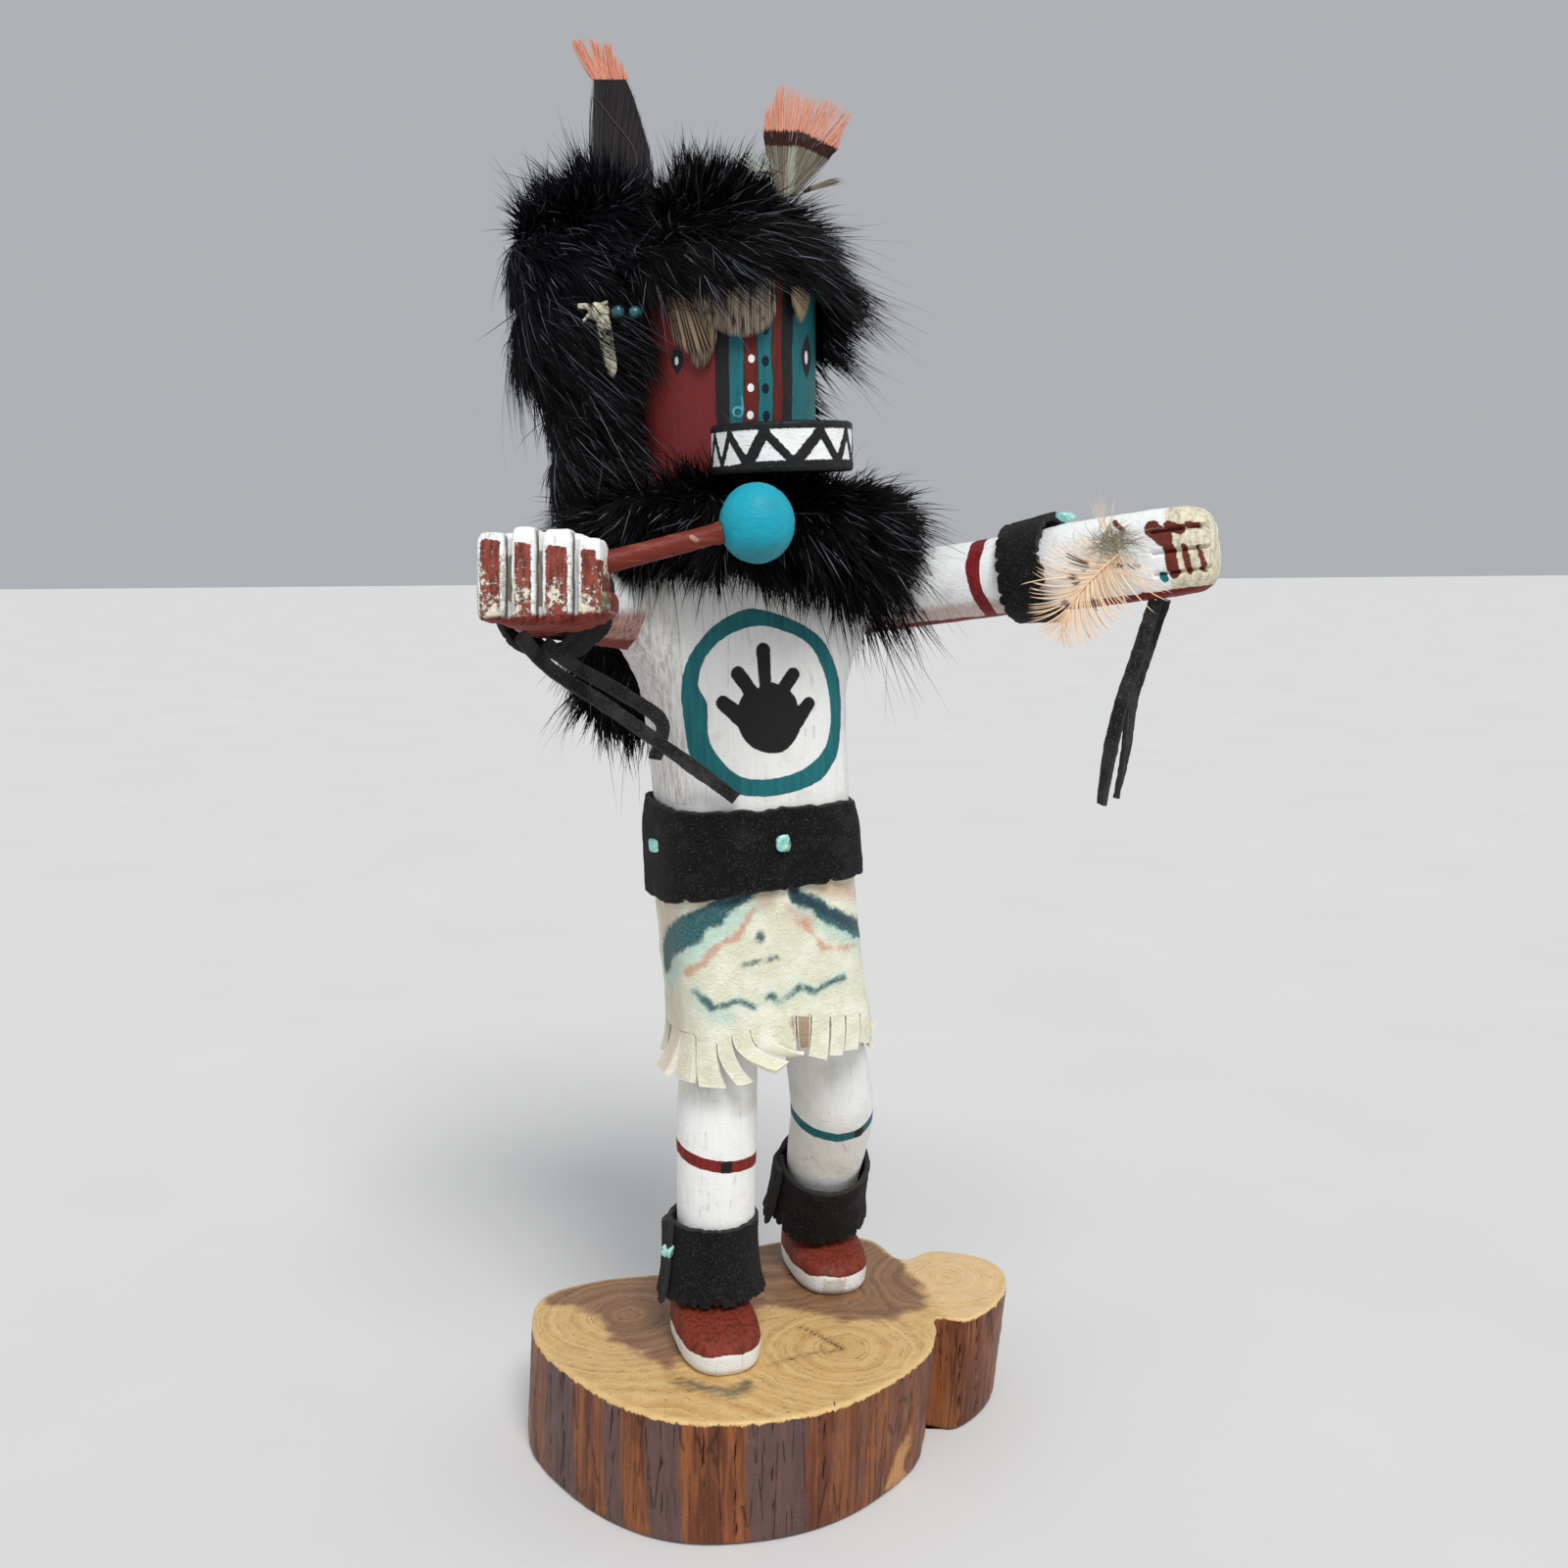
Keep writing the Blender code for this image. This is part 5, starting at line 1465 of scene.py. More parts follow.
@dataclass
class Mask:
    """The turned cylinder mask with its painted stripes, and the level disc that is its mouth."""

    axis: tuple[float, float] = MASK_AXIS
    radius: float = MASK_RADIUS
    low: float = 206.3
    shoulder: float = 262.0
    top: float = 269.0
    crown: float = 9.0
    face_turn: float = 7.7
    disc_radius: float = 13.8
    disc_thickness: float = 9.2
    disc_reach: float = 29.5
    disc_height: float = 222.9
    disc_roll: float = -2.0
    # degrees from the front at which one stripe gives way to the next
    seams: tuple[float, ...] = (-20.0, -11.2, -3.2, 5.6, 15.5, 23.0, 31.6)
    white_dots: tuple[tuple[float, float], ...] = ((1.7, 246.9), (1.6, 241.0), (1.1, 235.3), (0.8, 229.9))
    black_dots: tuple[tuple[float, float], ...] = ((10.7, 246.9), (10.7, 240.7), (10.7, 235.3), (11.3, 229.9))
    # the zigzag round the disc: degrees from the front and height
    zigzag: tuple[tuple[float, float], ...] = (
        (-108.0, 225.4), (-97.0, 219.7), (-84.9, 225.6), (-73.0, 219.8), (-61.9, 225.5), (-44.8, 219.6),
        (-29.3, 225.6), (-6.1, 219.6), (16.5, 225.6), (34.8, 219.6), (49.0, 225.6), (61.0, 219.6),
        (74.0, 225.6), (88.0, 219.6), (104.0, 225.6),
    )

    def build(self) -> None:
        """Makes the mask and the disc and dresses them."""
        self._head()
        self._disc()

    def _head(self) -> None:
        """The mask, its face side finely divided for the paint."""
        near = np.radians(np.linspace(-72, 78, 230, endpoint=False))
        far = np.radians(np.linspace(78, 288, 34, endpoint=False))
        turn = np.concatenate((near, far))
        heights = np.concatenate((np.linspace(self.low, 214.0, 8),
                                  np.linspace(214.4, self.shoulder - 1, 108)))
        profile = [(self.radius - 0.4, self.low), *((self.radius, z) for z in heights[1:])]
        rise = self.top - self.shoulder
        for degrees in np.linspace(0, 70, 12):
            bend = math.radians(degrees)
            profile.append((self.radius - self.crown * (1 - math.cos(bend)),
                            self.shoulder + rise * math.sin(bend)))
        profile += [(r, self.top - 0.4 * (r / 12.0) ** 2) for r in (12.0, 9.0, 6.0, 3.0)]
        ring = np.column_stack((np.sin(turn), -np.cos(turn)))
        rows = [at_height(self.axis + r * ring, z) for r, z in profile]
        skin = Skin.of_rows(np.array(rows))
        p = skin.points
        degrees = np.degrees(np.arctan2(p[:, 0] - self.axis[0], -(p[:, 1] - self.axis[1])))
        per = math.radians(self.radius)
        height = np.column_stack((p[:, 2], np.zeros(len(p)), np.zeros(len(p))))
        wobble = [0.9 * lattice(height, 9.0, 80 + n) + 0.35 * lattice(height, 3.0, 90 + n) for n in range(7)]
        edges = [(degrees - (seam + w)) * per for seam, w in zip(self.seams, wobble)]
        skin.marks["black"] = np.minimum(np.maximum(-edges[0], edges[1]), np.maximum(-edges[5], edges[6]))
        skin.marks["teal"] = np.minimum.reduce(
            [np.maximum(-edges[1], edges[2]), np.maximum(-edges[3], edges[4]),
             only(degrees < 150, -edges[6])])
        skin.marks["stripe"] = np.minimum(np.maximum(-edges[2], edges[3]), np.maximum(-edges[4], edges[5]))
        skin.marks["line"] = nearest(*[np.abs(edges[n]) for n in (2, 3, 4)]) - 0.16
        flat = np.column_stack((degrees * per, p[:, 2]))
        dots = [np.linalg.norm((flat - (d * per, z)) * (1.0, 0.86), axis=1) - 0.74
                for d, z in self.white_dots]
        skin.marks["white_dots"] = np.minimum.reduce(dots)
        dots = [np.linalg.norm((flat - (d * per, z)) * (1.0, 0.78), axis=1) - 0.80
                for d, z in self.black_dots]
        skin.marks["black_dots"] = np.minimum.reduce(dots)
        skin.marks["eye"], skin.marks["pupil"] = self._eyes(flat, per)
        ringed = np.linalg.norm(flat - (-6.9 * per, 230.4), axis=1)
        drip = np.minimum(np.abs(ringed - 0.95) - 0.28,
                          stroke_distance(flat, (0.22, ((-4.6 * per, 233.4), (-3.6 * per, 230.9),
                                                        (-5.0 * per, 229.4)))))
        skin.marks["drip"] = drip
        skin.pushed(0.09 * grain(p * (1, 1, 0.16), 2.6, 101, 3))
        look = PaintedWood(
            "mask paint", DULL_MAROON,
            (
                Coat("teal", TEAL, ragged=0.10, soft=0.08, streaks=0.10, thick=0.4),
                Coat("stripe", MAROON, ragged=0.10, soft=0.08, streaks=0.12, thick=0.4),
                Coat("black", (0.013, 0.014, 0.015), ragged=0.14, soft=0.10, streaks=0.1, thick=0.5),
                Coat("line", (0.02, 0.014, 0.014), ragged=0.18, soft=0.10, thick=0.1, cover=0.8),
                Coat("drip", (0.12, 0.42, 0.52), ragged=0.15, soft=0.15, thick=0.9, cover=0.85),
                Coat("eye", INK, ragged=0.08, soft=0.06, streaks=0.02),
                Coat("pupil", BRIGHT_WHITE, ragged=0.06, soft=0.06, streaks=0.05, thick=0.9),
                Coat("white_dots", BRIGHT_WHITE, ragged=0.06, soft=0.07, streaks=0.05, thick=0.9),
                Coat("black_dots", (0.006, 0.012, 0.02), ragged=0.06, soft=0.07, streaks=0.02, thick=0.9),
            ),
            grain=(1.0, 1.0, 9.0), grain_size=0.7, knife=0.2, cracks=0.35, grime=(0.085, 0.014, 0.013),
            grimy=0.5,
            rough=(0.42, 0.58), coat=0.03,
        ).make()
        skin.piece("painted_mask", look, "mask paint", "head")

    def _eyes(self, flat: np.ndarray, per: float) -> tuple[np.ndarray, np.ndarray]:
        """Upright almond eyes, one at each side of the stripes, and their white pupils."""
        eye, pupil = np.full(len(flat), FAR), np.full(len(flat), FAR)
        for middle, height, size in ((47.4, 242.4, 1.0), (-45.2, 240.9, 0.66)):
            across, up = (flat[:, 0] - middle * per) / size, (flat[:, 1] - height) / size
            half = 2.25 * np.clip(1 - (np.abs(up) / 4.5) ** 1.7, -3.0, 1.0)
            eye = np.minimum(eye, np.abs(across) - half)
            spot = np.column_stack((across + 0.25, (up + 0.25) * 0.52))
            pupil = np.minimum(pupil, np.linalg.norm(spot, axis=1) - 0.72)
        return eye, pupil

    def _disc(self) -> None:
        """The mouth: a white disc with a rough black zigzag round its rim, and painted shadow in black over
        its underside.
        """
        turn = math.radians(self.face_turn)
        centre = np.array((self.axis[0] + math.sin(turn) * self.disc_reach,
                           self.axis[1] - math.cos(turn) * self.disc_reach))
        half = self.disc_thickness / 2
        around = np.concatenate((np.radians(np.linspace(-100, 100, 230, endpoint=False)),
                                 np.radians(np.linspace(100, 260, 32, endpoint=False))))
        profile = [(r, -half) for r in (2.0, 5.0, 8.0, 10.5, 12.4)]
        profile += [(13.3, -half), (13.55, -half + 0.1), (13.75, -half + 0.3),
                    (self.disc_radius, -half + 0.6)]
        profile += [(self.disc_radius, z) for z in np.linspace(-half + 0.8, half - 0.8, 38)]
        profile += [(13.78, half - 0.5), (13.6, half - 0.22), (13.3, half - 0.05)]
        profile += [(r, half) for r in (12.6, 11.6, 10.2, 8.6, 6.6, 4.4, 2.2)]
        ring = np.column_stack((np.sin(around), -np.cos(around)))
        rows = [at_height(r * ring, z) for r, z in profile]
        skin = Skin.of_rows(np.array(rows))
        p = skin.points
        degrees = np.degrees(np.arctan2(p[:, 0], -p[:, 1]))
        per = math.radians(self.disc_radius)
        level = p[:, 2] + self.disc_height
        flat = np.column_stack((degrees * per, level))
        route = np.array([(d * per, z) for d, z in self.zigzag])
        rim = np.linalg.norm(p[:, :2], axis=1) > 13.2
        zig = np.full(len(p), FAR)
        for number, (a, b) in enumerate(zip(route, route[1:])):
            half_width = (0.62, 0.62, 0.60, 0.62, 0.78, 1.12, 0.80, 1.06, 0.84, 0.90, 0.70, 0.74, 0.68,
                          0.66)[number]
            zig = np.minimum(zig, stroke_distance(flat, (half_width, (a, b))))
        blobs = [np.linalg.norm(flat - (d * per, z), axis=1) - r
                 for d, z, r in ((-44.8, 220.4, 1.2), (-30.0, 225.4, 1.15), (-6.1, 220.2, 1.0),
                                 (34.8, 220.3, 0.8))]
        lines = np.minimum(226.1 - level, level - 219.7 - 0.5 * eased(degrees, -64.0, -40.0))
        side = nearest(zig, *blobs, lines)
        reach = np.linalg.norm(p[:, :2], axis=1)
        # Painted shadow: the underside is painted black; the top, away from its middle, is black too.
        below = (p[:, 2] < -half + 0.5) | (reach > 5.0)
        skin.marks["zigzag"] = np.where(rim, side, only(below, -2.0))
        laid = eased(skin.marks["zigzag"], 0.15, -0.3) * rim
        skin.pushed(0.05 * grain(p, 1.6, 111, 3) + laid * (0.16 + 0.16 * grain(p, 0.7, 112, 2)))
        roll = math.radians(self.disc_roll)
        p = skin.points
        skin.points = np.column_stack((
            p[:, 0] * math.cos(roll) + p[:, 2] * math.sin(roll) + centre[0],
            p[:, 1] + centre[1],
            -p[:, 0] * math.sin(roll) + p[:, 2] * math.cos(roll) + self.disc_height,
        ))
        look = PaintedWood(
            "mouth disc paint", BRIGHT_WHITE,
            (Coat("zigzag", (0.012, 0.0125, 0.0135), ragged=0.30, ragged_size=0.7, soft=0.08, streaks=0.1,
                  thick=0.8),),
            grain=(4.0, 4.0, 1.0), grain_size=0.6, knife=0.6, cracks=0.35, grimy=0.22, rough=(0.40, 0.55),
            coat=0.03,
        ).make()
        skin.piece("painted_mouth_disc", look, "mouth disc paint", "mouth_disc")


# ---------------------------------------------------------------- suede


@dataclass
class Wrap:
    """A band of black suede wound once round a limb or the waist, its end laid over its start."""

    name: str
    node: str
    origin: Way
    axis: Way
    # distance along the axis, half width, half depth, power, shift across
    rings: tuple[tuple[float, ...], ...]
    start: float
    sweep: float
    flat: tuple[float, float]
    rests_on: tuple[str, ...]
    seed: int
    thickness: float = 1.25
    tilt: float = 0.0
    ragged: tuple[float, float] = (0.35, 0.35)
    nick_pitch: float = 3.4
    nick_depth: tuple[float, float] = (0.0, 0.0)
    nick_span: tuple[float, float] = (-400.0, 400.0)
    flare: tuple[float, float] = (0.0, 0.0)
    end_flare: float = 0.0
    end_reach: tuple[float, float] = (0.0, 0.0)
    droop: float = 0.0
    rows: int = 24
    columns: int = 190
    per_degree: float = 0.19  # millimetres of edge to a degree of turn

    def build(self, look: bpy.types.Material) -> None:
        across, up, along = axes_along(np.array(self.axis))
        turn = np.linspace(self.start, self.start + self.sweep, self.columns)
        angles = np.radians(turn)
        low, high = self.rings[0][0], self.rings[-1][0]
        over = max(self.sweep - 360.0, 0.0)
        lap = self.thickness * 1.12 * eased(turn - self.start, 352.0 - over * 0.2, 366.0)
        last = eased(turn - self.start, self.sweep - 26.0, self.sweep)
        lows, highs = self._edges(turn, low, high, last)
        shares = np.concatenate(((0.0, 0.015), np.linspace(0.05, 0.95, self.rows - 4), (0.985, 1.0)))
        outer, inner = [], []
        for share in shares:
            place = lows + (highs - lows) * share
            size = smooth_rows(self.rings, np.clip(place, low, high))
            flare = self.flare[0] * (1 - share) ** 3 + self.flare[1] * share**3
            tabs = 0.4 * (1 - share) ** 2 * lattice(np.column_stack((turn / 22, turn * 0, turn * 0)), 1.0,
                                                    self.seed)
            stand = lap + flare + tabs * (self.flare[0] > 0) + self.end_flare * last**2 * (1 - share * 0.75)
            rounding = 0.25 if share in (0.0, 1.0) else 0.0
            for rows, skin in ((outer, self.thickness - rounding), (inner, rounding)):
                grown = stand + skin - self.thickness
                flat = squircle(angles, size[:, 0] + grown, size[:, 1] + grown, size[:, 2])
                flat[:, 0] += size[:, 3]
                tilt = (1 - share) * (self.tilt * flat[:, 0] - self.droop * (flat[:, 1] + size[:, 1]))
                rows.append(np.array(self.origin) + flat[:, :1] * across + flat[:, 1:] * up
                            + (place + tilt)[:, None] * along)
        skin = Skin.wall(np.array(outer), np.array(inner), False)
        depth = (highs - lows).mean()
        rim = np.minimum(shares, 1 - shares)[:, None] * depth * np.ones((1, self.columns))
        rim = np.minimum(rim, (self.start + self.sweep - turn)[None, :] * self.per_degree)
        skin.marks["edge"] = np.tile(rim.ravel(), 2) - 0.30
        p = skin.points
        skin.pushed(0.16 * grain(p, 3.4, self.seed, 3) + 0.05 * lattice(p, 0.7, self.seed + 5))
        made = skin.piece(self.name, look, "black suede", self.node)

    def _edges(self, turn: np.ndarray, low: float, high: float,
               last: np.ndarray) -> tuple[np.ndarray, np.ndarray]:
        """The cut edges, uneven and nicked, by angle."""
        run = np.column_stack((turn * self.per_degree, turn * 0, turn * 0))
        lows = (low + self.ragged[0] * (0.6 * lattice(run, 5.0, self.seed + 1)
                                        + 0.5 * lattice(run, 1.1, self.seed + 2)))
        highs = (high + self.ragged[1] * (0.6 * lattice(run, 5.0, self.seed + 3)
                                          + 0.5 * lattice(run, 0.9, self.seed + 4)))
        draw = np.random.default_rng(self.seed)
        for side, depth in enumerate(self.nick_depth):
            if depth <= 0:
                continue
            places = np.arange(run[0, 0], run[-1, 0], self.nick_pitch)
            places = places + draw.uniform(-0.35, 0.35, len(places)) * self.nick_pitch
            for place in places:
                if not self.nick_span[0] <= place / self.per_degree <= self.nick_span[1]:
                    continue
                cut = depth * draw.uniform(0.5, 1.1) * np.clip(1 - np.abs(run[:, 0] - place) / 0.55, 0, 1)
                if side == 0:
                    lows = lows + cut
                else:
                    highs = highs - cut
        return lows - self.end_reach[0] * last, highs + self.end_reach[1] * last


WRAPS = (
    Wrap("suede_belt", "belt", (0.0, 5.0, 0.0), (0.0, 0.0, 1.0),
         ((132.4, 22.7, 18.5, 4.2, -6.9), (143.0, 22.6, 18.4, 4.2, -7.6), (149.2, 21.6, 17.7, 4.2, -7.8)),
         80.0, 385.0, (157.0, 16.8), ("body", "kilt"), 201, tilt=0.1, droop=0.09, ragged=(0.5, 0.6),
         nick_pitch=4.6,
         nick_depth=(1.2, 0.0), columns=420, rows=26),
    Wrap("suede_right_wrist_cuff", "right_wrist_cuff", (-58.0, -22.8, 194.5), (-27.0, -27.4, 5.3),
         ((-13.0, 10.2, 10.2, 2.0, 0.0), (-9.0, 11.2, 11.2, 2.0, 0.0), (-5.0, 11.5, 11.5, 2.0, 0.0),
          (-2.0, 11.2, 11.2, 2.0, 0.0)),
         60.0, 392.0, (78.0, 11.0), ("right_arm",), 211, ragged=(0.6, 0.6), nick_depth=(0.8, 0.7),
         flare=(0.5, 0.2)),
    Wrap("suede_left_wrist_cuff", "left_wrist_cuff", (47.93, -23.73, 198.63), (59.4, -59.3, 12.3),
         ((-6.6, 9.8, 9.8, 2.0, 0.0), (-2.8, 10.4, 10.4, 2.0, 0.0), (0.8, 10.6, 10.6, 2.0, 0.0),
          (3.6, 10.2, 10.2, 2.0, 0.0)),
         40.0, 392.0, (80.0, 12.5), ("left_arm",), 221, ragged=(0.6, 0.8), nick_depth=(0.8, 1.0),
         flare=(0.5, 0.9)),
    Wrap("suede_right_ankle_cuff", "right_ankle_cuff", (-17.2, 0.5, 37.3), (0.0, 0.0, 1.0),
         ((1.2, 10.9, 10.9, 2.0, -0.4), (4.0, 10.5, 10.5, 2.0, -0.5), (10.0, 10.2, 10.2, 2.0, -0.5),
          (18.2, 10.0, 10.0, 2.0, -0.4)),
         -188.0, 392.0, (75.0, 18.2), ("body",), 231, ragged=(0.6, 0.35), nick_depth=(2.0, 0.0),
         nick_pitch=2.6,
         nick_span=(-150.0, 60.0), flare=(0.9, 0.2), end_flare=1.7, end_reach=(0.4, 1.6), rows=26),
    Wrap("suede_left_ankle_cuff", "left_ankle_cuff", (14.6, 26.4, 42.2), (-0.04, -0.49, 0.87),
         ((1.6, 11.5, 11.5, 2.0, 0.0), (4.0, 11.2, 11.2, 2.0, 0.0), (11.0, 11.0, 11.0, 2.0, 0.0),
          (19.0, 10.8, 10.8, 2.0, 0.0)),
         -192.0, 390.0, (76.0, 19.0), ("body",), 241, ragged=(0.7, 0.35), nick_depth=(1.8, 0.0),
         nick_pitch=2.8,
         flare=(0.6, 0.2), end_flare=0.7, end_reach=(0.2, 1.6), rows=26),
)


@dataclass(frozen=True)
class AirbrushedSuede:
    """Cream suede with a fuzzy, faintly wrinkled face, patterned with soft sprayed and dabbed colours, and
    with painted shade at its sides, under the belt and on a set-back tongue.
    """

    cream: Colour = (0.76, 0.75, 0.56)
    light: Colour = (0.88, 0.875, 0.72)
    dull: Colour = (0.50, 0.45, 0.29)
    teal: Colour = (0.010, 0.095, 0.11)
    navy: Colour = (0.016, 0.040, 0.058)
    aqua: Colour = (0.40, 0.68, 0.60)
    salmon: Colour = (0.62, 0.22, 0.135)
    # painted shade at the kilt's sides, tinted pink
    pink: Colour = (0.72, 0.47, 0.38)
    # tan: painted shade on a set-back tongue, and the tan underside of a folded flap
    tan: Colour = (0.33, 0.185, 0.11)

    def make(self) -> bpy.types.Material:
        """The material, from the kilt's marks."""
        look = Look("cream suede")
        wrinkle = look.noise(0.9, (1.2, 1.2, 1.0), 4.0, 2.0, 0.7, 0.6)
        fuzz = look.noise(0.34, detail=2.0, shift=4.0, rough=0.7)
        cloud = look.noise(5.0, detail=3.0, shift=7.0)
        rag = (look.noise(1.5, detail=4.0, shift=9.0, rough=0.65) - 0.5) * 2.0
        colour = look.mix(look.step(cloud, 0.35, 0.7), self.cream, self.light)
        colour = look.mix(look.step(wrinkle, 0.46, 0.28) * 0.28, colour, self.dull)
        # Painted shade, pinkish, over the kilt's sides.
        colour = look.mix(look.laid("pink", rag * 2.0, 3.5) * 0.42, colour, self.pink)
        grip = look.step(fuzz, 0.28, 0.56, 0.80, 1.0)
        thin = look.step(look.noise(3.0, detail=2.0, shift=25.0), 0.36, 0.54, 0.35, 1.0)
        for name, low, high, share, tone in (
            # the salmon band right under the belt is painted shade
            ("halo", 2.4, -1.6, 0.62, self.aqua), ("glow", 2.0, -1.8, 0.50, self.salmon),
            ("salmon", 0.8, -0.6, 0.70, self.salmon), ("teal", 0.95, -0.30, 1.0, self.teal),
            ("navy", 0.9, -0.5, 0.9, self.navy), ("ink", 0.75, -0.35, 0.95, self.teal),
            ("tan", 0.7, -0.7, 0.8, self.tan),
        ):
            laid = look.step(look.mark(name) + rag * (0.75 if name in ("ink", "navy") else 1.25), low, high)
            laid = laid * thin if name == "ink" else laid
            colour = look.mix(laid * grip * share, colour, tone)
        speck = look.step(look.noise(0.45, detail=2.0, shift=15.0), 0.66, 0.72)
        specks = speck * look.laid("specks", rag, 1.0)
        colour = look.mix(specks * 0.85, colour, (0.03, 0.03, 0.035))
        colour = look.mix(look.laid("edge", rag * 0.15, 0.12) * 0.7, colour, (0.90, 0.87, 0.72))
        relief = look.bump(wrinkle + fuzz * 0.7, 0.50, 0.9)
        return look.done(colour, look.step(cloud, 0.3, 0.7, 0.95, 0.85), relief, Sheen_Weight=0.2,
                         Sheen_Roughness=0.5, Specular_IOR_Level=0.25)


@dataclass(frozen=True)
class Strip:
    """One tongue of the kilt's fringe, by where its corners show against the flat sheet."""

    root: tuple[float, float]
    left: tuple[float, float]
    right: tuple[float, float]
    forward: tuple[float, float] = (-1.0, -1.0)
    # True for the set-back tongue, painted tan as painted shade
    tan: bool = False


@dataclass
class Kilt:
    """The cream suede kilt and its hand-cut fringe."""

    # height, half width, half depth, power, centre x
    rows: tuple[tuple[float, ...], ...] = (
        (89.5, 24.5, 18.6, 3.2, -2.7), (97.0, 22.8, 18.0, 3.6, -2.9), (106.0, 21.4, 17.4, 4.0, -4.4),
        (130.0, 21.0, 16.8, 4.2, -6.7), (141.0, 20.9, 16.7, 4.2, -7.4),
    )
    middle_y: float = 5.0
    front: float = -12.2
    top: float = 140.6
    thickness: float = 1.2
    columns: int = 280
    depth_rows: int = 60
    seen_from: float = 106.0  # degrees
    # across and height where the cuts of the fringe begin
    hem: tuple[tuple[float, float], ...] = (
        (-31.2, 101.2), (-27.9, 100.9), (-24.7, 100.7), (-23.8, 99.3), (-19.6, 98.9), (-16.3, 100.4),
        (-12.2, 101.3), (-8.1, 102.1), (-1.9, 103.7), (1.6, 103.2), (5.8, 102.8), (12.6, 102.5),
        (16.4, 103.6),
    )
    strips: tuple[Strip, ...] = (
        Strip((-30.6, -28.0), (-34.3, 92.7), (-31.6, 91.7), (0.5, -0.5)),
        Strip((-27.8, -24.5), (-29.3, 90.7), (-25.6, 90.4), (-0.5, -1.2)),
        Strip((-24.2, -19.8), (-23.5, 89.3), (-17.8, 88.8), (-1.2, -1.6)),
        Strip((-19.4, -16.3), (-15.1, 89.4), (-11.4, 89.9), (-1.6, -1.2)),
        Strip((-16.1, -12.2), (-6.4, 92.4), (-3.5, 93.9), (-3.6, -1.6)),
        Strip((-12.0, -8.1), (-3.3, 94.7), (-0.2, 95.2), (-1.2, -2.6)),
        Strip((-8.0, -2.1), (-4.8, 96.8), (-1.9, 96.2), (0.2, -0.4)),
        # this tongue is set back, and painted tan as painted shade
        Strip((-1.8, 1.3), (-1.0, 95.4), (0.9, 95.6), (1.6, 0.8), True),
        Strip((1.7, 5.6), (0.9, 94.5), (5.1, 93.2), (-0.9, -1.1)),
        Strip((6.0, 9.1), (5.6, 94.2), (8.7, 93.9), (-1.0, -1.0)),
        Strip((9.5, 12.4), (9.1, 94.8), (12.2, 94.7), (-0.8, -0.8)),
        Strip((12.8, 14.8), (13.2, 96.1), (15.0, 95.5), (-0.6, -0.4)),
        Strip((15.0, 16.1), (15.3, 96.5), (17.1, 98.7), (0.0, 0.5)),
    )

    def build(self) -> None:
        angles = turns(self.columns)
        hem = self._hem(angles)
        shares = np.linspace(1.0, 0.0, self.depth_rows)
        outer, inner = (
            np.array([self._at(angles, self.top + (hem - self.top) * share, grown) for share in shares])
            for grown in (0.0, -self.thickness)
        )
        skin = Skin.joined([Skin.wall(outer, inner, True), *self._front_fringe(angles), *self._back_fringe()])
        self._paint(skin)
        p = skin.points
        skin.pushed(0.28 * grain(p * (1, 1, 1.3), 7.0, 301, 3) + 0.06 * lattice(p, 1.1, 302))
        made = skin.piece("suede_kilt", AirbrushedSuede().make(), "cream suede", "kilt")

    def _at(self, angles: np.ndarray, heights: np.ndarray, grown: float) -> np.ndarray:
        """Places on the kilt by angle and height, moved out by a little."""
        size = smooth_rows(self.rows, heights)
        flat = squircle(angles, size[:, 0] + grown, size[:, 1] + grown, size[:, 2])
        return np.column_stack((flat[:, 0] + size[:, 3], flat[:, 1] + self.middle_y, heights))

    def _hem(self, angles: np.ndarray) -> np.ndarray:
        """Where the fringe begins, by angle."""
        place = self._at(angles, np.full(len(angles), 100.5), 0.0)
        flat = template(place, self.front)
        line = np.array(self.hem)
        near = np.interp(flat[:, 0], line[:, 0], line[:, 1]) - (place[:, 1] - self.front) * VIEW_LEAN
        far = np.interp(place[:, 0], (-26.0, 20.0), (98.4, 100.2))
        facing = eased(np.abs(np.degrees(angles) + self.seen_from), 96.0, 84.0)
        return near * facing + far * (1 - facing)

    def _tongue(self, root: np.ndarray, end: np.ndarray, out: np.ndarray) -> Skin:
        """A tongue of suede from its root row to its end row."""
        steps = np.concatenate(((0.0,), np.linspace(0.06, 0.96, 15), (1.0,)))
        length = np.linalg.norm(end - root, axis=1).mean()
        control = root + np.array((0, 0, -0.46 * length)) + out * 0.3
        s = steps[:, None, None]
        outer = (1 - s) ** 2 * root + 2 * s * (1 - s) * control + s**2 * end
        along = np.gradient(outer, axis=0)
        across = np.gradient(outer, axis=1)
        facing = unit(np.cross(across, -along))
        facing = np.where((facing * out).sum(-1, keepdims=True) < 0, -facing, facing)
        inner = outer - facing * self.thickness
        skin = Skin.wall(outer[::-1], inner[::-1], False)
        count = root.shape[0]
        wide = np.minimum(np.arange(count), np.arange(count)[::-1]) * np.linalg.norm(root[1] - root[0])
        rim = np.minimum(wide[None, :], (1 - steps)[:, None] * length)[::-1]
        skin.marks["edge"] = np.tile(rim.ravel(), 2) - 0.28
        return skin

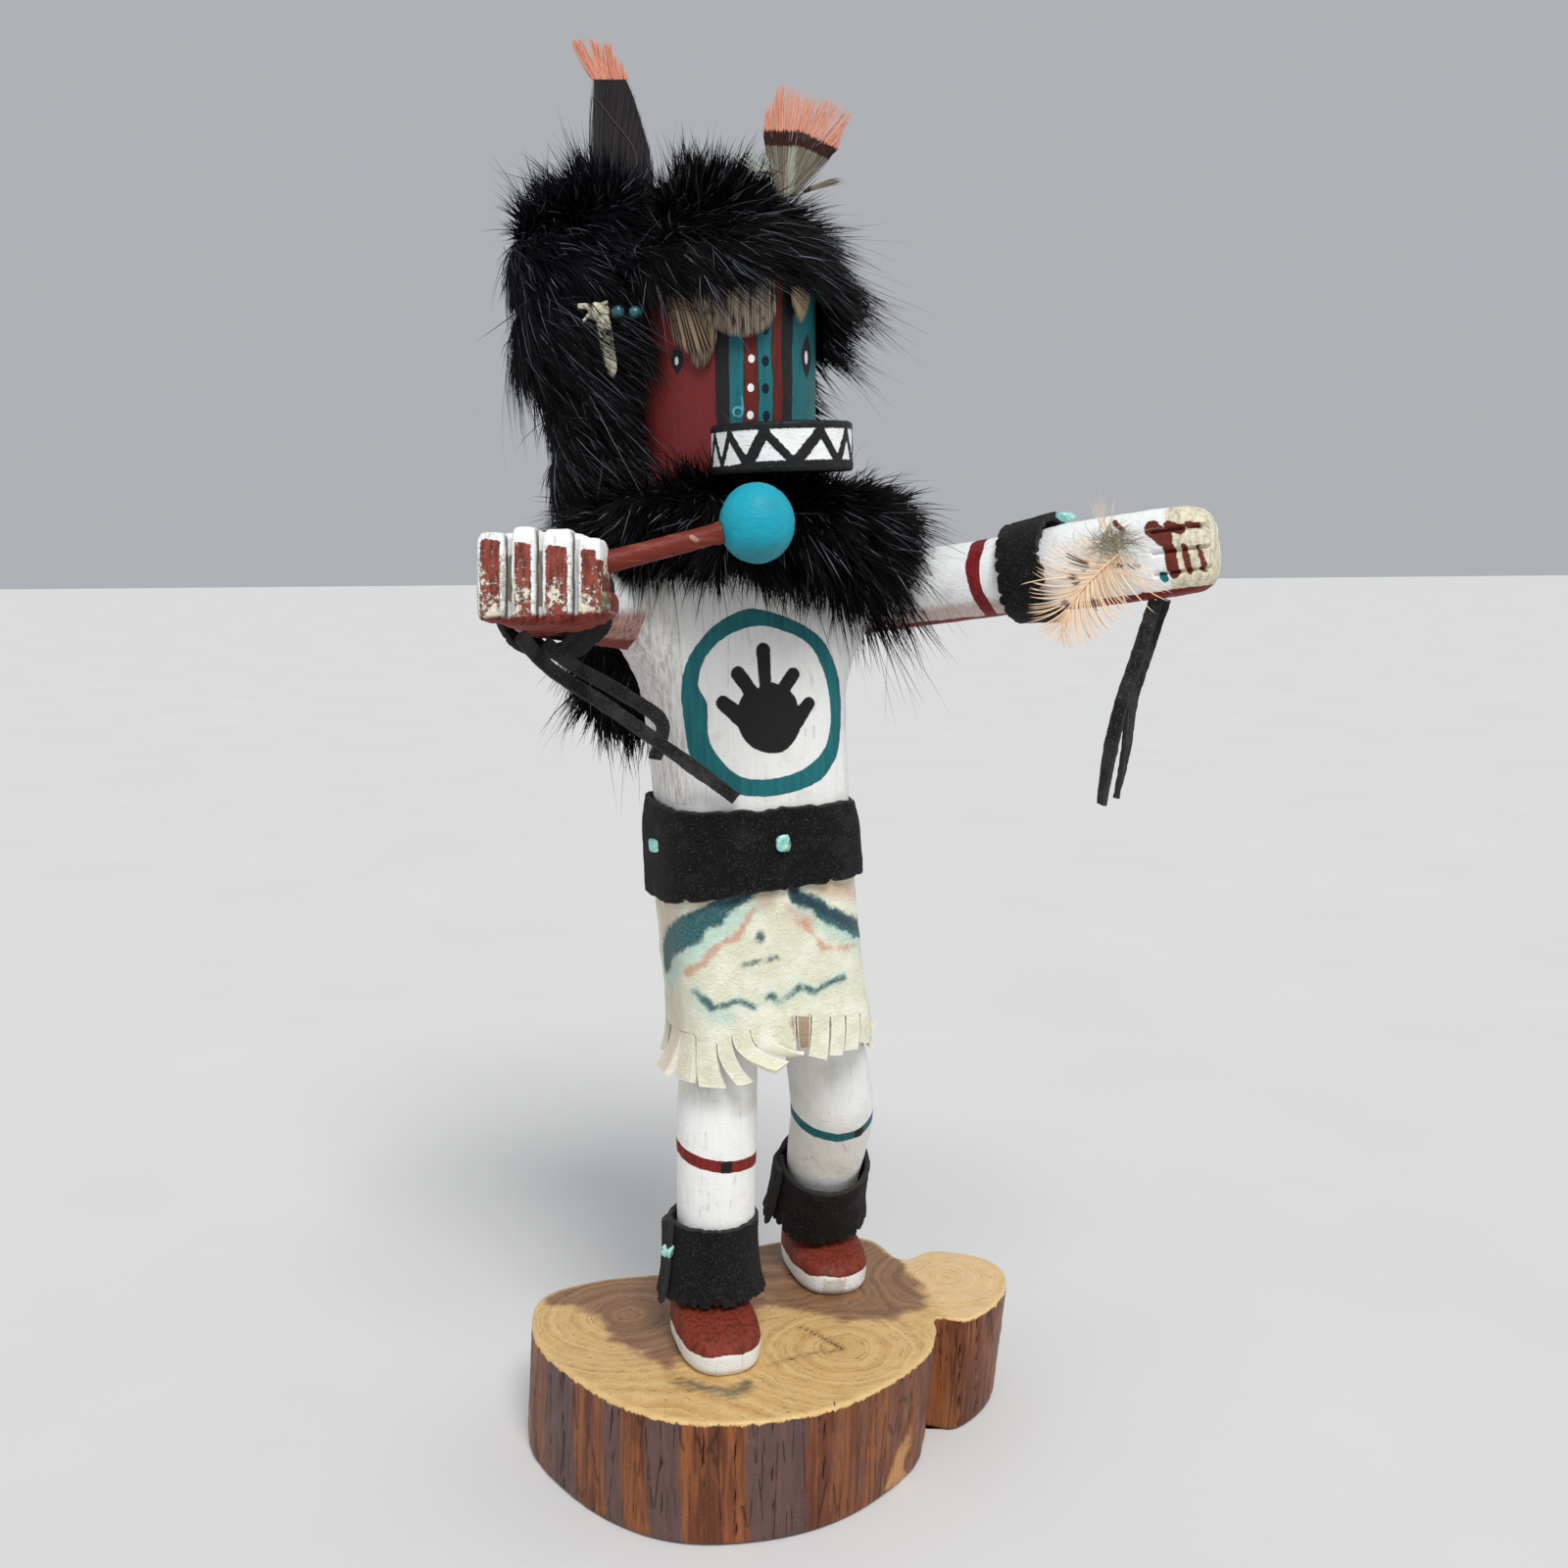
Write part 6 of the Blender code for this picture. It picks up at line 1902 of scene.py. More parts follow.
    def _front_fringe(self, angles: np.ndarray) -> list[Skin]:
        """The tongues that show, each bent its own way."""
        seen = angles[np.abs(np.degrees(angles) + self.seen_from) < 92.0]
        hem = self._at(seen, self._hem(seen), 0.0)
        across = template(hem, self.front)[:, 0]
        order = np.argsort(across)
        parts = []
        for number, strip in enumerate(self.strips):
            places = np.interp(np.linspace(*strip.root, 9), across[order], seen[order])
            root = self._at(places, self._hem(places), 0.0)
            end = []
            draw = lattice(np.array([[number * 1.7, 0.0, 0.0]]), 1.0, 17)[0]
            for t in np.linspace(0, 1, 9):
                flat = np.array(strip.left) * (1 - t) + np.array(strip.right) * t
                y = root[0, 1] * (1 - t) + root[-1, 1] * t + strip.forward[0] * (1 - t) + strip.forward[1] * t
                back = y - self.front
                bow = 0.35 * math.sin(math.pi * t) * draw
                end.append((flat[0] - back * math.tan(VIEW_TURN), y, flat[1] - back * VIEW_LEAN + bow))
            out = unit(root[4] - (self.rows[1][4], self.middle_y, root[4, 2]))
            made = self._tongue(root, np.array(end), out)
            if strip.tan:
                made.marks["tan"] = np.full(len(made.points), -1.0)
            parts.append(made)
        return parts

    def _back_fringe(self) -> list[Skin]:
        """Plain tongues of about one width round the back."""
        parts = []
        low, high = np.radians(-9.0), np.radians(159.0)
        count = 19
        edges = np.linspace(low, high, count + 1)
        draw = np.random.default_rng(77)
        for a, b in zip(edges, edges[1:]):
            gap = (b - a) * 0.06
            places = np.linspace(a + gap, b - gap, 9)
            root = self._at(places, self._hem(places), 0.0)
            way = np.column_stack((np.cos(places), np.sin(places), np.zeros(9)))
            flare, fall, swing = draw.uniform(0.6, 2.2), draw.uniform(8.2, 10.2), draw.uniform(-1.2, 1.2)
            side = np.column_stack((-np.sin(places), np.cos(places), np.zeros(9)))
            end = root + way * flare + side * swing + (0, 0, -fall)
            parts.append(self._tongue(root, end, way[4]))
        return parts

    def _paint(self, skin: Skin) -> None:
        """Marks the sprayed arcs, branches, dot, line and zigzag, the painted shade at the sides and under
        the belt, and the tan.
        """
        p = skin.points
        flat = template(p, self.front)
        seen = p[:, 1] < self.middle_y + 9.0
        left = ((-10.6, 132.6, 0.9), (-14.3, 129.9, 1.1), (-17.6, 128.8, 1.5), (-20.2, 126.9, 2.4),
                (-22.8, 126.0, 2.1), (-25.6, 123.9, 3.3), (-28.6, 121.8, 2.7), (-31.2, 118.3, 1.5),
                (-31.9, 113.8, 0.7))
        right = ((-3.1, 132.6, 0.8), (-1.7, 129.6, 1.3), (1.6, 128.5, 1.2), (5.1, 125.5, 1.5),
                 (8.6, 123.6, 1.5), (12.4, 121.4, 1.7))
        arcs = brush_distance(flat, left, right)
        below = [tuple((x + 1.6, z - 2.6, r + 0.6) for x, z, r in arc) for arc in (left, right)]
        zig = brush_distance(flat, ((-24.2, 110.3, 0.6), (-20.2, 106.5, 0.75), (-17.4, 107.1, 0.4),
                                    (-15.1, 108.0, 0.4), (-11.2, 106.4, 0.5)),
                             ((-8.5, 108.1, 0.3), (-7.6, 108.6, 0.5), (-5.8, 106.9, 0.5), (-3.5, 108.3, 0.4),
                              (-0.8, 110.0, 0.55), (2.3, 108.6, 0.6), (4.7, 110.0, 0.35), (8.8, 111.3, 0.45)))
        marks = {
            "teal": arcs,
            "navy": brush_distance(flat, ((-10.6, 132.6, 0.5), (-14.3, 130.1, 0.5), (-17.0, 129.0, 0.2)),
                                   ((-3.1, 132.6, 0.7), (-1.7, 129.8, 1.0), (4.5, 126.4, 0.6),
                                    (12.4, 121.8, 0.8))),
            "halo": nearest(brush_distance(flat, *below), zig + 0.2,
                            stroke_distance(flat, (1.0, ((-23.5, 108.4), (-20.0, 105.0), (-17.0, 104.6))))),
            # painted shade, salmon-tinted, along the belt's lower edge
            "glow": brush_distance(flat, ((-8.9, 129.9, 2.4), (-8.2, 133.5, 2.8)),
                                   ((-3.4, 127.2, 0.8), (0.2, 124.3, 1.6)),
                                   ((3.4, 131.6, 1.2), (11.4, 129.6, 1.4)),
                                   ((-24.4, 130.2, 0.5), (-18.6, 130.9, 0.9))),
            "salmon": brush_distance(flat, ((-11.2, 127.6, 0.5), (-12.8, 125.3, 0.5), (-15.1, 121.6, 0.8),
                                            (-18.2, 120.7, 0.4), (-20.6, 119.0, 0.8), (-22.5, 116.4, 0.6),
                                            (-26.0, 114.5, 0.9)),
                                     ((-0.4, 124.3, 0.6), (2.0, 121.1, 0.3), (4.3, 118.1, 0.5),
                                      (7.4, 117.9, 0.3), (10.9, 117.8, 0.5))),
            "ink": nearest(zig, np.linalg.norm((flat - (-9.9, 121.5)) * (1.0, 0.75), axis=1) - 0.85,
                           brush_distance(flat, ((-14.0, 115.7, 0.35), (-12.0, 115.9, 0.3),
                                                 (-9.7, 116.3, 0.2), (-6.2, 116.8, 0.35)))),
            "specks": brush_distance(flat, ((-26.6, 129.4, 1.2), (-21.0, 130.0, 0.8)),
                                     ((-15.1, 103.0, 0.5), (-16.3, 97.6, 0.4))),
            # painted shade, pinkish, at the kilt's sides, fading out round the back
            "pink": only(p[:, 1] < 25.0, np.minimum(flat[:, 0] + 27.5, 16.5 - flat[:, 0])),
        }
        back = p[:, 1] - self.middle_y
        fade = np.where(p[:, 0] > 0.0, np.maximum(back + 8.0, 0.0) * 0.35, np.maximum(back - 4.0, 0.0) * 0.9)
        marks["pink"] = marks["pink"] + np.maximum(back, 0.0) * 1.6
        for name, values in marks.items():
            skin.marks[name] = only(seen, values + fade)
        # Tan: painted shade on the set-back tongue, and the tan underside of the folded flap.
        tan = skin.marks.get("tan", np.full(len(p), FAR))
        fold = outline_distance(flat, np.array(((-3.4, 103.0), (-1.9, 103.8), (1.4, 103.9), (0.6, 100.0),
                                                (-2.2, 98.0))))
        skin.marks["tan"] = np.where(seen, np.minimum(tan, np.maximum(fold, flat[:, 1] - 103.4)), tan)


# ---------------------------------------------------------------- hair and barbs


def ribbons(paths: np.ndarray, half: np.ndarray, facing: np.ndarray, taper: np.ndarray) -> Skin:
    """Thin flat hairs, each ending in a point.

    Args:
        paths: Stations by hair, station and axis.
        half: Half width of each hair at its widest.
        facing: The way each hair's flat side faces.
        taper: Share of the width at each station but the last.

    Returns:
        The skin, with marks "along" from 0 at the root to 1 at the tip, and "hair", a number for each hair.
    """
    count, stations = paths.shape[:2]
    along = unit(np.gradient(paths, axis=1))
    side = unit(np.cross(along, facing[:, None, :]))
    offset = side[:, :-1] * (half[:, None] * taper[None, :])[..., None]
    pairs = np.stack((paths[:, :-1] - offset, paths[:, :-1] + offset), axis=2).reshape(count, -1, 3)
    points = np.concatenate((pairs, paths[:, -1:]), axis=1)
    each = points.shape[1]
    start = (np.arange(count) * each)[:, None]
    quads = []
    for k in range(stations - 2):
        quads.append(np.concatenate((start + 2 * k, start + 2 * k + 1, start + 2 * k + 3, start + 2 * k + 2),
                                    axis=1))
    last = 2 * (stations - 2)
    tips = np.concatenate((start + last, start + last + 1, start + last + 2), axis=1)
    faces = ([np.vstack(quads)] if quads else []) + [tips]
    share = np.append(np.repeat(np.arange(stations - 1), 2), stations - 1) / (stations - 1)
    marks = {"along": np.tile(share, count),
             "hair": np.repeat(np.modf(np.arange(count) * 0.6180339)[0], each)}
    return Skin(points.reshape(-1, 3), faces, marks)


SCREEN_RIGHT = np.array((math.cos(VIEW_TURN), math.sin(VIEW_TURN), 0.0))
TOWARDS_VIEW = np.array((math.sin(VIEW_TURN), -math.cos(VIEW_TURN), 0.15))


@dataclass(frozen=True)
class BlackFur:
    """Dyed rabbit fur: black, brownish towards some tips, with a painted bluish sheen on some lobes and
    painted blue-grey highlights along the guard hairs.
    """

    name: str = "black fur"
    deep: Colour = (0.0012, 0.0009, 0.0011)
    brown: Colour = (0.0062, 0.0034, 0.0030)
    # a painted bluish sheen, and below it the colour of painted highlights
    blue: Colour = (0.0062, 0.0088, 0.0145)
    glint: Colour = (0.15, 0.17, 0.205)

    def make(self) -> bpy.types.Material:
        """The material, from the hairs' marks."""
        look = Look(self.name)
        hair, along = look.mark("hair"), look.mark("along")
        cloud = look.noise(9.0, detail=2.0)
        colour = look.mix(look.step(hair + cloud * 0.6, 0.55, 1.1), self.deep, self.brown)
        # painted bluish sheen, then painted highlights along the middle of the lit hairs
        colour = look.mix(look.mark("blue") * look.step(hair, 0.15, 0.8), colour, self.blue)
        middle = look.step(along, 0.1, 0.4) * look.step(along, 1.05, 0.75)
        colour = look.mix(look.mark("guard") * middle, colour, self.glint)
        return look.done(colour, look.step(cloud, 0.3, 0.7, 0.56, 0.70), Specular_IOR_Level=0.10)


@dataclass(frozen=True)
class Lobe:
    """A lobe of fur and how the hair lies on it."""

    centre: Way
    radii: Way
    comb: Way = (0.0, 0.0, -0.5)
    lift: float = 0.7
    length: tuple[float, float] = (7.0, 12.0)
    share: float = 1.0
    # share of painted bluish sheen, and share of hairs with painted highlights
    blue: float = 0.0
    glints: float = 0.03


@dataclass
class Fur:
    """A piece of fur: a dark underfur, and hairs in tufts over it."""

    name: str
    node: str
    lobes: tuple[Lobe, ...]
    hairs: int
    slivers: int
    guards: int
    seed: int
    opening: tuple[Way, Way] | None = None
    tuft: float = 5.5
    stray: float = 0.16

    def build(self, look: bpy.types.Material) -> None:
        """Makes the underfur and the hair, and dresses them."""
        draw = np.random.default_rng(self.seed)
        self._underfur().piece(f"{self.name}_underfur", look, "black fur", self.node)
        hair = [
            self._hairs(self.slivers, draw, 1, 0.34, (0.35, 0.8), 0.0),
            self._hairs(self.hairs, draw, 3, 0.125, (0.55, 1.2), 0.0),
        ]
        Skin.joined(hair).piece(f"{self.name}_hair", look, "black fur", self.node)
        guard = self._hairs(self.guards, draw, 4, 0.068, (0.85, 1.8), 1.0)
        guard.piece(f"{self.name}_guard_hair", look, "black fur", self.node)

    def _hidden(self, p: np.ndarray, skip: int) -> np.ndarray:
        """Which places lie inside another lobe, the mask, the torso or the opening for the face."""
        inside = (np.hypot(*(p[:, :2] - MASK_AXIS).T) < MASK_RADIUS) & (p[:, 2] < 262.0)
        inside |= np.linalg.norm(p - (-35.4, -2.6, 250.0), axis=1) < 4.2
        inside |= (np.abs(p[:, 0] + 11.0) < 24.0) & (np.abs(p[:, 1] - 5.0) < 13.0) & (p[:, 2] < 203.0)
        for number, lobe in enumerate(self.lobes):
            if number != skip:
                inside |= (((p - lobe.centre) / np.array(lobe.radii)) ** 2).sum(axis=1) < 0.90
        if self.opening:
            low, high = (np.array(corner) for corner in self.opening)
            inside |= ((p > low) & (p < high)).all(axis=1)
        return inside

    def _underfur(self) -> Skin:
        """The dark lobes under the hair."""
        parts = []
        for number, lobe in enumerate(self.lobes):
            made = ball_skin(np.array(lobe.centre), np.array(lobe.radii) * 0.95, 18, 26)
            made.pushed(0.9 * grain(made.points * (1, 1, 0.5), 3.0, self.seed + number, 3))
            if self.opening:
                low, high = (np.array(corner) for corner in self.opening)
                out = ((made.points > low) & (made.points < high)).all(axis=1)
                made.faces = [face[~out[face].any(axis=1)] for face in made.faces]
            parts.append(made)
        whole = Skin.joined(parts)
        count = len(whole.points)
        whole.marks = {"hair": np.zeros(count), "along": np.zeros(count), "blue": np.zeros(count),
                       "guard": np.zeros(count)}
        return whole

    def _roots(self, count: int, draw: np.random.Generator) -> tuple[np.ndarray, np.ndarray, np.ndarray]:
        """Places on the lobes for hairs to grow from, the way the skin faces there, and each one's lobe."""
        sizes = [lobe.share * math.prod(lobe.radii) ** (2 / 3) for lobe in self.lobes]
        found = [[], [], []]
        for number, (lobe, size) in enumerate(zip(self.lobes, sizes)):
            wanted = int(count * size / sum(sizes) * 1.5)
            ball = unit(draw.normal(size=(wanted * 3, 3)))
            radii = np.array(lobe.radii)
            stretch = np.linalg.norm(ball / radii, axis=1) * radii.min()
            normals = unit(ball / radii)
            seen = 0.42 + 0.58 * eased(normals @ TOWARDS_VIEW, -0.5, 0.0)
            keep = draw.random(len(ball)) < stretch * seen
            points, normals = (lobe.centre + ball * radii)[keep][:wanted], normals[keep][:wanted]
            clear = ~self._hidden(points, number)
            found[0].append(points[clear])
            found[1].append(normals[clear])
            found[2].append(np.full(clear.sum(), number))
        points, normals, which = (np.concatenate(part) for part in found)
        pick = draw.permutation(len(points))[:count]
        return points[pick], normals[pick], which[pick]

    def _hairs(self, count: int, draw: np.random.Generator, stations: int, half: float,
               lengths: tuple[float, float], guard: float) -> Skin:
        """Hairs of one kind.

        Args:
            count: About how many.
            draw: Random draws.
            stations: Points along each, less the tip.
            half: Half width in millimetres.
            lengths: Shortest and longest, as shares of the lobe's own lengths.
            guard: 1 for guard hairs, half of which get painted highlights; 0 for fur.

        Returns:
            The hairs as one skin.
        """
        roots, normals, which = self._roots(count, draw)
        comb = np.array([lobe.comb for lobe in self.lobes])[which]
        lift = np.array([lobe.lift for lobe in self.lobes])[which][:, None]
        span = np.array([lobe.length for lobe in self.lobes])[which]
        comb = self._combed(roots, comb)
        wild = np.stack([lattice(roots, self.tuft, self.seed + axis) for axis in (1, 2, 3)], axis=1)
        fine = np.stack([lattice(roots, 1.8, self.seed + axis) for axis in (4, 5, 6)], axis=1)
        stray = draw.normal(size=roots.shape) * self.stray * (1.6 if guard else 1.0)
        way = unit(normals * lift + comb + 0.50 * wild + 0.28 * fine + stray)
        into = np.minimum((way * normals).sum(axis=1, keepdims=True) - 0.10, 0.0)
        way = unit(way - normals * into)
        share = draw.uniform(0, 1, len(roots)) ** 1.3
        tall = 0.75 + 0.35 * lattice(roots, 4.0, self.seed + 9)
        length = (span[:, 0] + (span[:, 1] - span[:, 0]) * share) * tall * draw.uniform(*lengths, len(roots))
        t = np.linspace(0, 1, stations + 1)[None, :, None]
        bend = comb * 0.55 + (0, 0, -0.16) + draw.normal(size=roots.shape) * 0.16 + wild * 0.18
        paths = (roots[:, None] - normals[:, None] * 0.8
                 + length[:, None, None] * (way[:, None] * t + bend[:, None] * t**2 * 0.5))
        paths = self._clear_of_mask(paths)
        facing = unit(normals + 0.9 * TOWARDS_VIEW + 0.5 * draw.normal(size=roots.shape))
        taper = np.array((1.0, 0.9, 0.7, 0.5, 0.35))[:stations]
        width = half * draw.uniform(0.7, 1.3, len(roots))
        skin = ribbons(paths, width, facing, taper)
        each = len(skin.points) // len(roots)
        # painted bluish sheen on some hairs; the guard mark picks the hairs that get painted highlights
        lobe_blue = np.array([lobe.blue for lobe in self.lobes])[which]
        skin.marks["blue"] = np.repeat(lobe_blue * draw.uniform(0.3, 1.0, len(roots)), each)
        pale = np.array([lobe.glints for lobe in self.lobes])[which]
        lit = (draw.random(len(roots)) < (0.5 if guard else pale)) * draw.uniform(0.35, 1.0, len(roots))
        skin.marks["guard"] = np.repeat(lit, each)
        skin.marks["hair"] = np.repeat(draw.random(len(roots)), each)
        return skin

    def _combed(self, roots: np.ndarray, comb: np.ndarray) -> np.ndarray:
        """The comb, which turns across the brow and lets the crown's tufts stand."""
        if not self.opening:
            return comb
        brow = eased(roots[:, 2], 276.0, 264.0)[:, None] * eased(roots @ TOWARDS_VIEW, -4.0, 12.0)[:, None]
        crown = eased(roots[:, 2], 269.0, 275.0)[:, None]
        swept = 0.85 * SCREEN_RIGHT + (0.0, 0.0, -0.70)
        return comb * (1 - brow) * (1 - 0.7 * crown) + swept * brow + crown * np.array((0.0, 0.0, 0.25))

    def _clear_of_mask(self, paths: np.ndarray) -> np.ndarray:
        """Hairs held just off the mask."""
        flat = paths[..., :2] - MASK_AXIS
        reach = np.linalg.norm(flat, axis=-1, keepdims=True)
        out = np.where(paths[..., 2:] < 263.0, np.maximum(20.9 / np.maximum(reach, 1e-6), 1.0), 1.0)
        moved = paths.copy()
        moved[..., :2] = flat * out + MASK_AXIS
        return np.where((reach < 20.9) & (reach > 15.0), moved, paths)


WIG = Fur(
    "wig", "fur_wig",
    (
        Lobe((-12.6, 7.5, 254.4), (22.4, 23.2, 21.0), (0.10, 0.0, -0.15), 0.75, (8.0, 14.5), 1.35, 0.25,
             0.035),
        Lobe((-44.0, 16.0, 260.0), (12.6, 12.4, 13.6), (-0.35, 0.0, -0.15), 0.85, (8.0, 13.0), 1.3,
             1.0, 0.03),
        Lobe((-37.0, 15.0, 268.4), (10.8, 10.6, 10.2), (-0.25, 0.0, 0.10), 0.85, (8.0, 13.0), 1.3, 1.0, 0.03),
        Lobe((-45.8, 13.0, 247.6), (10.0, 10.6, 12.6), (-0.80, -0.1, -0.45), 0.65, (11.0, 20.0), 1.4,
             0.6, 0.02),
        Lobe((-40.5, 10.5, 232.0), (9.6, 11.0, 18.0), (-0.15, 0.0, -0.70), 0.65, (8.0, 13.0), 1.2, 0.3, 0.03),
        Lobe((-38.5, 9.0, 218.0), (11.2, 11.2, 11.2), (-0.10, 0.0, -0.70), 0.60, (8.0, 12.0), 1.1, 0.2, 0.03),
        Lobe((-15.5, 5.5, 268.6), (11.5, 12.0, 9.8), (0.15, 0.0, 0.30), 0.9, (8.0, 14.0), 1.3, 0.2, 0.035),
        Lobe((3.4, 5.0, 254.5), (4.6, 9.5, 11.0), (0.75, -0.10, -0.85), 0.50, (9.0, 21.0), 0.9, 0.1, 0.02),
        Lobe((-15.0, 22.0, 243.4), (18.6, 12.5, 30.5), (0.0, 0.15, -0.70), 0.65, (8.0, 13.0), 0.8, 0.2, 0.03),
        Lobe((-7.5, 22.5, 227.0), (10.5, 7.5, 19.0), (0.1, 0.15, -0.75), 0.55, (7.0, 11.0), 0.7, 0.2, 0.03),
        Lobe((-24.0, 20.5, 222.5), (12.5, 8.0, 16.5), (-0.1, 0.15, -0.75), 0.55, (7.0, 11.0), 0.6, 0.2, 0.03),
        Lobe((2.2, 15.5, 234.0), (5.5, 8.0, 22.0), (0.0, 0.35, -0.75), 0.45, (6.0, 10.0), 0.7, 0.2, 0.03),
    ),
    hairs=31000, slivers=36000, guards=4200, seed=501, opening=((-33.5, -45.0, 200.0), (6.5, -2.0, 257.2)),
)


def collar_lobes() -> tuple[Lobe, ...]:
    """The ring of the collar as lobes, thinner over the right shoulder, and its tail down the back."""
    lobes = []
    for degrees in range(0, 360, 18):
        turn = math.radians(degrees)
        x, y = math.cos(turn), math.sin(turn)
        right = (1 - x) / 2
        thin = 1 - 0.34 * right
        front = max(-y, 0.0)
        centre = (-10.0 + 26.4 * x, 3.5 + 18.5 * y, 202.5 + 3.6 * right + 3.6 * front)
        comb = (0.35 * x, 0.30 * y, -0.60 + 0.25 * front)
        long = 13.0 + 6.5 * max(x, 0.0)
        lobes.append(Lobe(centre, (10.6, 9.6, 11.2 * thin), comb, 0.62, (7.5, long), 1.0, 0.15, 0.02))
    lobes.append(Lobe((-20.0, 27.5, 193.0), (21.5, 8.0, 15.5), (0.0, 0.2, -0.8), 0.6, (8.0, 13.0), 0.6))
    lobes.append(Lobe((-28.0, 28.0, 178.0), (14.5, 6.5, 16.5), (0.0, 0.2, -0.8), 0.6, (8.0, 13.0), 0.7))
    return tuple(lobes)


COLLAR = Fur("collar", "fur_collar", collar_lobes(), hairs=24000, slivers=26000, guards=1900, seed=601)


# ---------------------------------------------------------------- feathers


@dataclass(frozen=True)
class Plume:
    """Feather barbs: a ground colour, and bands of others where their marks are below zero."""

    name: str
    ground: Colour
    second: Colour
    bands: tuple[tuple[str, Colour, float], ...]
    shine: float = 0.45

    def make(self) -> bpy.types.Material:
        """The material."""
        look = Look(self.name)
        hair = look.mark("hair")
        rag = (hair - 0.5) * 1.2 + (look.noise(0.5, detail=2.0) - 0.5)
        colour = look.mix(look.step(hair, 0.1, 0.9), self.ground, self.second)
        for mark, tone, ragged in self.bands:
            laid = look.laid(mark, rag * ragged, 0.22)
            shade = look.mix(look.step(hair, 0.0, 1.0), tone, toned(tone, 0.72))
            colour = look.mix(laid, colour, shade)
        return look.done(colour, look.step(hair, 0.0, 1.0, self.shine, self.shine + 0.2),
                         Specular_IOR_Level=0.2)


@dataclass
class FlatFeather:
    """A feather whose barbs lie about on one upright plane."""

    place: Way
    degrees: float

    @property
    def across(self) -> np.ndarray:
        """The level way along the plane."""
        turn = math.radians(self.degrees)
        return np.array((math.cos(turn), math.sin(turn), 0.0))

    @property
    def forward(self) -> np.ndarray:
        """The way the plane faces."""
        across = self.across
        return np.array((across[1], -across[0], 0.0))

    def at(self, flat: np.ndarray, off: np.ndarray | float = 0.0) -> np.ndarray:
        """Places on the plane from (across, height), stood forward by a little."""
        return (np.array(self.place) + flat[..., :1] * self.across + np.asarray(off)[..., None] * self.forward
                + flat[..., 1:2] * ALONG_Z)

    def barbs(self, starts: np.ndarray, ends: np.ndarray, half: float, bow: float, seed: int,
              stations: int = 6, cup: float = 0.0) -> tuple[Skin, np.ndarray]:
        """Barbs from starts to ends on the plane, bowed to one side.

        Args:
            starts: Where they leave the shaft.
            ends: Their tips.
            half: Half width.
            bow: How far the middle stands to one side, as a share of the length.
            seed: Random draws.
            stations: Points along each.
            cup: How far the tips stand forward.

        Returns:
            The skin, and the flat places of its points.
        """
        draw = np.random.default_rng(seed)
        t = np.linspace(0, 1, stations)[None, :, None]
        way = ends - starts
        side = np.stack((-way[:, 1], way[:, 0]), axis=1)
        curve = bow + draw.normal(size=len(way)) * 0.018
        flat = starts[:, None] + way[:, None] * t + (side * curve[:, None])[:, None] * 4 * t * (1 - t)
        off = draw.uniform(-0.25, 0.25, len(way))[:, None] + cup * t[..., 0] ** 2
        paths = self.at(flat, off)
        facing = self.forward + 0.25 * draw.normal(size=(len(way), 3))
        taper = np.linspace(1.0, 0.55, stations - 1)
        skin = ribbons(paths, np.full(len(way), half), unit(facing), taper)
        local = skin.points - np.array(self.place)
        return skin, np.stack((local @ self.across, local[:, 2]), axis=1)


def along_line(line: tuple, shares: np.ndarray) -> np.ndarray:
    """Places along a broken line by share of its length."""
    p = np.array(line, dtype=float)
    run = np.concatenate(([0.0], np.cumsum(np.linalg.norm(np.diff(p, axis=0), axis=1))))
    run /= run[-1]
    return np.stack([np.interp(shares, run, p[:, axis]) for axis in range(p.shape[1])], axis=1)


def shaft(path: np.ndarray, radius: float) -> Skin:
    """A tapering round quill along a path."""
    fine = spline(path, 8)
    along = unit(np.gradient(fine, axis=0))
    side = unit(np.cross(along, ALONG_Y))
    other = np.cross(along, side)
    turn = np.linspace(0, math.tau, 8, endpoint=False)
    size = radius * np.linspace(1.0, 0.35, len(fine))[:, None, None]
    grid = (fine[:, None] + size * (np.cos(turn)[None, :, None] * side[:, None]
                                    + np.sin(turn)[None, :, None] * other[:, None]))
    skin = Skin.of_rows(grid)
    skin.marks = {"hair": np.full(len(skin.points), 0.5), "along": np.zeros(len(skin.points))}
    return skin


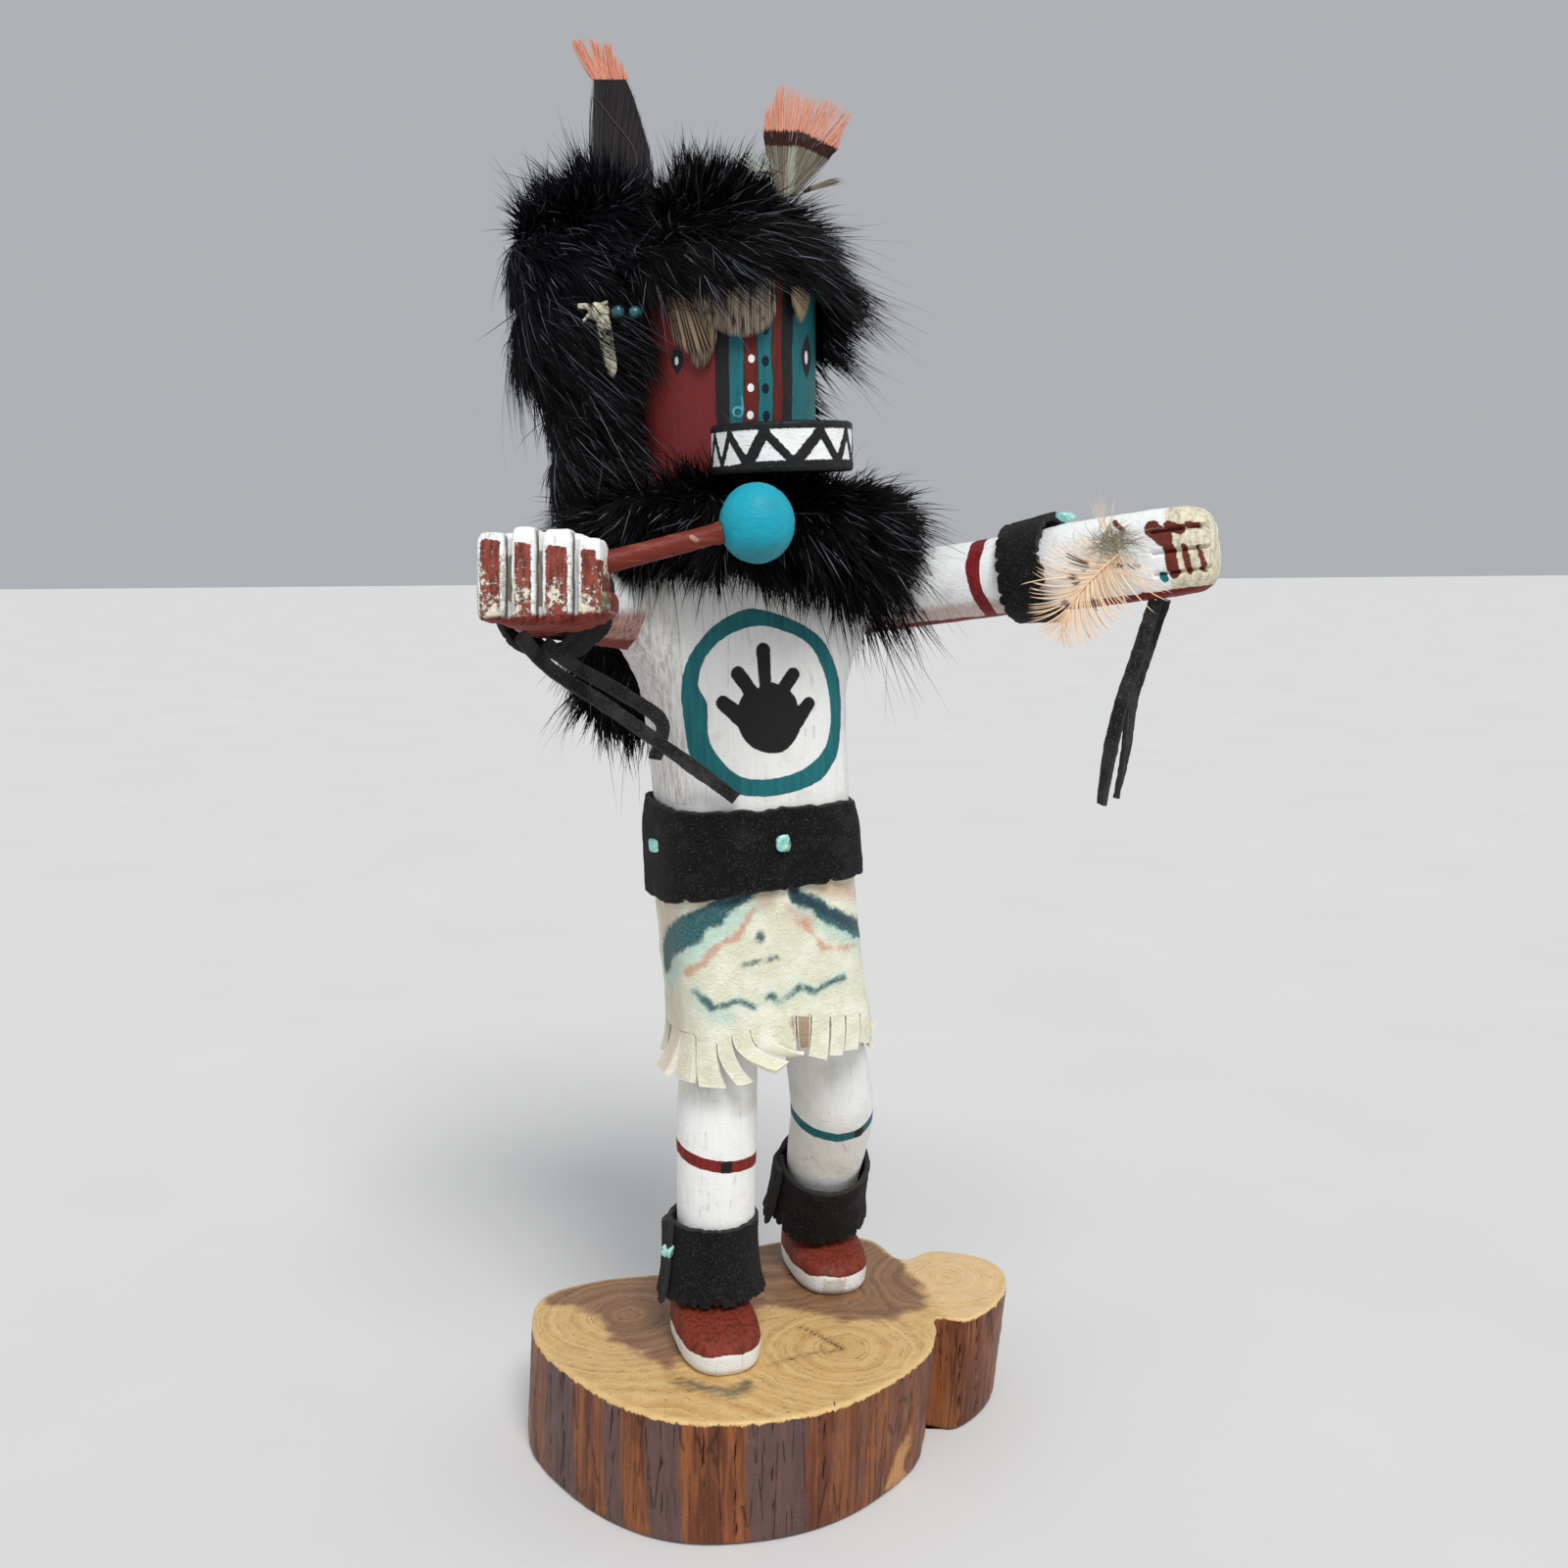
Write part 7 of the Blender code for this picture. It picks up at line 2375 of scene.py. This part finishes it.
@dataclass
class Feathers:
    """The tall black feather, the fan, the one at the left wrist, and three on the brow."""

    def build(self) -> None:
        """Makes and dresses all the feathers."""
        self._black()
        self._fan()
        self._hand()
        self._brow()

    def _black(self) -> None:
        """A clipped black feather with salmon ends."""
        feather = FlatFeather((-32.0, 14.0, 0.0), -16.0)
        draw = np.random.default_rng(701)
        shares = np.sort(draw.random(330))
        base = along_line(((-6.4, 276.0), (6.4, 274.0)), shares)
        top = along_line(((-6.4, 300.0), (0.5, 300.9), (2.2, 297.0), (3.8, 292.3), (5.9, 284.5)), shares)
        vane, _ = feather.barbs(base, top + draw.normal(size=top.shape) * 0.18, 0.085, 0.02, 702)
        parts = [vane, self._vane(feather)]
        clumps = (((-6.3, -4.6), (-10.2, 307.8), 34), ((-5.6, -3.8), (-8.9, 307.9), 22),
                  ((-4.9, -3.0), (-6.6, 307.9), 26), ((-4.2, -2.2), (-5.4, 307.6), 16),
                  ((-3.3, -1.4), (-3.6, 307.2), 26), ((-2.4, -0.8), (-2.5, 307.1), 16),
                  ((-1.6, -0.1), (-1.6, 304.5), 22), ((-0.8, 0.5), (-0.3, 303.3), 16),
                  ((-0.1, 0.9), (0.6, 301.6), 10))
        for number, ((low, high), tip, count) in enumerate(clumps):
            share = draw.random(count)
            start = np.column_stack((low + (high - low) * share, np.full(count, 299.4)))
            end = np.array(tip) + np.column_stack(((share - 0.5) * 0.9, -0.7 * draw.random(count)))
            made, where = feather.barbs(start, end, 0.11, 0.02, 703 + number)
            made.marks["tips"] = only(where[:, 1] > 299.0, -1.0)
            parts.append(made)
        quill = shaft(feather.at(np.array(((2.9, 281.0), (2.0, 286.0), (-2.6, 292.0), (-6.2, 296.6))),
                                 0.25), 0.22)
        quill.marks["quill"] = np.full(len(quill.points), -1.0)
        parts.append(quill)
        look = Plume("black feather", (0.016, 0.013, 0.014), (0.045, 0.040, 0.043),
                     (("tips", (0.80, 0.33, 0.22), 0.0), ("quill", (0.10, 0.065, 0.055), 0.0))).make()
        Skin.joined(parts).piece("plume_black", look, "black feather", "black_feather")

    @staticmethod
    def _vane(feather: FlatFeather) -> Skin:
        """The black feather's web, closed where its barbs lie against each other."""
        share = np.linspace(0.02, 0.98, 24)
        low = along_line(((-6.4, 276.0), (6.4, 274.0)), share)
        high = along_line(((-6.4, 299.4), (0.3, 300.2), (2.0, 296.6), (3.5, 292.0), (5.6, 284.5)), share)
        rows = np.array([low + (high - low) * t for t in np.linspace(0, 1, 30)])
        ripple = 0.16 * np.sin(share * 40.0)[None, :] * np.ones((30, 1))
        skin = Skin.wall(feather.at(rows, ripple), feather.at(rows, ripple - 0.35), False)
        skin.marks = {"hair": np.zeros(len(skin.points))}
        return skin

    def _fan(self) -> None:
        """A small fan feather: grey, then a dark band, then salmon ends."""
        feather = FlatFeather((-2.6, -4.9, 0.0), -16.0)
        draw = np.random.default_rng(721)
        shares = np.sort(draw.random(420))
        tips = along_line(((-4.3, 286.5), (-4.0, 290.6), (-3.2, 293.2), (-2.2, 293.4), (-1.0, 296.6),
                           (0.7, 296.6), (3.6, 295.4), (5.6, 294.4), (7.6, 294.1), (9.8, 293.6),
                           (12.4, 292.5), (14.4, 290.8), (12.6, 287.6), (11.4, 283.6)), shares)
        tips = tips - (tips - (0.4, 273.6)) * (0.06 * draw.random(len(tips)) ** 2)[:, None]
        start = (np.array((0.4, 273.6)) + np.column_stack(((shares - 0.5) * 2.4,
                                                           2.5 * draw.random(len(shares)))))
        made, flat = feather.barbs(start, tips, 0.10, 0.015, 722, 8)
        lower = ((-5.2, 283.8), (-3.7, 284.0), (3.3, 284.0), (9.4, 281.3), (11.8, 279.8))
        band = np.interp(flat[:, 0], [x for x, _ in lower], [z for _, z in lower])
        upper = np.interp(flat[:, 0], (-5.0, 3.3, 9.4, 11.8), (287.0, 287.0, 284.2, 283.0))
        made.marks["band"] = band - flat[:, 1]
        made.marks["tips"] = upper - flat[:, 1]
        made.marks["sheen"] = (np.abs(flat[:, 0] - 0.8 - 0.12 * (flat[:, 1] - 273.6)) - 0.6
                               + np.maximum(flat[:, 1] - 284.0, 0))
        parts = [made]
        ends = np.array(((-11.6, 283.8), (-11.2, 283.2), (-6.7, 283.5), (-6.0, 283.2), (-4.3, 283.8),
                         (-3.9, 283.5), (-3.1, 282.9), (-10.2, 284.0), (-9.0, 283.7), (-2.6, 282.4)))
        wisps, flat = feather.barbs(np.tile((-2.6, 278.6), (len(ends), 1))
                                    + (0.25, 0) * np.arange(len(ends))[:, None],
                                    ends, 0.19, 0.12, 723)
        stub, _ = feather.barbs(np.tile((4.3, 275.3), (26, 1)) + draw.normal(size=(26, 2)) * 0.25,
                                np.array((11.4, 277.6)) + draw.normal(size=(26, 2)) * (0.9, 0.35), 0.12,
                                0.02, 724)
        for extra in (wisps, stub):
            extra.marks["band"] = only(extra.marks["along"] < 0.35, -1.0)
            if extra is wisps:
                extra.marks["sheen"] = np.full(len(extra.points), -1.0)
            parts.append(extra)
        look = Plume("fan feather", (0.115, 0.105, 0.078), (0.235, 0.20, 0.145),
                     (("sheen", (0.42, 0.45, 0.36), 0.9), ("band", (0.045, 0.013, 0.009), 0.35),
                      ("tips", (0.83, 0.37, 0.25), 0.5))).make()
        Skin.joined(parts).piece("plume_fan", look, "grey feather", "fan_feather")

    def _hand(self) -> None:
        """A pale body feather with brown bars, tied over the left wrist, its barbs spread loose."""
        feather = FlatFeather((53.0, -44.6, 0.0), -32.0)
        draw = np.random.default_rng(741)
        quill = ((1.8, 202.5), (-1.6, 199.5), (-4.7, 196.2), (-6.6, 193.8), (-8.0, 191.7))
        left = ((-5.2, 206.2), (-9.6, 204.8), (-13.8, 202.9), (-14.6, 200.6), (-15.6, 197.0), (-16.2, 193.0),
                (-15.8, 189.7), (-14.9, 187.7), (-13.0, 185.2), (-9.4, 183.8))
        low = ((4.6, 196.6), (3.0, 191.0), (0.9, 187.7), (-1.9, 184.9), (-4.9, 183.8), (-7.7, 183.5),
               (-9.4, 183.9))
        parts = []
        for number, (line, count, bow) in enumerate(((left, 52, 0.10), (low, 58, -0.12))):
            shares = np.linspace(0.0, 1.0, count) + draw.normal(size=count) * 0.004
            start = along_line(quill, np.clip(shares, 0, 1) ** 0.9)
            end = along_line(line, np.clip(shares, 0, 1)) + draw.normal(size=(count, 2)) * 0.35
            made, flat = feather.barbs(start, end, 0.15, bow, 742 + number, 9, -0.8)
            parts.append((made, flat))
        right = np.array(((8.2, 199.6), (9.4, 198.4), (12.1, 194.8), (11.8, 193.1), (10.9, 194.9),
                          (9.0, 190.8), (6.2, 188.9), (7.6, 197.0), (10.4, 197.0), (5.0, 198.4),
                          (-17.7, 196.2)))
        start = along_line(((2.2, 202.6), (-1.0, 199.2)), np.linspace(0, 1, len(right)))
        start[-1] = (-4.7, 197.6)
        parts.append(feather.barbs(start, right, 0.15, -0.06, 745, 9, 0.6))
        fluff_start = np.array((-0.2, 204.6)) + draw.normal(size=(260, 2)) * (1.4, 1.0)
        spread = draw.uniform(0, math.tau, 260)
        reach = draw.uniform(1.5, 6.8, 260)
        fluff_end = (fluff_start + np.column_stack((np.cos(spread) * reach + 1.2,
                                                    np.sin(spread) * reach * 0.8)))
        fluff, flat = feather.barbs(fluff_start, fluff_end, 0.06, 0.12, 746, 5, 1.4)
        fluff.marks["fluff"] = np.full(len(flat), -1.0)
        parts.append((fluff, flat))
        wisp_end = np.array((-2.4, 212.6)) + draw.normal(size=(14, 2)) * (1.5, 1.4)
        wisps, flat = feather.barbs(np.tile((0.2, 205.6), (14, 1)), wisp_end, 0.07, 0.08, 747, 6, 0.6)
        parts.append((wisps, flat))
        for made, flat in parts:
            bars = brush_distance(flat, ((-8.0, 202.0, 0.8), (-5.2, 200.0, 1.0)),
                                  ((-7.6, 198.0, 0.7), (-6.4, 196.4, 0.6)),
                                  ((-9.2, 192.9, 0.6), (-7.4, 191.9, 0.5)),
                                  ((1.2, 200.2, 0.5), (5.4, 199.8, 0.4)),
                                  ((-3.4, 193.4, 0.4), (-2.4, 191.4, 0.3)))
            made.marks["bars"] = bars
        stem = shaft(feather.at(np.array(quill), 0.35), 0.28)
        look = Plume("pale feather", (0.90, 0.69, 0.47), (0.85, 0.58, 0.38),
                     (("bars", (0.20, 0.10, 0.055), 0.5), ("fluff", (0.36, 0.32, 0.23), 0.0))).make()
        Skin.joined([made for made, _ in parts] + [stem]).piece("plume_hand", look, "pale feather",
                                                                "hand_feather")

    def _brow(self) -> None:
        """Three small feathers lying down over the brow, under the fringe."""
        draw = np.random.default_rng(761)
        specs = (
            # the barred feather's dark ground is partly its own colour and partly painted shade under the
            # fringe
            ("barred", "brow_feather_barred", (-37.0, -20.0), self._barred_end, 190, (0.085, 0.06, 0.04),
             (0.26, 0.195, 0.12), 20.1),
            ("round", "brow_feather_round", (-25.0, 13.5), self._round_end, 420, (0.165, 0.125, 0.095),
             (0.30, 0.245, 0.19), 20.7),
            ("tan", "brow_feather_tan", (26.5, 41.0), self._tan_end, 150, (0.36, 0.25, 0.14),
             (0.52, 0.40, 0.25), 20.2),
        )
        for number, (name, node, span, ends, count, ground, second, reach) in enumerate(specs):
            degrees = draw.uniform(*span, count)
            low = ends(degrees) + draw.uniform(0, 0.5, count)
            t = np.linspace(0, 1, 6)[None, :]
            slant = (3.0, 0.0, -1.5)[number]
            around = degrees[:, None] + slant * (1 - t) + draw.normal(size=(count, 1)) * 0.5 * t
            height = 259.0 + (low[:, None] - 259.0) * t
            radius = reach + draw.uniform(-0.3, 0.3, (count, 1)) + 0.5 * t
            turn = np.radians(around)
            paths = np.stack((MASK_AXIS[0] + radius * np.sin(turn), MASK_AXIS[1] - radius * np.cos(turn),
                              height),
                             axis=-1)
            facing = np.stack((np.sin(turn[:, 3]), -np.cos(turn[:, 3]), np.zeros(count)), axis=-1)
            made = ribbons(paths, np.full(count, 0.17), facing, np.linspace(0.9, 0.7, 5))
            flat = np.column_stack((np.repeat(degrees, 11) * 0.33, made.points[:, 2]))
            if number == 0:
                made.marks["bars"] = 0.55 - np.abs(np.mod(flat[:, 0] + 0.15 * flat[:, 1], 1.9) - 0.95)
                made = Skin.joined([made, self._stiff_barbs(reach + 0.7)])
            else:
                spots = lattice(np.column_stack((flat, flat[:, 0] * 0)), (0.45, 1.5, 1.0), 763)
                made.marks["bars"] = 0.30 - spots if number == 1 else 255.6 - flat[:, 1]
            look = Plume(f"{name} brow feather", ground, second,
                         (("bars", (0.045, 0.028, 0.020), 0.4),)).make()
            made.piece(f"plume_brow_{name}", look, "grey feather" if number < 2 else "pale feather", node)

    @staticmethod
    def _stiff_barbs(reach: float) -> Skin:
        """Clumps of stiff barbs slanting over the barred feather, dark with pale edges.

        Args:
            reach: How far they lie from the mask's axis.

        Returns:
            The barbs.
        """
        parts = []
        for clump in range(11):
            share = clump / 10
            start = np.array((-50.5 + 15.0 * share, 256.0 - 1.5 * share))
            end = np.array((-41.5 + 20.0 * share, 243.5 - 2.6 * math.sin(2.6 * share)))
            for number, side in enumerate(np.linspace(-1.0, 1.0, 7)):
                t = np.linspace(0, 1, 6)
                around = np.radians(start[0] + (end[0] - start[0]) * t + side * 1.15 * t)
                height = start[1] + (end[1] - start[1]) * t
                radius = reach + 0.25 * t + 0.1 * clump / 10
                path = np.column_stack((MASK_AXIS[0] + radius * np.sin(around),
                                        MASK_AXIS[1] - radius * np.cos(around), height))
                facing = np.array(((math.sin(around[2]), -math.cos(around[2]), 0.0),))
                barb = ribbons(path[None], np.array((0.10,)), facing, np.linspace(1.0, 0.8, 5))
                barb.marks["bars"] = np.full(len(barb.points), FAR if number in (0, 6) or clump % 4 == 3
                                             else -1.0)
                barb.marks["hair"] = np.full(len(barb.points), 0.9)
                parts.append(barb)
        return Skin.joined(parts)

    @staticmethod
    def _barred_end(degrees: np.ndarray) -> np.ndarray:
        """Where the barred feather ends, by degrees from the front."""
        return np.interp(degrees, (-37, -34, -31, -27, -23, -20), (243.5, 240.4, 238.8, 238.4, 240.0, 244.0))

    @staticmethod
    def _round_end(degrees: np.ndarray) -> np.ndarray:
        """Where the round feather ends."""
        return 250.0 - 5.4 * np.sqrt(np.clip(1 - ((degrees + 5.8) / 19.4) ** 2, 0, 1))

    @staticmethod
    def _tan_end(degrees: np.ndarray) -> np.ndarray:
        """Where the tan feather ends."""
        return np.interp(degrees, (26.5, 30, 33, 37, 41), (252.0, 249.4, 248.2, 249.6, 252.5))


# ---------------------------------------------------------------- rattle and trims


@dataclass(frozen=True)
class Turquoise:
    """Turquoise with pale and dark veins."""

    name: str
    stone: Colour
    pale: Colour
    vein: Colour = (0.03, 0.05, 0.05)

    def make(self) -> bpy.types.Material:
        """The material."""
        look = Look(self.name)
        cloud = look.noise(1.1, detail=4.0, rough=0.65)
        colour = look.mix(look.step(cloud, 0.35, 0.68), self.stone, self.pale)
        vein = look.step(look.cells(1.3, feature="DISTANCE_TO_EDGE"), 0.05,
                         0.01) * look.step(look.noise(1.0, shift=5.0), 0.5, 0.6)
        colour = look.mix(vein * 0.7, colour, self.vein)
        return look.done(colour, look.step(cloud, 0.3, 0.7, 0.24, 0.42), look.bump(cloud, 0.12, 0.6),
                         Coat_Weight=0.25, Coat_Roughness=0.2)


@dataclass
class Trims:
    """The rattle, the stone chips, the ear beads and the knotted ear tie."""

    stick: tuple[Way, Way] = ((-52.0, -39.1, 199.7), (-18.4, -42.0, 208.3))
    # node, place, the way it faces, half sizes
    chips: tuple[tuple[str, Way, Way, Way], ...] = (
        ("belt_chip_front", (-5.2, -14.3, 142.0), (-0.1, -1.0, 0.1), (1.75, 1.85, 0.9)),
        ("belt_chip_side", (-30.6, -2.4, 140.8), (-1.0, -0.35, 0.0), (1.7, 1.6, 0.8)),
        ("ankle_chip", (-28.8, -3.6, 49.8), (-0.80, -0.60, 0.1), (1.9, 1.6, 0.9)),
        ("wrist_chip", (51.4, -27.6, 209.7), (0.0, -0.25, 1.0), (2.3, 1.5, 0.9)),
    )
    beads: tuple[tuple[str, Way], ...] = (("ear_bead_outer", (-36.4, -2.2, 250.0)),
                                          ("ear_bead_inner", (-33.2, -3.8, 249.8)))

    def build(self) -> None:
        """Makes and dresses them."""
        self._rattle()
        self._stones()
        self._tie()

    def _rattle(self) -> None:
        """A stick through the fist with a painted gourd on its end."""
        start, end = (np.array(v) for v in self.stick)
        start = start - unit(end - start) * 4.0
        across, up, along = axes_along(end - start)
        length = float(np.linalg.norm(end - start)) - 6.6
        turn = turns(40)
        rows = []
        for d in np.arange(0.0, length, 0.55):
            size = 2.15 - 0.25 * d / length + 0.25 * float(eased(np.array(d), length - 3.0, length))
            rows.append(start + along * d + size * (np.cos(turn)[:, None] * across
                                                    + np.sin(turn)[:, None] * up))
        stick = Skin.of_rows(np.array(rows))
        stick.pushed(0.10 * grain(stick.points, 1.6, 801, 3))
        p = stick.points
        stick.marks["streak"] = 0.45 - lattice(p, (7.0, 7.0, 0.5), 802)
        stick.marks["chip"] = stroke_distance(np.column_stack(((p - start) @ along, (p - start) @ up)),
                                              (0.5, ((26.0, 0.6), (26.8, -0.2))))
        look = PaintedWood("rattle stick paint", (0.165, 0.024, 0.014),
                           (Coat("streak", (0.27, 0.07, 0.045), ragged=0.4, cover=0.7, thick=0.1),
                            Coat("chip", (0.45, 0.25, 0.18), ragged=0.3)),
                           grain=(6.0, 6.0, 1.0), knife=0.3, grime=(0.05, 0.02, 0.02), rough=(0.36, 0.5),
                           coat=0.03).make()
        stick.piece("carved_rattle_stick", look, "red brown paint", "rattle_stick")
        ball = ball_skin(end, np.array((7.1, 7.1, 7.5)), 60, 80)
        p = ball.points
        pits = np.clip(lattice(p, 0.9, 811) - 0.35, 0, 1) * -0.22
        ball.pushed(0.12 * grain(p, 3.2, 812, 3) + pits + 0.04 * lattice(p, 0.55, 813))
        # Painted shade: the lower part of the ball is darker.
        ball.marks["low"] = (p[:, 2] - end[2]) + 4.4
        look = PaintedWood("rattle ball paint", (0.010, 0.345, 0.455),
                           # painted shade on the ball's lower part
                           (Coat("low", (0.035, 0.12, 0.14), soft=2.4, ragged=1.2, thick=0.0, cover=0.55),),
                           grain=(1.0, 1.0, 1.0), grain_size=1.4, knife=0.8, cracks=0.1,
                           grime=(0.03, 0.22, 0.28),
                           grimy=0.4, rough=(0.34, 0.5), coat=0.05).make()
        ball.piece("carved_rattle_ball", look, "turquoise paint", "rattle_ball")

    def _stones(self) -> None:
        """Four rough chips and two round beads."""
        look = Turquoise("turquoise chips", (0.16, 0.50, 0.46), (0.46, 0.74, 0.66)).make()
        for number, (node, place, facing, halves) in enumerate(self.chips):
            axes = axes_along(np.array(facing))
            made = block_skin(np.array(place), axes, halves, 3.2, 7)
            draw = np.random.default_rng(821 + number)
            for _ in range(9):
                way = unit(draw.normal(size=3) * (1.0, 1.0, 0.8))
                local = (made.points - place) @ way
                cut = draw.uniform(0.62, 0.86) * local.max()
                made.points = made.points - np.maximum(local - cut, 0)[:, None] * way
            made.marks = {}
            made.piece(f"stone_{node}", look, "turquoise stone", node, crease=24.0)
        look = Turquoise("turquoise beads", (0.006, 0.055, 0.075), (0.020, 0.13, 0.15)).make()
        for number, (node, place) in enumerate(self.beads):
            made = ball_skin(np.array(place) + 2.2 * TOWARDS_VIEW, np.array((1.35, 1.25, 1.25)), 18, 26)
            made.pushed(0.06 * lattice(made.points, 0.8, 831 + number))
            made.piece(f"stone_{node}", look, "turquoise stone", node)

    def _tie(self) -> None:
        """A scrap of cream suede, knotted, with its tail hanging."""
        knot = ball_skin(np.array((-40.3, -0.6, 250.6)), np.array((2.3, 1.6, 2.0)), 22, 30)
        knot.pushed(0.55 * grain(knot.points, 1.6, 841, 3))
        centre = spline(((-40.2, -1.1, 250.8), (-39.5, -1.5, 248.4), (-39.0, -1.8, 244.6),
                         (-38.3, -2.0, 240.8), (-37.9, -2.0, 237.6)), 9)
        share = np.linspace(0, 1, len(centre))
        wide = np.interp(share, (0.0, 0.15, 0.5, 0.85, 1.0), (1.0, 1.45, 1.55, 1.1, 0.25))
        turn = turns(24)
        flat = squircle(turn, 1.0, 1.0, 3.4)
        rows = [c + w * flat[:, :1] * SCREEN_RIGHT + 0.62 * flat[:, 1:] * TOWARDS_VIEW
                for c, w in zip(centre, wide)]
        tail = Skin.of_rows(np.array(rows)[::-1])
        tail.pushed(0.16 * grain(tail.points, 1.5, 842, 3))
        ends = []
        for number, (tip, width) in enumerate((((-44.6, -1.0, 251.6), 0.9), ((-43.6, -1.2, 248.6), 0.7),
                                               ((-38.6, -1.4, 252.4), 0.7))):
            path = np.array(((-40.8, -0.8, 250.6), np.array(tip) * 0.5 + np.array((-40.8, -0.8, 250.6)) * 0.5
                             + (0, 0, 0.4), tip))
            path = spline(path, 6)
            size = width * np.linspace(1.0, 0.45, len(path))
            rows = [c + s * flat[:, :1] * ALONG_Z + 0.45 * flat[:, 1:] * TOWARDS_VIEW
                    for c, s in zip(path, size)]
            end = Skin.of_rows(np.array(rows) if number == 2 else np.array(rows)[::-1])
            end.pushed(0.15 * grain(end.points, 1.0, 843 + number, 2))
            ends.append(end)
        whole = Skin.joined([knot, tail, *ends])
        look = Look("cream suede tie")
        cloud = look.noise(1.3, (1.0, 1.0, 1.6), 4.0)
        fuzz = look.noise(0.35, detail=2.0, shift=4.0)
        colour = look.mix(look.step(cloud, 0.35, 0.65), (0.56, 0.52, 0.36), (0.82, 0.79, 0.62))
        colour = look.mix(look.step(fuzz, 0.40, 0.28) * 0.6, colour, (0.20, 0.16, 0.10))
        finish = look.done(colour, 0.9, look.bump(cloud * 0.7 + fuzz, 0.3, 0.9), Sheen_Weight=0.2)
        whole.piece("suede_ear_tie", finish, "cream suede", "ear_tie")


# ---------------------------------------------------------------- the whole doll


def main() -> None:
    """Builds the studio and every part of the doll."""
    logging.basicConfig(level=logging.INFO, format="%(name)s %(message)s")
    Studio().build()
    # the lace's paler worn colour, wear and lint are partly painted highlights on the laces
    lace = BlackSuede("lace suede", (0.012, 0.0115, 0.012), (0.062, 0.062, 0.066), (0.24, 0.235, 0.23),
                      wear=0.9, lint=0.6).make()
    for thong in THONGS:
        thong.build(lace)
    LogBase().build()
    Body().build()
    Arms().build()
    Mask().build()
    suede = BlackSuede("black suede", wear=0.35).make()
    for wrap in WRAPS:
        wrap.build(suede)
    Kilt().build()
    fur = BlackFur().make()
    WIG.build(fur)
    COLLAR.build(fur)
    Feathers().build()
    Trims().build()


if __name__ == "__main__":
    main()
